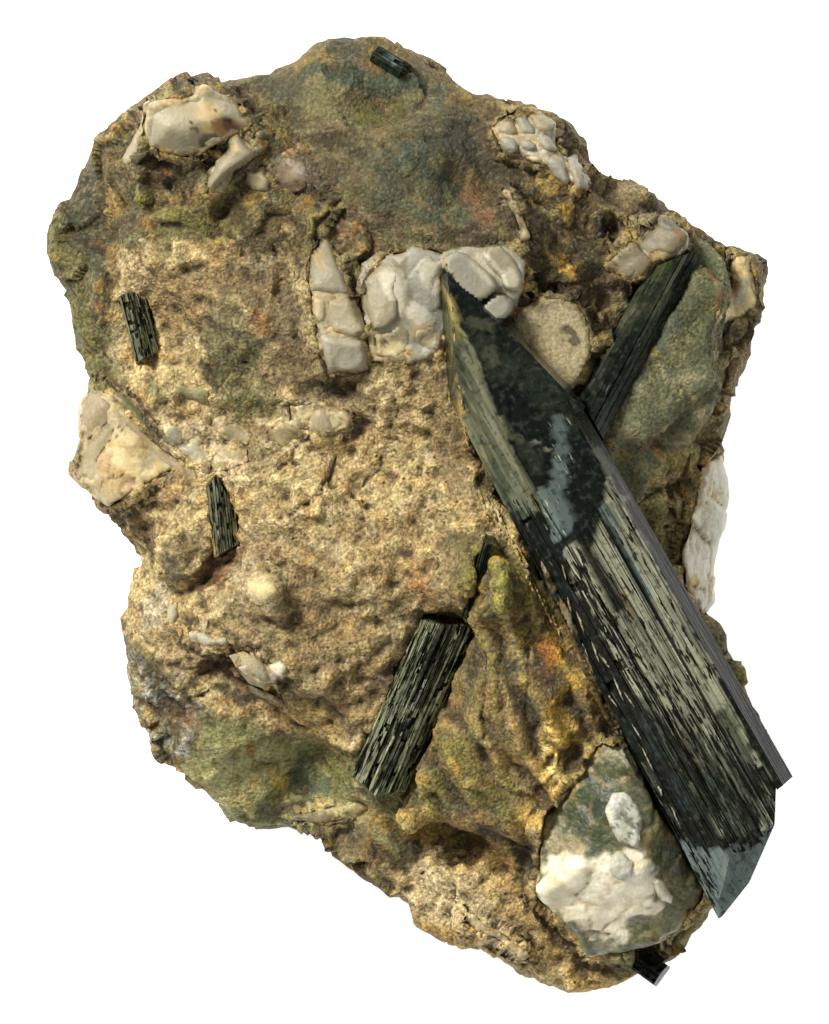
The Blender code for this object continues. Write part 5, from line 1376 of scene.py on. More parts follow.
BLOCKS = {
    "knob_blocks": dict(clean=0.7, strokes=[
        ("gold", 1.4, 0.45, -20.6, 40.2, -19.8, 38.2), ("rust", 1.1, 0.65, -19.4, 38.6, -17.2, 38.4),
        ("dark_rust", 0.5, 0.7, -18.8, 38.9, -17.8, 38.5),
        # The dark brown stroke between knob and shard is a painted shadow
        ("dark_brown", 1.0, 0.85, -20.6, 37.2, -19.4, 36.6),
        ("ochre", 0.6, 0.7, -25.4, 36.4, -24.6, 36.3), ("black", 0.16, 1.0, -22.2, 39.1),
        ("dark_rust", 0.3, 0.8, -22, 38.5, -21.7, 38.3), ("dark_brown", 0.22, 1.0, -19.9, 40.3),
        ("dark_brown", 0.24, 1.0, -18.9, 39.4, -18.5, 39.3), ("black", 0.16, 1.0, -20.1, 39.1),
        ("black", 0.2, 1.0, -23.4, 36.5), ("black", 0.16, 1.0, -22.2, 36.5),
        ("ochre", 0.4, 0.7, -18.2, 36.4, -17.4, 36.4), ("dark_brown", 0.2, 0.9, -19.2, 33.2),
    ], blocks=[
        ("milk", 1.2, 2.6, -26.7, 40.3, -25.1, 41.2, -23.4, 41.6, -22, 41.7, -21.9, 42.7, -21.2, 42.8,
         -19.9, 41.8, -18.5, 41.9, -17.3, 40.6, -16.5, 39.3, -16.2, 38.4, -17.3, 37.8, -18.4, 38, -19, 37,
         -20.6, 36.9, -22, 36.2, -24.2, 36.1, -25.6, 36.2, -26.4, 35.9, -26.7, 37, -26.9, 38.9),
        ("milk", 0.7, 0.5, -27.1, 40.1, -27.6, 38.4, -28.7, 36.7, -29.4, 35.5, -29.1, 34.9, -28.4, 35,
         -28.1, 35.9, -27.4, 36.5, -27.1, 38.3),
        ("milk", 1.3, 0.6, -18.7, 36.5, -18.4, 37.6, -17.7, 38.1, -16.7, 37, -15.6, 35.9, -16.5, 35.1,
         -18.4, 33.9, -19.2, 33.1, -20.3, 32, -20.7, 32.6, -21.1, 32.5, -20.3, 34.2, -19.8, 35.3),
        ("steel", 0.5, 0.4, -16.5, 36.7, -15.6, 37.2, -14.5, 36.8, -15.1, 35.9, -15.9, 35.8),
        ("bone", 0.6, 0.5, -16.7, 34.2, -15.1, 34.8, -14.4, 33.4, -14.5, 32, -16.2, 32.3, -17, 33.1),
        ("mauve", 0.3, 1.2, -14.5, 35.5, -12.7, 36.3, -11.1, 35.5, -10.3, 33.9, -10.9, 32.7, -12.5, 31.9,
         -14.1, 32.5),
        ("slate", 0.35, 0.4, -16.2, 38.1, -15.3, 38.6, -14, 38.1, -14.3, 37.4, -15.7, 37.5),
    ]),
    "column_blocks": dict(clean=0.8, tone=0.82, strokes=[
        ("ochre", 0.5, 0.5, -9.8, 26.6, -9.2, 24.6), ("brown", 0.35, 0.6, -7.2, 26.4, -6.8, 23),
        ("bone", 0.9, 0.5, -7.6, 20.6, -5.6, 18.6), ("ochre", 0.3, 0.6, -9.9, 21.8, -10.2, 19.4),
    ], blocks=[
        ("milk", 0.5, 0.5, -10.4, 25.8, -9.5, 27.2, -8.8, 27.9, -8.1, 26.9, -7.6, 25, -6.6, 23.1, -6,
         21.7, -8.3, 21.9, -10.4, 22.2, -10.6, 23.9),
        ("cream", 0.4, 0.35, -10.4, 21.8, -8.9, 21.6, -8.8, 19.5, -10, 18.8, -10.3, 20.3),
        ("bone", 0.45, 0.4, -8.7, 21.5, -6, 21.5, -5.3, 19.9, -4.7, 18.1, -6.1, 17.6, -8.3, 18.1, -8.7,
         19.5),
        ("white", 0.8, 0.8, -9.9, 18.4, -8.5, 18.2, -7, 17.8, -5, 17.4, -4.5, 15.9, -4.6, 14.5, -5.8,
         13.9, -7, 13.8, -8.9, 14.2, -9.3, 16.1),
    ]),
    "mass_blocks": dict(clean=0.8, tone=0.88, strokes=[
        # The snow strokes on the pieces' middles are painted highlights
        ("snow", 1.1, 0.4, -2.7, 23.6, -2, 22.2), ("snow", 1.1, 0.4, 1.2, 24.4, 1.8, 23),
        ("snow", 1.1, 0.35, -0.9, 20.6, 0.9, 19.6), ("snow", 1.2, 0.4, 6.4, 25.2, 8, 23.6),
        ("snow", 0.9, 0.4, 9.3, 23.8, 9.8, 22.4),
        ("brown", 0.28, 0.6, -1.2, 25.6, -0.5, 22.2, -1.5, 18.4),
        ("ochre", 0.28, 0.5, 2.7, 25.4, 2.4, 22.6, 3.2, 20.4),
        ("bone", 0.7, 0.5, -4.8, 21.6, -3.4, 20.4, -3.8, 18),
        ("olive", 0.6, 0.35, -1.4, 19.2, -0.6, 18.4), ("ochre", 0.5, 0.5, -0.2, 18.2, 1.6, 19),
        ("sand", 1.4, 0.7, -4, 16.6, -1.4, 16), ("brown", 0.24, 0.9, -2.2, 25.2, -1.4, 24.8),
        ("ochre", 0.3, 0.6, 3.4, 23.4, 4.4, 22.6),
    ], blocks=[
        ("chalk", 0.45, 0.3, -5.3, 25.1, -3.5, 26.3, -1.7, 25.9, -0.3, 26.9, 1.3, 26.5, 2.5, 25.9, 3.7,
         26.6, 5.3, 26.8, 6.9, 26.7, 8.7, 27, 10.1, 26.3, 11.2, 25.1, 10.9, 22.5, 9.7, 19.9, 8.5, 18.9,
         6.5, 19.9, 3.3, 18.5, 2.5, 16.3, 1, 15.3, -1, 14.7, -3, 15.1, -4.4, 15.3, -4.7, 17.5, -5.1, 20.5,
         -5.9, 22.5),
        ("milk", 0.5, 0.25, -5.1, 23.3, -4.1, 24.5, -3.1, 25.4, -2.1, 25.4, -1.3, 24.9, -1.5, 23.7, -2.1,
         22.5, -1.6, 21.2, -1.6, 19.5, -2.7, 18.5, -4.1, 18.3, -4.9, 20.3),
        ("chalk", 0.6, 0.3, -0.3, 24.7, 0.5, 25.7, 1.4, 26.1, 2.2, 25.4, 3.6, 26.4, 3.9, 24.5, 2.9, 23.4,
         2.9, 20.6, 1.9, 19.5, 0, 18.9, -1.1, 20.3, -2, 21.9, -1.4, 23.2),
        ("bone", 0.45, 0.3, -4.1, 18.1, -2.7, 18.3, -1.6, 19.1, -0.5, 18.5, -0.3, 17.1, -0.9, 15.9, -2.5,
         15.5, -4, 15.8),
        ("bone", 0.5, 0.3, 0, 18.5, 1.5, 19, 2.8, 19.7, 2.9, 16.9, 1.9, 16.1, 0.6, 16.6, -0.3, 17.5),
        ("chalk", (37.8, -0.50, -0.40), 0.35, 2.5, 24.9, 3.2, 25.9, 4.1, 26.4, 5.3, 26, 6.5, 25, 7.8,
         23.9, 8.3, 22.5, 7.5, 21.5, 6.3, 20.9, 4.3, 22.3),
        ("milk", (36.4, -0.50, -0.40), 0.5, 6.5, 25.8, 7.2, 26.9, 8.6, 27, 9.7, 26.1, 10.6, 24.7, 11.1,
         23.1, 10.3, 21.9, 8.8, 22.2, 8.3, 23.5, 7, 24.8),
        ("chalk", (37.3, -0.50, -0.40), 0.35, 6.7, 21.2, 7.9, 22.1, 8.8, 22.1, 10, 21.4, 9.8, 20.2, 9,
         19.3, 7.9, 18.9, 6.5, 20.1),
    ]),
    "rhomb_block": dict(look="tan_feldspar", clean=0.0, strokes=[
        ("dark_brown", 0.55, 0.8, 14.9, 18.5, 15.7, 18.1, 15.9, 17.4),
        ("dark_brown", 0.3, 0.7, 12.4, 18.9), ("dim_sand", 0.8, 0.4, 11.6, 17.4, 13.4, 15.4),
        ("slate", 0.4, 0.5, 10.6, 19.6, 11.6, 20.6),
        ("brown", 0.3, 0.6, 12.8, 20.6, 14.2, 21.2, 16.4, 20.4),
    ], blocks=[
        ("buff", 0.5, 0.2, 9.3, 18.5, 9.9, 19.7, 10.6, 20.7, 12.1, 21.4, 13.6, 21.8, 14.8, 21.6, 16, 21,
         17, 19.7, 17.5, 18.3, 17.6, 16.9, 17.5, 15.7, 16.7, 14.1, 15.8, 12.5, 15.1, 11.7, 13.7, 12.9,
         12.5, 14.3, 10.7, 16.5, 9.3, 17.5),
    ]),
    "wedge_block": dict(look="green_face", clean=0.0, swell=0.5, strokes=[
        ("pale_green", 0.7, 0.7, 26.4, 24.4, 24.6, 20.6, 22, 15.2, 20.2, 10.8),
        ("moss", 1.8, 0.6, 28.6, 24.4, 28.4, 20, 27.2, 15.6), ("moss", 1.6, 0.5, 24.4, 13.4, 23, 9.4),
        ("pale_green", 1.0, 0.5, 25.6, 17.4, 26.8, 14.2), ("pale_green", 0.9, 0.6, 22, 8.6, 22.6, 4.4),
        ("dark_rust", 0.7, 0.9, 23.4, 7.4, 24.4, 6.6), ("gold", 0.5, 0.7, 24.2, 6.4, 24.8, 5.6),
        ("rust", 0.6, 0.6, 30.6, 22, 30.2, 20), ("dark_slate", 0.8, 0.5, 26.4, 21.6, 26, 18.4),
        ("dark_brown", 0.9, 0.7, 30, 19.6, 29.6, 16.4), ("teal", 1.6, 0.6, 25, 19.6, 22.6, 14.6),
        ("pale_green", 0.35, 0.8, 23.4, 16.4, 26, 12.4, 27, 10),
        ("dark_olive", 1.2, 0.6, 26.6, 11.4, 25, 8.4),
    ], blocks=[
        ("sage", 0.35, 0.5, 25.7, 26, 26.9, 27.5, 27.9, 27.9, 29.3, 27.1, 30.9, 25.3, 31.6, 22.5, 30.7,
         18.5, 30.1, 15.3, 30.7, 13.1, 29.7, 10.3, 28.5, 8.5, 27.5, 7, 25.7, 6.3, 24, 4.5, 22.7, 1.5,
         21.3, 0.7, 20.1, 2.3, 19.1, 5.1, 18.5, 7.5, 18.9, 11, 20.3, 14.5, 21.7, 18, 23, 21, 24.2, 23.5),
    ]),
    "gold_splinters": dict(look="tan_feldspar", clean=0.3, over_crystals=True, slivers=[
        ("gold", 0.35, 0.4, 6.2, 2.9, 7.1, 0.3), ("cream", 0.4, 0.35, 6.9, 2.1, 8.3, -0.9),
        ("gold", 0.4, 0.35, 6.6, 0.9, 8, -1.5), ("cream", 0.35, 0.3, 7.9, 0.9, 9.3, -1.9),
        ("gold", 0.4, 0.4, 8, -0.7, 9.7, -3.3), ("ochre", 0.4, 0.35, 8.9, -1.5, 10.7, -4.1),
        ("gold", 0.45, 0.4, 9.7, -2.9, 11.1, -5.7), ("brown", 0.4, 0.4, 10.5, -3.7, 11.7, -6.9),
        ("gold", 0.4, 0.35, 10.7, -5.1, 12.2, -8.5), ("ochre", 0.4, 0.3, 11.7, -6.5, 13.1, -9.7),
        ("gold", 0.35, 0.25, 12.6, -8.1, 13.8, -11.1), ("ochre", 0.3, 0.25, 13.3, -9.1, 14.7, -12.5),
        ("gold", 0.3, 0.25, 3.8, 18.5, 4.1, 16.3), ("ochre", 0.3, 0.25, 3.5, 21.5, 3.9, 18.9),
        ("gold", 0.3, 0.2, 4.3, 13.5, 4.8, 10.3), ("gold", 0.3, 0.22, 4.8, 9.5, 5.3, 6.3),
        ("cream", 0.3, 0.2, 5.5, 5.3, 6.1, 3.1),
    ]),
    # Its silver and pearl slivers are painted glints
    "side_needles": dict(look="dark_splinters", clean=0.6, over_crystals=True, slivers=[
        ("jet", 0.5, 0.9, 14.1, -7.5, 17.1, -15.3), ("jet", 0.5, 0.8, 15.1, -10.5, 18.5, -18.5),
        ("jet", 0.5, 0.8, 16.9, -14.7, 19.7, -21.5), ("jet", 0.5, 0.9, 18.1, -17.5, 21.3, -24.1),
        ("jet", 0.5, 0.8, 19.7, -20.9, 22.9, -27.5), ("jet", 0.5, 0.7, 15.9, -13.3, 18.1, -17.5),
        ("jet", 0.5, 0.7, 12.5, -4.5, 14.5, -9.5), ("pearl", 0.2, 0.2, 16, -9.5, 16.8, -11.7),
        ("silver", 0.2, 0.16, 17.5, -12.5, 18.3, -14.7), ("silver", 0.25, 0.2, 18.5, -14, 19.7, -15.7),
        ("pearl", 0.2, 0.2, 19.7, -16.1, 20.7, -18.5), ("silver", 0.2, 0.16, 20.7, -17.5, 21.8, -19.1),
        ("silver", 0.2, 0.15, 16.5, -12.5, 17.2, -14.2), ("silver", 0.2, 0.16, 18.9, -17.5, 20.1, -19.1),
        ("pearl", 0.25, 0.2, 15.1, -8.1, 15.5, -9.7), ("silver", 0.2, 0.16, 22.5, -23, 23.7, -25.5),
        ("silver", 0.2, 0.16, 23.7, -26.1, 24.9, -28.7), ("silver", 0.2, 0.15, 21.5, -20.7, 22.5, -22.3),
        ("silver", 0.2, 0.15, 25.3, -28.5, 26.5, -31.3), ("pearl", 0.2, 0.16, 18.3, -10.3, 19.3, -12.5),
        ("silver", 0.2, 0.15, 14.5, -4.5, 15, -6.5),
    ]),
    "rim_blocks": dict(clean=0.6, tone=0.85, strokes=[
        ("slate", 0.8, 0.85, 14.4, 38.2, 15.4, 37), ("rust", 0.35, 0.6, 13.2, 40, 14.6, 39.6),
        ("ochre", 0.3, 0.7, 10.2, 38.6, 10.6, 37.9),
    ], blocks=[
        ("chalk", 0.4, 0.35, 9.8, 39.7, 10.9, 40.1, 11.6, 39, 12.2, 38.2, 11.8, 37.8, 10.6, 38, 10.4,
         38.6),
        ("bone", 0.4, 0.35, 11.4, 39.8, 12.2, 40.1, 13, 40, 14.1, 39.1, 13.7, 38, 13, 38.2, 12.2, 38.3,
         11.8, 38.9),
        ("bone", 0.4, 0.35, 8, 38.6, 9.1, 39.3, 9.7, 39.3, 10.4, 38.1, 9.7, 37.8, 8.5, 37.8),
        ("chalk", 0.6, 0.35, 8.3, 37.6, 9.2, 37.8, 10, 37.6, 10.3, 36.9, 10.4, 35.9, 9.9, 36, 8.7, 36.2,
         8.4, 36.8),
        ("chalk", 0.7, 0.35, 10.5, 37.4, 11.3, 37.5, 12, 37.1, 12.3, 36.4, 11.6, 36.1, 10.8, 36.3, 10.4,
         36.7),
        ("chalk", 0.6, 0.35, 12.2, 37.8, 13, 38, 13.6, 37.6, 14.3, 36.3, 13.4, 36.1, 12.7, 36.4, 12.2,
         37.1),
        ("chalk", 0.8, 0.35, 12.9, 35.5, 13.8, 36, 14.7, 35.7, 15.2, 34.7, 15.5, 32.8, 14.7, 32.9, 13.8,
         33.5, 13, 34.9),
        ("chalk", 0.9, 0.35, 15.3, 34.9, 15.2, 35.6, 15.9, 36.1, 16.6, 34.9, 17.2, 33.9, 17.6, 33, 17.2,
         32.4, 16.7, 32.2, 16, 32.4, 15.5, 33.8),
        ("cream", 0.4, 0.35, 10.6, 35.9, 11.8, 35.9, 12.6, 35.8, 12.8, 35, 11.8, 35.1, 10.9, 35.4),
    ]),
    "left_blocks": dict(clean=0.5, tone=0.85, strokes=[
        ("sand", 1.6, 0.9, -29.4, 6.8, -27.6, 5.4, -28.8, 3.8),
        ("brown", 0.45, 0.8, -28.8, 6.6, -28.2, 5.4, -26.6, 4),
        ("dark_brown", 0.3, 0.9, -30.1, 8.3, -29.6, 8), ("black", 0.2, 1.0, -28.5, 8.4),
        ("dark_brown", 0.22, 0.9, -33.1, 4), ("brown", 0.35, 0.7, -32.6, 7.4, -31.4, 8.6, -30, 9.9),
        ("rust", 0.4, 0.5, -31.2, 4, -30.8, 2.2), ("dark_rust", 0.45, 0.9, -16, 8.5, -15, 8.4, -14.5, 8),
        ("dark_rust", 0.35, 0.9, -16.2, 7.2, -15.6, 7), ("dark_rust", 0.2, 0.8, -23.6, 10, -23.2, 9.4),
        ("dark_rust", 0.35, 0.9, -19.3, 5.2, -18.8, 4.6), ("dark_rust", 0.35, 0.8, -12.8, 10.3),
        ("rust", 0.5, 0.4, -14.8, 6.6, -13.4, 7), ("black", 0.25, 0.9, -25.7, 9.8, -25.2, 9.3),
        ("black", 0.22, 0.9, -24.3, 9.5, -24, 9.2),
        ("black", 0.25, 0.8, -27.8, 11.3, -26.6, 9.9, -26, 9.2),
    ], blocks=[
        ("tan", 0.3, 1.6, -31.8, 13.4, -32.9, 11.6, -33.5, 9.9, -33.4, 8.7, -32.7, 7.5, -31.5, 8.5, -30,
         9.9, -29.3, 10.6, -30.3, 12),
        ("ivory", 0.3, 1.6, -32.7, 7.3, -31.4, 8.5, -30, 9.8, -29.6, 8.5, -30.9, 6.8, -31.9, 5.4, -31.3,
         3.7, -31.2, 2.2, -32.2, 2, -34.1, 3.7, -33.6, 5.4),
        ("tan", 0.25, 0.8, -29.8, 11.5, -27.8, 9.4, -26.2, 7.9, -24.5, 6.3, -22.4, 4.8, -21.4, 3.4, -23.4,
         3.5, -25.2, 5.1, -26.9, 6.8, -28.6, 8.5, -29.8, 9.9),
        ("green", 0.35, 0.4, -31.2, 13.4, -29.8, 12.3, -28.3, 11.5, -27.2, 10.1, -25.9, 8.2, -25.2, 7.3,
         -26.2, 7.9, -27.8, 9.4, -29.5, 11.1, -30.7, 12.5),
        ("pearl", 0.4, 0.7, -25.9, 8.9, -24.8, 9.4, -23.4, 8.9, -22.8, 7.5, -23.8, 6.6, -24.9, 7.2),
        ("white", 0.3, 0.9, -23.4, 7.3, -21.7, 7.9, -20.9, 6.8, -20.3, 5.4, -20.7, 4.1, -22.1, 4.8, -23.4,
         5.8, -24.5, 6.5),
        ("ivory", 0.25, 0.8, -20.2, 9.8, -19, 9.9, -17.2, 8.9, -16.4, 7.9, -16.7, 7, -18.3, 7.2, -19.7,
         7.7, -20.3, 8.5),
        ("tan", 0.2, 0.8, -20.4, 7.4, -18.4, 7, -16.8, 6.6, -16.6, 5.4, -18.2, 4.6, -20, 4.4, -20.6, 5.8),
        ("ivory", 0.25, 0.8, -14.3, 9.1, -12.6, 9.8, -11.4, 9.6, -10.7, 8.5, -11.7, 7.5, -13.1, 6.8,
         -14.3, 7.2, -14.7, 8),
        ("ivory", 0.25, 0.8, -10.7, 9.6, -9.7, 11.2, -8.5, 10.3, -7.7, 8.8, -8.3, 7, -9.7, 6.7, -10.7,
         8.1),
    ]),
    "green_chips": dict(
        look="tan_feldspar", clean=0.3,
        strokes=[("olive", 0.5, 0.5, -24, 12.8, -22.6, 12.2)],
        blocks=[
            ("green", 0.5, 0.3, -26.5, 13.4, -25.7, 13.5, -25.2, 11.6, -25.9, 11.5, -26.1, 12.3),
            ("green", 0.5, 0.3, -24.1, 13.2, -22.8, 12.9, -20.3, 12.5, -20.7, 10.8, -22.8, 11.6, -24.1,
             12.2),
        ],
    ),
    "slab_blocks": dict(look="clear_feldspar", clean=0.6, strokes=[
        ("slate", 1.0, 0.6, 24.6, 29.4, 25.6, 29), ("silver", 0.16, 0.9, 24.4, 29.2, 25.2, 28.7),
        ("silver", 0.12, 0.8, 22, 27, 22.9, 26.1), ("rust", 0.6, 0.4, 26.2, 28, 26.9, 27.6),
        ("dark_brown", 0.2, 0.9, 20.4, 25.7), ("brown", 0.3, 0.7, 22.4, 24.4, 22.8, 24.9),
    ], blocks=[
        ("slab_grey", 0.4, 0.2, 24.4, 29.9, 25.3, 29.8, 27, 28.2, 27, 27.6, 26, 25.9, 25.3, 25.9, 24.3,
         26.3, 23.2, 25.9, 22.1, 27, 22.9, 27.6, 23.5, 28.2, 24.3, 29),
        ("slab_grey", 0.3, 0.2, 21.8, 27.3, 22.9, 26.2, 23.8, 25.3, 23.2, 24.2, 22.4, 23.2, 21.2, 23.2,
         19.9, 23.7, 18.7, 24.9, 19.9, 26, 21, 26.9),
    ]),
    "corner_blocks": dict(clean=0.3, strokes=[
        ("rust", 0.7, 0.7, 31.9, 23, 31.7, 22.2), ("rust", 0.9, 0.7, 30.4, 20.9, 30, 20.2),
        ("ochre", 0.6, 0.7, 32.2, 25.6, 32, 24.4), ("brown", 0.5, 0.8, 33.4, 26, 33.6, 24.8),
    ], blocks=[
        ("sand", 0.4, 0.7, 31.6, 25.9, 32.8, 26.3, 33.5, 26.1, 33.2, 24.7, 33.8, 24, 33.8, 22.8, 34.5,
         21.5, 34.2, 20.6, 32.6, 19.6, 31.1, 19.2, 30.2, 18.6, 29.3, 19.5, 29.7, 20.7, 30.9, 21.3, 31,
         22.3, 31.8, 23, 31.5, 24.2, 31.6, 25.2),
        ("white", 0.6, 0.5, 31.9, 23.5, 33.4, 24, 33.5, 22.5, 33.2, 20.8, 31.5, 20.3, 31.3, 21.3),
    ]),
    # The bright blocks and snow marks on the cleavage faces are painted reflection and glints
    "cleavage_faces": dict(look="green_cleavage", clean=0.7, strokes=[
        ("steel", 0.14, 0.9, 20.2, -33, 22.4, -30.6), ("steel", 0.12, 0.9, 19.6, -31.2, 21.8, -28.6),
        ("black", 0.12, 0.9, 19.6, -33.6, 20.8, -32.6, 21.8, -33.4),
        ("slate", 0.35, 0.7, 20.6, -29.6, 21.6, -30.8), ("slate", 0.4, 0.6, 20.8, -28.4, 20.2, -29.8),
        ("snow", 0.3, 0.9, 19.2, -29.4, 19.6, -30.4),
    ], blocks=[
        ("bright", 0.5, 0.3, 19.5, -27.4, 21.1, -27.5, 22.3, -29.1, 22.7, -30.1, 22.5, -31.7, 22.3, -33.3,
         21.2, -33, 20.2, -32.6, 19.2, -30.7, 18.7, -29.4),
        ("bright", 0.4, 0.3, 19.5, -33.6, 20.4, -33.2, 21.9, -34.5, 21.7, -36, 20.4, -36.4, 19.2, -35.6,
         19.3, -34.5),
        ("snow", 0.5, 0.25, 23.6, -36.1, 24.6, -36.3, 25.2, -37.2, 25.7, -38, 25.5, -38.7, 24.6, -38.4,
         23.9, -37.4),
    ]),
    "sand_flakes": dict(
        look="tan_feldspar", clean=0.5,
        strokes=[("silver", 0.5, 0.5, -15.6, -16)],
        blocks=[
            ("bone", 0.4, 0.3, -18.6, -14, -17, -13.6, -15.2, -14.4, -14.4, -16, -15, -17.4, -16.6, -16.8,
             -17.6, -15.6),
            ("snow", 0.7, 0.25, -14.6, -15, -13.4, -14.4, -12.6, -15.2, -13.2, -16.4, -14.2, -16),
            ("white", 0.4, 0.4, -24.8, -8.8, -23.8, -8.6, -23.6, -10, -24.2, -11.4, -24.9, -10.4),
            ("white", 0.4, 0.4, -22.4, -11.6, -21, -11.4, -20.2, -12.2, -18.6, -12.2, -18.8, -13, -20.8,
             -13.2, -22, -12.6),
            ("sand", 0.6, 0.8, -16.6, -6.4, -15, -5.6, -13.6, -6.2, -13, -7.8, -14.4, -9, -16.2, -8.8,
             -17.2, -7.6),
            ("bone", 0.5, 0.4, -16.8, -16.9, -15.6, -17.4, -13.4, -18.4, -12.8, -19.4, -14.6, -18.8,
             -16.4, -17.8),
        ],
    ),
}
# Sizes of the blocks: spacing of the cuts over their tops, spacing and stray of the points
# along their rims, and how deep they reach below the surface
BLOCK_STEP = 0.3
RIM_STEP = 0.45
RIM_STRAY = 0.10
BLOCK_DEPTH = 1.6
RIM_DEPTH = 0.22


def ragged_ring(points, chance):
    """A closed outline with more points along it, each a little out of line."""
    ring = []
    for (ax, ay), (bx, by) in zip(points, points[1:] + points[:1]):
        count = max(int(math.hypot(bx - ax, by - ay) / RIM_STEP), 1)
        for index in range(count):
            share = index / count
            stray = RIM_STRAY if index else 0.0
            ring.append((
                ax + (bx - ax) * share + chance.uniform(-stray, stray),
                ay + (by - ay) * share + chance.uniform(-stray, stray),
            ))
    return ring


def surface_height(tree, x, y, reach=0.8):
    """Height of the surface around a place in the plan: the mean of the highest hits."""
    heights = []
    for dx, dy in ((0, 0), (1, 0), (0.5, 0.87), (-0.5, 0.87), (-1, 0), (-0.5, -0.87), (0.5, -0.87)):
        hit = tree.ray_cast((x + dx * reach, y + dy * reach, ABOVE), DOWNWARDS)[0]
        if hit is not None:
            heights.append(hit.z)
    heights.sort(reverse=True)
    return sum(heights[:5]) / len(heights[:5]) if heights else None


def sliver(colour, rise, width, *ends):
    """A long pointed splinter between its ends, as a block."""
    start = np.array(ends[:2], float)
    end = np.array(ends[2:], float)
    side = (end - start)[::-1] * (-1.0, 1.0) / np.linalg.norm(end - start) * width / 2.0
    near = start + (end - start) * 0.3
    far = start + (end - start) * 0.7
    ring = [start, near - side, far - side, end, far + side, near + side]
    return colour, rise, width * 0.4, *np.ravel(ring).tolist()


def block_body(ring):
    """A closed slab over the ring, from 0 to 1, whose top is cut into small faces."""
    solid = bmesh.new()
    low = [solid.verts.new((x, y, 0.0)) for x, y in ring]
    high = [solid.verts.new((x, y, 1.0)) for x, y in ring]
    top = solid.faces.new(high)
    solid.faces.new(low[::-1])
    for index in range(len(ring)):
        after = (index + 1) % len(ring)
        solid.faces.new((low[index], low[after], high[after], high[index]))
    bmesh.ops.recalc_face_normals(solid, faces=solid.faces[:])
    geometry = [top] + list(top.edges) + list(top.verts)
    for axis, normal in ((0, (1.0, 0.0, 0.0)), (1, (0.0, 1.0, 0.0))):
        values = [place[axis] for place in ring]
        for value in np.arange(min(values) + 0.5 * BLOCK_STEP, max(values), BLOCK_STEP):
            place = Vector(normal) * float(value)
            cut = bmesh.ops.bisect_plane(solid, geom=geometry, dist=1e-4, plane_co=place, plane_no=normal)
            geometry = cut["geom"]
    return solid


def add_block(joined, tree, block, chance):
    """One block: a slab over the surface below it, with a rounded or sharp-edged top."""
    colour, rise, rounding, *outline = block
    points = paired(outline)
    ring = ragged_ring(points, chance)
    middle = np.mean(points, axis=0)
    level = None
    slopes = (chance.uniform(-0.12, 0.12), chance.uniform(-0.12, 0.12))
    if isinstance(rise, tuple):
        level, *slopes = rise
    solid = block_body(ring)
    edge = solid.verts.layers.float.new("edge")
    tint = solid.verts.layers.float.new("tint")
    stain = solid.verts.layers.float_vector.new("stain")
    places = np.array([vert.co[:] for vert in solid.verts])
    away = line_distance(places[:, 0], places[:, 1], points + points[:1])
    shade = chance.uniform(0.86, 1.1)
    base = surface_height(tree, middle[0], middle[1], 1.6)
    for vert, distance in zip(solid.verts, away.tolist()):
        height = surface_height(tree, vert.co.x, vert.co.y)
        height = base if height is None else max(height, base - 2.5)
        if vert.co.z > 0.5:
            dome = float(smooth_step(0.0, rounding, distance))
            tilt = (vert.co.x - middle[0]) * slopes[0], (vert.co.y - middle[1]) * slopes[1]
            if level is None:
                lift = rise + tilt[0] + tilt[1]
            else:
                lift = level + tilt[0] + tilt[1] - height
            vert.co.z = height + lift * dome - RIM_DEPTH * (1.0 - dome)
        else:
            vert.co.z = height - BLOCK_DEPTH
        vert[edge] = distance
        vert[tint] = shade
        vert[stain] = PALETTE[colour]
    bmesh.ops.triangulate(solid, faces=[face for face in solid.faces if len(face.verts) > 4])
    made = as_mesh(solid, "block")
    joined.from_mesh(made)
    bpy.data.meshes.remove(made)


def finely_stroked(places, colours, strokes):
    """The colours with strokes over them that are less ragged than painted ones."""
    x = places[:, 0] + noise_field(places, 0.8, 3) * 0.25
    y = places[:, 1] + noise_field(places, 0.8, 4) * 0.25
    return stroked(colours, x, y, noise_field(places, 0.6, 17) * 0.5, strokes)


def block_mesh(name, form, tree, chance):
    """All blocks and slivers of a piece in one mesh."""
    joined = bmesh.new()
    for layer in ("edge", "tint"):
        joined.verts.layers.float.new(layer)
    joined.verts.layers.float_vector.new("stain")
    for block in form.get("blocks", []) + [sliver(*entry) for entry in form.get("slivers", [])]:
        add_block(joined, tree, block, chance)
    return as_mesh(joined, name)


def block_colours(mesh, places, form, seed):
    edge = values_of(mesh, "edge")
    colours = stains_of(mesh) * values_of(mesh, "tint")[:, None]
    worn = smooth_step(-0.3, 0.4, noise_field(places, 1.1, seed + 2))
    colours = mixed(colours, "ochre", smooth_step(0.4, 0.05, edge) * worn * 0.45)
    colours = mixed(colours, "bone", smooth_step(0.05, 0.6, noise_field(places, 1.7, seed + 3)) * 0.6)
    colours = finely_stroked(places, colours, form.get("strokes", []))
    return colours * (form.get("tone", 1.0) * (1.0 + noise_field(places, 0.8, seed + 4)[:, None] * 0.10))


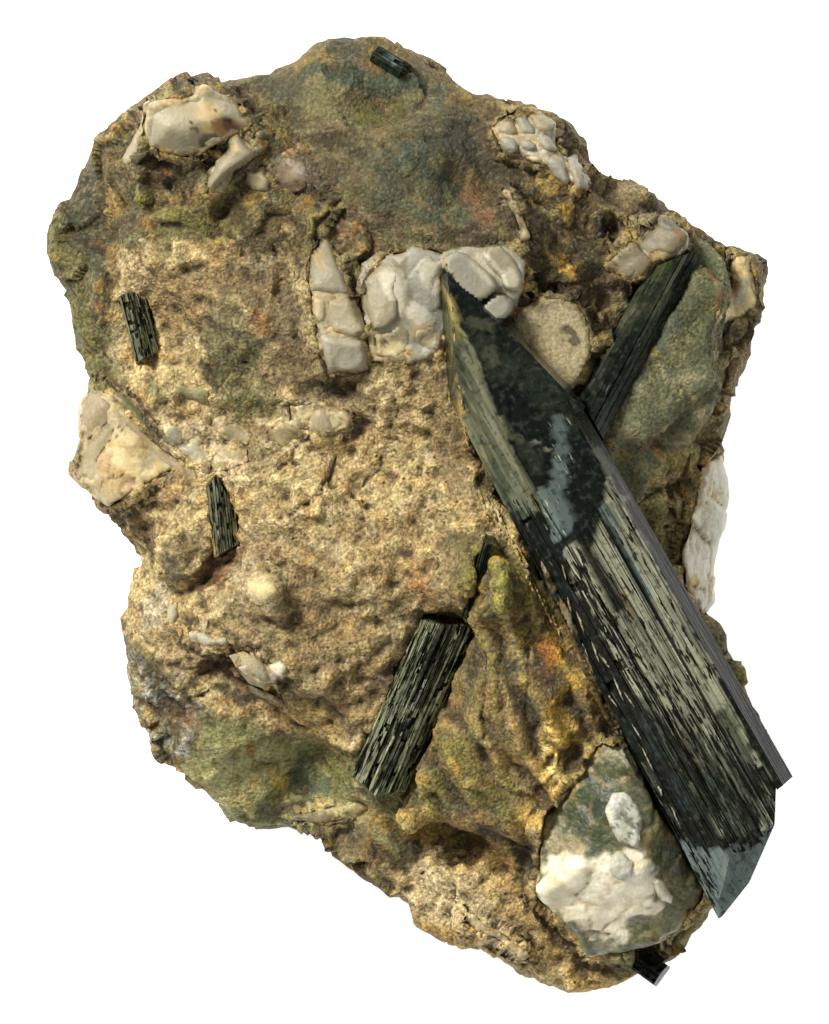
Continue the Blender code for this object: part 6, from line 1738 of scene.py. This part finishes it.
def build_blocks(materials):
    rock = RockSkin()
    skins = [piece for piece in bpy.context.scene.objects if piece.name.endswith("_skin")]
    laths = [piece for piece in bpy.context.scene.objects if piece.name.endswith("_laths")]
    trees = {False: joined_tree([], skins), True: joined_tree([], skins + laths)}
    for seed, (name, form) in enumerate(BLOCKS.items(), start=70):
        tree = trees[form.get("over_crystals", False)]
        mesh = block_mesh(name, form, tree, random.Random(seed))
        places = points_of(mesh)
        inner = smooth_step(0.0, 0.4, values_of(mesh, "edge"))
        relief = noise_field(places, 1.6, seed) * 0.10 + noise_field(places, 0.7, seed + 1) * 0.06
        relief += noise_field(places, 3.0, seed + 9) * form.get("swell", 0.0)
        places += normals_of(mesh) * (relief * inner)[:, None]
        set_points(mesh, places)
        colours = block_colours(mesh, places, form, seed)
        colours, crust = rock.crusted(places, colours, 0.32, seed + 20)
        set_stains(mesh, colours)
        set_values(mesh, "crust", crust)
        set_values(mesh, "clean", form["clean"] * (1.0 - crust))
        set_values(mesh, "pitted", np.full(len(places), 0.5))
        add_piece(mesh, name, *materials[form.get("look", PLAIN_LOOK)])


# Aegirine crystals: their ends in the plan, their laths and their stains

FACE_LEFT_AREA = [
    3.1, 24, 3.1, 21.2, 3.6, 15.8, 4.4, 8.7, 5.1, 6.6, 6.9, 3, 8.5, 0.3, 13, 0.5, 11.6, 2.8, 9.3, 7.2,
    7.8, 11.2, 6.3, 15.1, 4.5, 19.1, 3.4, 21.8,
]
FACE_HOLE_AREA = [
    15.9, 5.4, 18, 6.6, 19.2, 3.6, 18.8, -0.2, 17.4, -3.6, 15.8, -2.6,
]
STRIP_AREA = [
    16.4, 11.4, 18.2, 9, 21.4, 4.2, 37.4, -26.2, 36.8, -27.6, 35.6, -27, 31.2, -18.6, 24.4, -6.4, 19.4, 4,
    17.4, 8.6,
]
LATH_AREA = [
    18.9, 4.4, 19.9, 3.6, 24.4, -5.6, 31, -18, 35.8, -27.4, 34.6, -32.4, 31.6, -33.4, 27.6, -28, 24.6,
    -22.6, 19.6, -13.8, 15.8, -7.4, 14.9, -3.2, 15.6, -2.8, 17.2, -3.2,
]
END_AREA = [
    26.6, -32.2, 28.8, -33.2, 31.4, -33, 33.6, -32.4, 35.2, -30.6, 36, -27.2, 37, -34, 33.6, -39, 30.4,
    -41.6, 28, -38,
]

FACE_RIGHT_AREA = [
    3.1, 25, 4.5, 19.1, 6.3, 15.1, 7.8, 11.2, 9.3, 7.2, 11.6, 2.8, 13, 0.5, 14.9, -3.2, 17.2, -3.2, 18.8,
    -0.2, 19.2, 4, 17.4, 8.6, 16.6, 12.4, 10, 19.4,
]
SIDE_AREA = [
    8, 0.8, 12, 2, 13.4, 0.3, 14.6, -3.4, 15.4, -7.4, 19.2, -13.8, 24.2, -22.6, 27.2, -28.2, 29.4, -33.6,
    30.4, -42.6, 20, -28, 8, -8,
]

BLUE_AREA = [
    13.6, 9.6, 15.4, 9.4, 15.6, 5, 15, 1.6, 15.6, -2, 13.4, -2.4, 12.4, 0.6, 13.6, 3.4,
]
BROKEN_AREA = [
    15.6, -4, 17.4, -5, 19.6, -9.4, 22.4, -14, 26, -17, 30, -20, 35, -27, 36.4, -30, 34, -33, 31.6, -33.4,
    27.6, -28, 24.6, -22.6, 19.6, -13.8, 15.8, -7.4,
]

# The left face's bronze and the laths' grey are painted sheen on the black crystal
MAIN_AREAS = [
    ("bronze", 0.25, 1.0, FACE_LEFT_AREA), ("lath", 0.25, 1.0, LATH_AREA),
    ("strip", 0.2, 1.0, STRIP_AREA), ("jet", 0.8, 1.0, FACE_HOLE_AREA), ("end_face", 0.3, 1.0, END_AREA),
]
MAIN_STROKES = [
    # Left face of the tip, its pearl stroke painted sheen
    ("gold", 0.4, 0.6, 3.4, 21.4, 3.9, 19), ("olive", 0.7, 0.7, 3.8, 20, 4.3, 17.6),
    ("bottle", 0.6, 0.75, 4.1, 17, 4.6, 13, 5.1, 10),
    ("pearl", 0.7, 0.15, 6.2, 13, 7.4, 9.2, 8.8, 5.6, 10.4, 2.6),
    ("gold", 0.16, 0.4, 4, 14, 4.6, 11, 5, 8.6), ("gold", 0.16, 0.4, 6, 8, 7, 5.2, 8, 3),
    ("cream", 0.18, 0.6, 6.6, 7.4, 7.4, 5.4), ("gold", 0.3, 0.25, 8.6, 4, 10.2, 1.6),
    ("bottle", 0.7, 0.6, 6.4, 5.2, 8.4, 2.2), ("teal", 1.6, 0.5, 6, 6.6, 8.6, 2.6, 10.4, 0.4),
    # Right face of the tip
    ("dust", 1.5, 0.2, 6.6, 16.8, 8.6, 14.2), ("dust", 0.6, 0.6, 7, 16.4, 8, 15.2),
    ("dust", 0.6, 0.6, 5.6, 19.2, 7.4, 18.6), ("bottle", 1.6, 0.5, 10.4, 14.6, 13.4, 11.6, 15.4, 9.2),
    ("pearl", 0.12, 0.4, 11.6, 7.6, 12.6, 7, 13.4, 6.4), ("dust", 0.5, 0.7, 9.6, 7.8, 10.2, 7.4),
    ("dust", 0.9, 0.2, 10.8, 6.6, 12, 4.6), ("blue_grey", 0.7, 0.5, 14.3, 9.4, 14.9, 6.8, 14.4, 4.6),
    ("blue_grey", 1.0, 0.55, 14.4, 4.4, 14, 1.6, 14.8, -1.4),
    ("blue_grey", 0.6, 0.8, 12.8, 2.2, 13.4, 0.2, 14, -2.2), ("gold", 0.22, 0.7, 16.2, 5.2, 16.5, 5.1),
    ("dust", 0.5, 0.95, 18, 6.2, 18.8, 5.4, 19, 4),
    # Laths, with pearl strokes of painted sheen
    ("pearl", 0.5, 0.7, 19.2, 3.6, 21.6, -1.2, 26.6, -10.4, 29, -14.8),
    ("pearl", 0.6, 0.6, 15.2, -3.6, 16.6, -7, 19.6, -11.8, 21.6, -16),
    ("blue_grey", 0.7, 0.8, 18.8, 0.4, 20.4, -3, 23, -8),
    ("black", 0.9, 0.9, 17, -3.6, 18.6, -6.2, 20, -8.8), ("pearl", 0.45, 0.9, 19.5, -3, 20.3, -4.8),
    ("gold", 0.5, 0.4, 20.4, -7.8, 22, -10.4), ("pearl", 1.0, 0.45, 25, -11, 27, -15.4),
    ("bottle", 1.6, 0.5, 25.6, -20.6, 27.8, -24, 29.8, -27),
    ("bottle", 1.4, 0.75, 30.6, -20.4, 33.4, -26.4),
    ("dark_rust", 0.7, 0.75, 26.4, -21.4, 27.6, -24.4, 28.6, -28.2),
    ("teal", 0.35, 0.8, 28.4, -25.4, 29.6, -28.4, 31.2, -32),
    ("bottle", 2.2, 0.9, 29.4, -27.8, 32.6, -30.6), ("bottle", 2.4, 0.6, 27, -23, 30.6, -25.6, 33, -27.4),
    ("bottle", 1.3, 0.8, 22.6, -19, 25.6, -24, 28, -29),
    ("black", 0.8, 0.9, 16, -9, 19.4, -15.4, 23.6, -22.4, 26.4, -27.6),
    ("black", 0.8, 0.95, 26.8, -29, 28.6, -31.8, 30.6, -32.6),
    ("black", 0.5, 0.9, 31.4, -32.2, 33.6, -32.4),
    # Left side, black glass with some smooth faces, and a silver line of painted glint
    ("end_grey", 0.8, 0.8, 22.6, -20.6, 24.2, -23.6), ("end_grey", 0.7, 0.8, 25.6, -26, 27, -29),
    ("bottle", 0.6, 0.7, 14.6, -10, 16.8, -15.2, 19, -19.6),
    ("silver", 0.16, 0.3, 22.4, -24.8, 24, -27.6, 26.4, -31.6),
]
CROSSING_STROKES = [
    ("dust", 1.8, 0.8, 25.8, 25.6, 23.2, 21), ("bottle", 1.0, 0.9, 25.6, 25.4, 22.8, 21.4),
    # The silver strokes are a painted highlight along the crystal's ridge
    ("moss", 0.6, 0.6, 25.4, 26, 24, 23.6), ("silver", 0.16, 0.8, 24.4, 26.2, 22.6, 23.6),
    ("silver", 0.14, 0.9, 20.6, 18.2, 19, 15.2, 17.4, 12), ("dust", 0.8, 0.8, 22.6, 20.6, 20.6, 18.8),
    ("jet", 1.0, 0.9, 19.8, 18, 18.4, 15, 16.4, 11), ("jet", 1.0, 0.8, 22, 17.6, 20.4, 14.4, 18.8, 11.8),
]
LOWER_STROKES = [
    ("dust", 0.35, 0.7, 2.6, -12, 0.6, -17, -1.4, -22),
    ("dust", 0.5, 0.6, 0.4, -14, -2.4, -20, -4.6, -25.4),
    ("dust", 0.3, 0.6, 3.6, -14.6, 1.6, -19.6, -0.4, -25),
    ("black", 1.0, 0.8, 3, -11, 1.6, -15, 0.4, -18.4), ("black", 0.7, 0.7, -1, -21, -2.6, -26),
    ("pearl", 0.2, 0.7, -4.2, -23, -5.4, -26.6),
]

# The crystals by node: two ends of their axis, their laths' widths, steps, rows and pieces,
# their chance of slots, and their stains. Left of splintered the pieces are shorter, and a
# piece whose sheen is above flash gets a painted silver glint. The strengths of polish, broken
# and needles hold in their areas, and those that begin with all_ everywhere.
CRYSTALS = {
    "main_crystal": dict(
        start=(1.6, 23.1, 38.3), end=(35.8, -36.9, 35.2), widths=(0.2, 1.1), step=0.09, rows=0.28,
        pieces=(3.0, 20.0), slots=0.05, slot_depth=0.3, base="jet", flash=2.0, splintered=-2.6,
        areas=MAIN_AREAS, strokes=MAIN_STROKES,
        polish=[(0.9, FACE_RIGHT_AREA), (0.4, STRIP_AREA), (0.6, SIDE_AREA), (0.5, END_AREA)],
        broken=[(0.35, LATH_AREA), (1.0, BROKEN_AREA), (0.7, SIDE_AREA)],
        needles=[(0.15, SIDE_AREA), (0.5, BROKEN_AREA), (0.9, BLUE_AREA)],
    ),
    "crossing_crystal": dict(
        start=(26.6, 26.6, 28.6), end=(15.0, 5.0, 32.2), widths=(0.3, 1.1), step=0.04, rows=0.4,
        pieces=(6.0, 24.0), slots=0.02, slot_depth=0.1, base="bottle", flash=2.0,
        all_polish=0.8, all_needles=0.25, strokes=CROSSING_STROKES,
    ),
    "lower_crystal": dict(
        start=(3.6, -10.2, 29.4), end=(-4.4, -28.4, 28.4), widths=(0.10, 0.34), step=0.20, rows=0.2,
        pieces=(0.5, 3.0), slots=0.2, slot_depth=0.35, base="fibre", flash=0.93,
        all_broken=0.8, crust=0.45, all_needles=0.6, strokes=LOWER_STROKES,
    ),
    "thin_blade": dict(
        start=(7.3, -2.6, 36.3), end=(4.7, -11.6, 33.9), widths=(0.15, 0.3), step=0.06, rows=0.4,
        pieces=(1.0, 4.0), slots=0.2, slot_depth=0.15, base="bottle", flash=0.95,
    ),
    "left_crystal": dict(
        start=(-28.3, 22.0, 26.0), end=(-26.6, 15.4, 26.0), widths=(0.15, 0.45), step=0.2, rows=0.2,
        pieces=(0.4, 1.8), slots=0.25, slot_depth=0.3, base="bronze", flash=0.86,
        all_broken=0.5, crust=0.5, strokes=[("moss", 0.5, 0.8, -28, 20, -26.8, 17)],
    ),
    "centre_crystal": dict(
        start=(-19.6, 4.0, 28.0), end=(-18.8, -4.1, 28.0), widths=(0.2, 0.6), step=0.18, rows=0.2,
        pieces=(0.6, 2.4), slots=0.2, slot_depth=0.3, base="bronze", flash=0.8, all_broken=0.6, crust=0.4,
        strokes=[("slate", 0.7, 0.7, -19.2, -2.6, -18.6, -3.8), ("dust", 0.4, 0.5, -19.4, 1, -19.2, -1)],
    ),
    "top_crystal": dict(
        start=(-3.9, 46.0, 27.0), end=(-1.1, 44.3, 27.0), widths=(0.2, 0.5), step=0.15, rows=0.2,
        pieces=(0.6, 1.5), slots=0.2, slot_depth=0.25, base="bottle", flash=0.9,
        strokes=[("blue_grey", 0.4, 0.7, -3, 45.6, -2, 45)],
    ),
    "bottom_crystal": dict(
        start=(22.4, -44.4, 21.0), end=(24.6, -46.0, 21.5), widths=(0.2, 0.5), step=0.15, rows=0.2,
        pieces=(0.6, 1.5), slots=0.2, slot_depth=0.25, base="jet", flash=0.9,
    ),
}

# The shoulder in the long crystal's axes: its block, and its top and right planes
SHOULDER_MIDDLE = (-21.0, 5.6, 0.0)
SHOULDER_SIZE = Matrix.Diagonal((9.6, 3.2, 8.0, 1.0))
SHOULDER_CUTS = [((-34.5, 1.8, 0.02), (-0.166, 0.122, 1.0)), ((-32.3, 2.87, 0.0), (-0.265, 1.0, 0.1))]
# The long crystal in its own axes. Its laths begin along LATH_LINE, and left of LATH_LEFT
# along BROKEN_LINE, where they are broken and stand out more. Such a line is its start, its
# slant and the place across the crystal where it starts.
LATH_LINE = (-4.56, -0.631, -1.55)
LATH_LEFT = -2.6
BROKEN_LINE = (-9.25, 1.27, -1.29)
BROKEN_SHARE = 1.5
FACE_SHARE = 0.03
# The strip along its right edge rises towards the rim over the given length
STRIP_LEFT = 5.7
STRIP_START = -16.0
STRIP_RAMP = 4.0
STRIP_LIFT = 1.8
# Its end face, and the plane that cuts it
END_LINE = (28.6, 0.7, -2.0)
END_CUT = ((29.4, 2.7, 0.0), (0.80, 0.60, 0.05))
# How near a place on a crack is to it, and the soft edge of the shares' areas
SAME_PLACE = 1e-3
SHARE_EDGE = 0.3
# The laths' own length is unbounded, so their pieces start and end past any crystal
PIECES_START = -100.0
PIECES_END = 100.0
SPLINTER_LENGTH = 0.22


def crystal_axes(start, end):
    """Matrix from a crystal's axes (along, across, up) to the plan."""
    start = Vector(start)
    end = Vector(end)
    along = (end - start).normalized()
    across = Vector((0.0, 0.0, 1.0)).cross(along).normalized()
    up = along.cross(across)
    turn = Matrix((along, across, up)).transposed().to_4x4()
    return Matrix.Translation((start + end) / 2.0) @ turn


def sliced(bm, along_lines, across_lines):
    """Cuts the upper faces along the crystal and across it, for the laths to step."""
    bm.normal_update()
    upper = [face for face in bm.faces if face.normal.z > 0.2]
    edges = list({edge for face in upper for edge in face.edges})
    verts = list({vert for face in upper for vert in face.verts})
    geometry = upper + edges + verts
    for normal, lines in (((0.0, 1.0, 0.0), across_lines), ((1.0, 0.0, 0.0), along_lines)):
        for value in lines:
            place = Vector(normal) * value
            cut = bmesh.ops.bisect_plane(bm, geom=geometry, dist=1e-4, plane_co=place, plane_no=normal)
            geometry = cut["geom"]
    return [item for item in geometry if isinstance(item, bmesh.types.BMVert)]


def lath_layout(chance, low, high, form):
    """The laths from one side to the other, with their crack and the pieces along each."""
    laths = []
    side = low
    while side < high:
        width = chance.uniform(*form["widths"])
        shortened = SPLINTER_LENGTH if side < form.get("splintered", -FAR) else 1.0
        pieces = []
        place = PIECES_START + chance.uniform(0.0, 8.0)
        while place < PIECES_END:
            length = chance.uniform(*form["pieces"]) * shortened
            gap = chance.random() < form["slots"]
            pieces.append((place, gap, chance.uniform(-1.0, 1.0), chance.random()))
            place += length * (0.3 if gap else 1.0)
        crack = min(chance.choice((0.03, 0.05, 0.05, 0.09)), width / 3.0)
        tone = chance.choice((0.3, 0.55, 0.8, 0.95))
        laths.append(dict(side=side, crack=crack, tone=tone, rise=chance.uniform(-1.0, 1.0), pieces=pieces))
        side += width
    return laths


def beyond(line, s, t):
    """Whether a place lies past a slanted line: its start, its slant and where it starts."""
    start, slant, across = line
    return s > start + slant * (t - across)


def lath_share(node, s, t):
    """How strongly the laths stand out at a place, in the crystal's own axes."""
    if node != "main_crystal":
        return 1.0
    if t > STRIP_LEFT:
        return 0.0
    if beyond(END_LINE, s, min(t, END_LINE[2])):
        return FACE_SHARE
    if t > LATH_LEFT:
        return 1.0 if beyond(LATH_LINE, s, t) else FACE_SHARE
    return BROKEN_SHARE if beyond(BROKEN_LINE, s, t) else FACE_SHARE


def clip(bm, place, normal):
    """Cuts off what lies beyond a plane, and closes the cut."""
    everything = bm.verts[:] + bm.edges[:] + bm.faces[:]
    cut = bmesh.ops.bisect_plane(bm, geom=everything, plane_co=place, plane_no=normal, clear_outer=True)
    rim = [item for item in cut["geom_cut"] if isinstance(item, bmesh.types.BMEdge)]
    bmesh.ops.contextual_create(bm, geom=rim)


def add_shoulder(bm):
    """The wedge that carries the long crystal's right face down to its strip."""
    solid = bmesh.new()
    bmesh.ops.create_cube(solid, size=1.0, matrix=Matrix.Translation(SHOULDER_MIDDLE) @ SHOULDER_SIZE)
    for place, normal in SHOULDER_CUTS:
        clip(solid, place, normal)
    wedge = as_mesh(solid, "shoulder")
    bm.from_mesh(wedge)
    bpy.data.meshes.remove(wedge)


def step_laths(bm, node, form, chance):
    """Cuts the upper faces into laths and steps them, with the shade and flash of each: painted sheen,
    painted silver glints and painted shade below the tops.
    """
    tip = min(vert.co.x for vert in bm.verts)
    foot = max(vert.co.x for vert in bm.verts)
    left = min(vert.co.y for vert in bm.verts)
    right = max(vert.co.y for vert in bm.verts)
    laths = lath_layout(chance, left, right, form)
    sides = [lath["side"] for lath in laths]
    across = []
    for lath in laths[1:]:
        across += [lath["side"] - lath["crack"], lath["side"], lath["side"] + lath["crack"]]
    rows = int((foot - tip) / form["rows"])
    along = [tip + (foot - tip) * (row + 0.5) / rows for row in range(rows)]
    shade = bm.verts.layers.float.new("shade")
    flash = bm.verts.layers.float.new("flash")
    tops = sliced(bm, along, across)
    # Painted shade: faces below the tops are half as bright
    for vert in bm.verts:
        vert[shade] = 0.5
    for vert in tops:
        s, t, _ = vert.co
        lath = laths[max(bisect.bisect_right(sides, t + SAME_PLACE) - 1, 0)]
        place, gap, shift, sheen = max((piece for piece in lath["pieces"] if piece[0] <= s), key=first_of)
        share = lath_share(node, s, t)
        rise = (lath["rise"] * 0.6 + shift * 0.4) * form["step"]
        # Painted sheen: each piece lighter or darker by its sheen
        tone = 0.55 + 0.75 * sheen
        if gap and share > 0.5:
            rise -= form["slot_depth"]
            tone = 0.12
        # A piece with much sheen gets a painted silver glint
        elif sheen > form["flash"] and share > 1.2:
            vert[flash] = 1.0
        if abs(t - lath["side"]) < SAME_PLACE:
            rise -= lath["crack"] * 2.0
            tone = lath["tone"]
        vert.co.z += rise * share
        if node == "main_crystal" and t > STRIP_LEFT and s > STRIP_START:
            vert.co.z += STRIP_LIFT * (t - STRIP_LEFT) * min((s - STRIP_START) / STRIP_RAMP, 1.0)
        vert[shade] = 1.0 + (tone - 1.0) * min(share, 1.0)


def crystal_mesh(node, form, axes, chance):
    """A crystal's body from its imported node, with laths along its own axis."""
    bm = plan_copy(node)
    bmesh.ops.transform(bm, matrix=axes.inverted(), verts=bm.verts[:])
    bmesh.ops.dissolve_limit(bm, angle_limit=0.01, verts=bm.verts[:], edges=bm.edges[:])
    if node == "main_crystal":
        clip(bm, *END_CUT)
        add_shoulder(bm)
    step_laths(bm, node, form, chance)
    bmesh.ops.transform(bm, matrix=axes, verts=bm.verts[:])
    bmesh.ops.triangulate(bm, faces=[face for face in bm.faces if len(face.verts) > 4])
    return as_mesh(bm, node + "_laths")


def build_crystals():
    rock = RockSkin()
    for seed, (node, form) in enumerate(CRYSTALS.items(), start=40):
        axes = crystal_axes(form["start"], form["end"])
        mesh = crystal_mesh(node, form, axes, random.Random(seed))
        places = points_of(mesh)
        colours = painted(places, form["base"], form.get("areas", []), form.get("strokes", []), 0.3)
        # Painted silver glints, then the laths' painted sheen and the painted shade below the tops
        colours = mixed(colours, "silver", values_of(mesh, "flash"))
        colours *= values_of(mesh, "shade")[:, None]
        if "crust" in form:
            colours = rock.crusted(places, colours, form["crust"], seed)[0]
        set_stains(mesh, colours)
        for label in ("polish", "broken", "needles"):
            everywhere = form.get("all_" + label, 0.0)
            areas = form.get(label, [])
            shares = strongest(places[:, 0], places[:, 1], areas, SHARE_EDGE, everywhere)
            set_values(mesh, label, shares)
        set_values(mesh, "hollow", hollowness(mesh, 3))
        along = axes.to_3x3() @ Vector((1.0, 0.0, 0.0))
        material = aegirine_material(node + "_aegirine", math.atan2(along.y, along.x))
        add_piece(mesh, node + "_laths", material, "aegirine", node, smooth=False)


# Floor, light and camera, in metres

FLOOR_SIZE = 6.0
FLOOR_GLOW = 0.8
# Lights: name, place, size, power and colour
LIGHTS = [
    ("key", (-0.44, 0.42, 0.56), 0.20, 9.6, (1.0, 0.98, 0.94)),
    ("fill", (0.5, -0.25, 0.6), 0.5, 0.9, (1.0, 1.0, 1.0)),
    ("top", (0.0, -0.14, 0.85), 0.30, 0.5, (1.0, 1.0, 1.0)),
]
LIGHT_AIM = (0.0, 0.0, 0.02)
# The camera in the plan, in millimetres: the photo's middle and height, and the sharp height
CAMERA_LENS = 800.0
SENSOR = 36.0
PHOTO_MIDDLE = (-0.05, 0.3)
PHOTO_HEIGHT = 102.4
SHARP_HEIGHT = 22.0


def add_light(name, place, size, power, colour):
    """A soft square light, turned to the specimen."""
    data = bpy.data.lights.new(name, "AREA")
    data.size = size
    data.energy = power
    data.color = colour
    light = bpy.data.objects.new(name, data)
    bpy.context.scene.collection.objects.link(light)
    light.location = place
    light.rotation_euler = (Vector(LIGHT_AIM) - Vector(place)).to_track_quat("-Z", "Y").to_euler()
    light.visible_camera = False


def build_floor():
    bm = bmesh.new()
    bmesh.ops.create_grid(bm, x_segments=1, y_segments=1, size=FLOOR_SIZE / 2.0)
    mesh = as_mesh(bm, "floor")
    made, tree, shader = new_material("pale_floor")
    paper = add_node(tree, "ShaderNodeTexNoise", {"Scale": 900.0, "Detail": 2.0}).outputs["Fac"]
    tone = mix_colours(tree, paper, (0.86, 0.86, 0.85, 1.0), (0.9, 0.9, 0.89, 1.0))
    tree.links.new(tone, shader.inputs["Base Color"])
    shader.inputs["Roughness"].default_value = 0.9
    shader.inputs["Emission Color"].default_value = (1.0, 1.0, 1.0, 1.0)
    shader.inputs["Emission Strength"].default_value = FLOOR_GLOW
    mesh.materials.append(made)
    floor = bpy.data.objects.new("floor", mesh)
    bpy.context.scene.collection.objects.link(floor)


def build_studio():
    build_floor()
    world = bpy.data.worlds.new("studio")
    bpy.context.scene.world = world
    world.use_nodes = True
    sky = world.node_tree.nodes["Background"].inputs
    sky["Color"].default_value = (1.0, 1.0, 0.98, 1.0)
    sky["Strength"].default_value = 0.2
    for light in LIGHTS:
        add_light(*light)
    data = bpy.data.cameras.new("camera")
    data.lens = CAMERA_LENS
    data.sensor_width = SENSOR
    camera = bpy.data.objects.new("camera", data)
    bpy.context.scene.collection.objects.link(camera)
    distance = PHOTO_HEIGHT * CAMERA_LENS / SENSOR
    camera.location = TO_FRAME @ Vector((*PHOTO_MIDDLE, SHARP_HEIGHT + distance))
    bpy.context.scene.camera = camera
    bpy.context.scene.view_settings.view_transform = "Standard"


build_rock()
looks = piece_materials()
build_pieces(looks)
build_crystals()
build_blocks(looks)
build_studio()
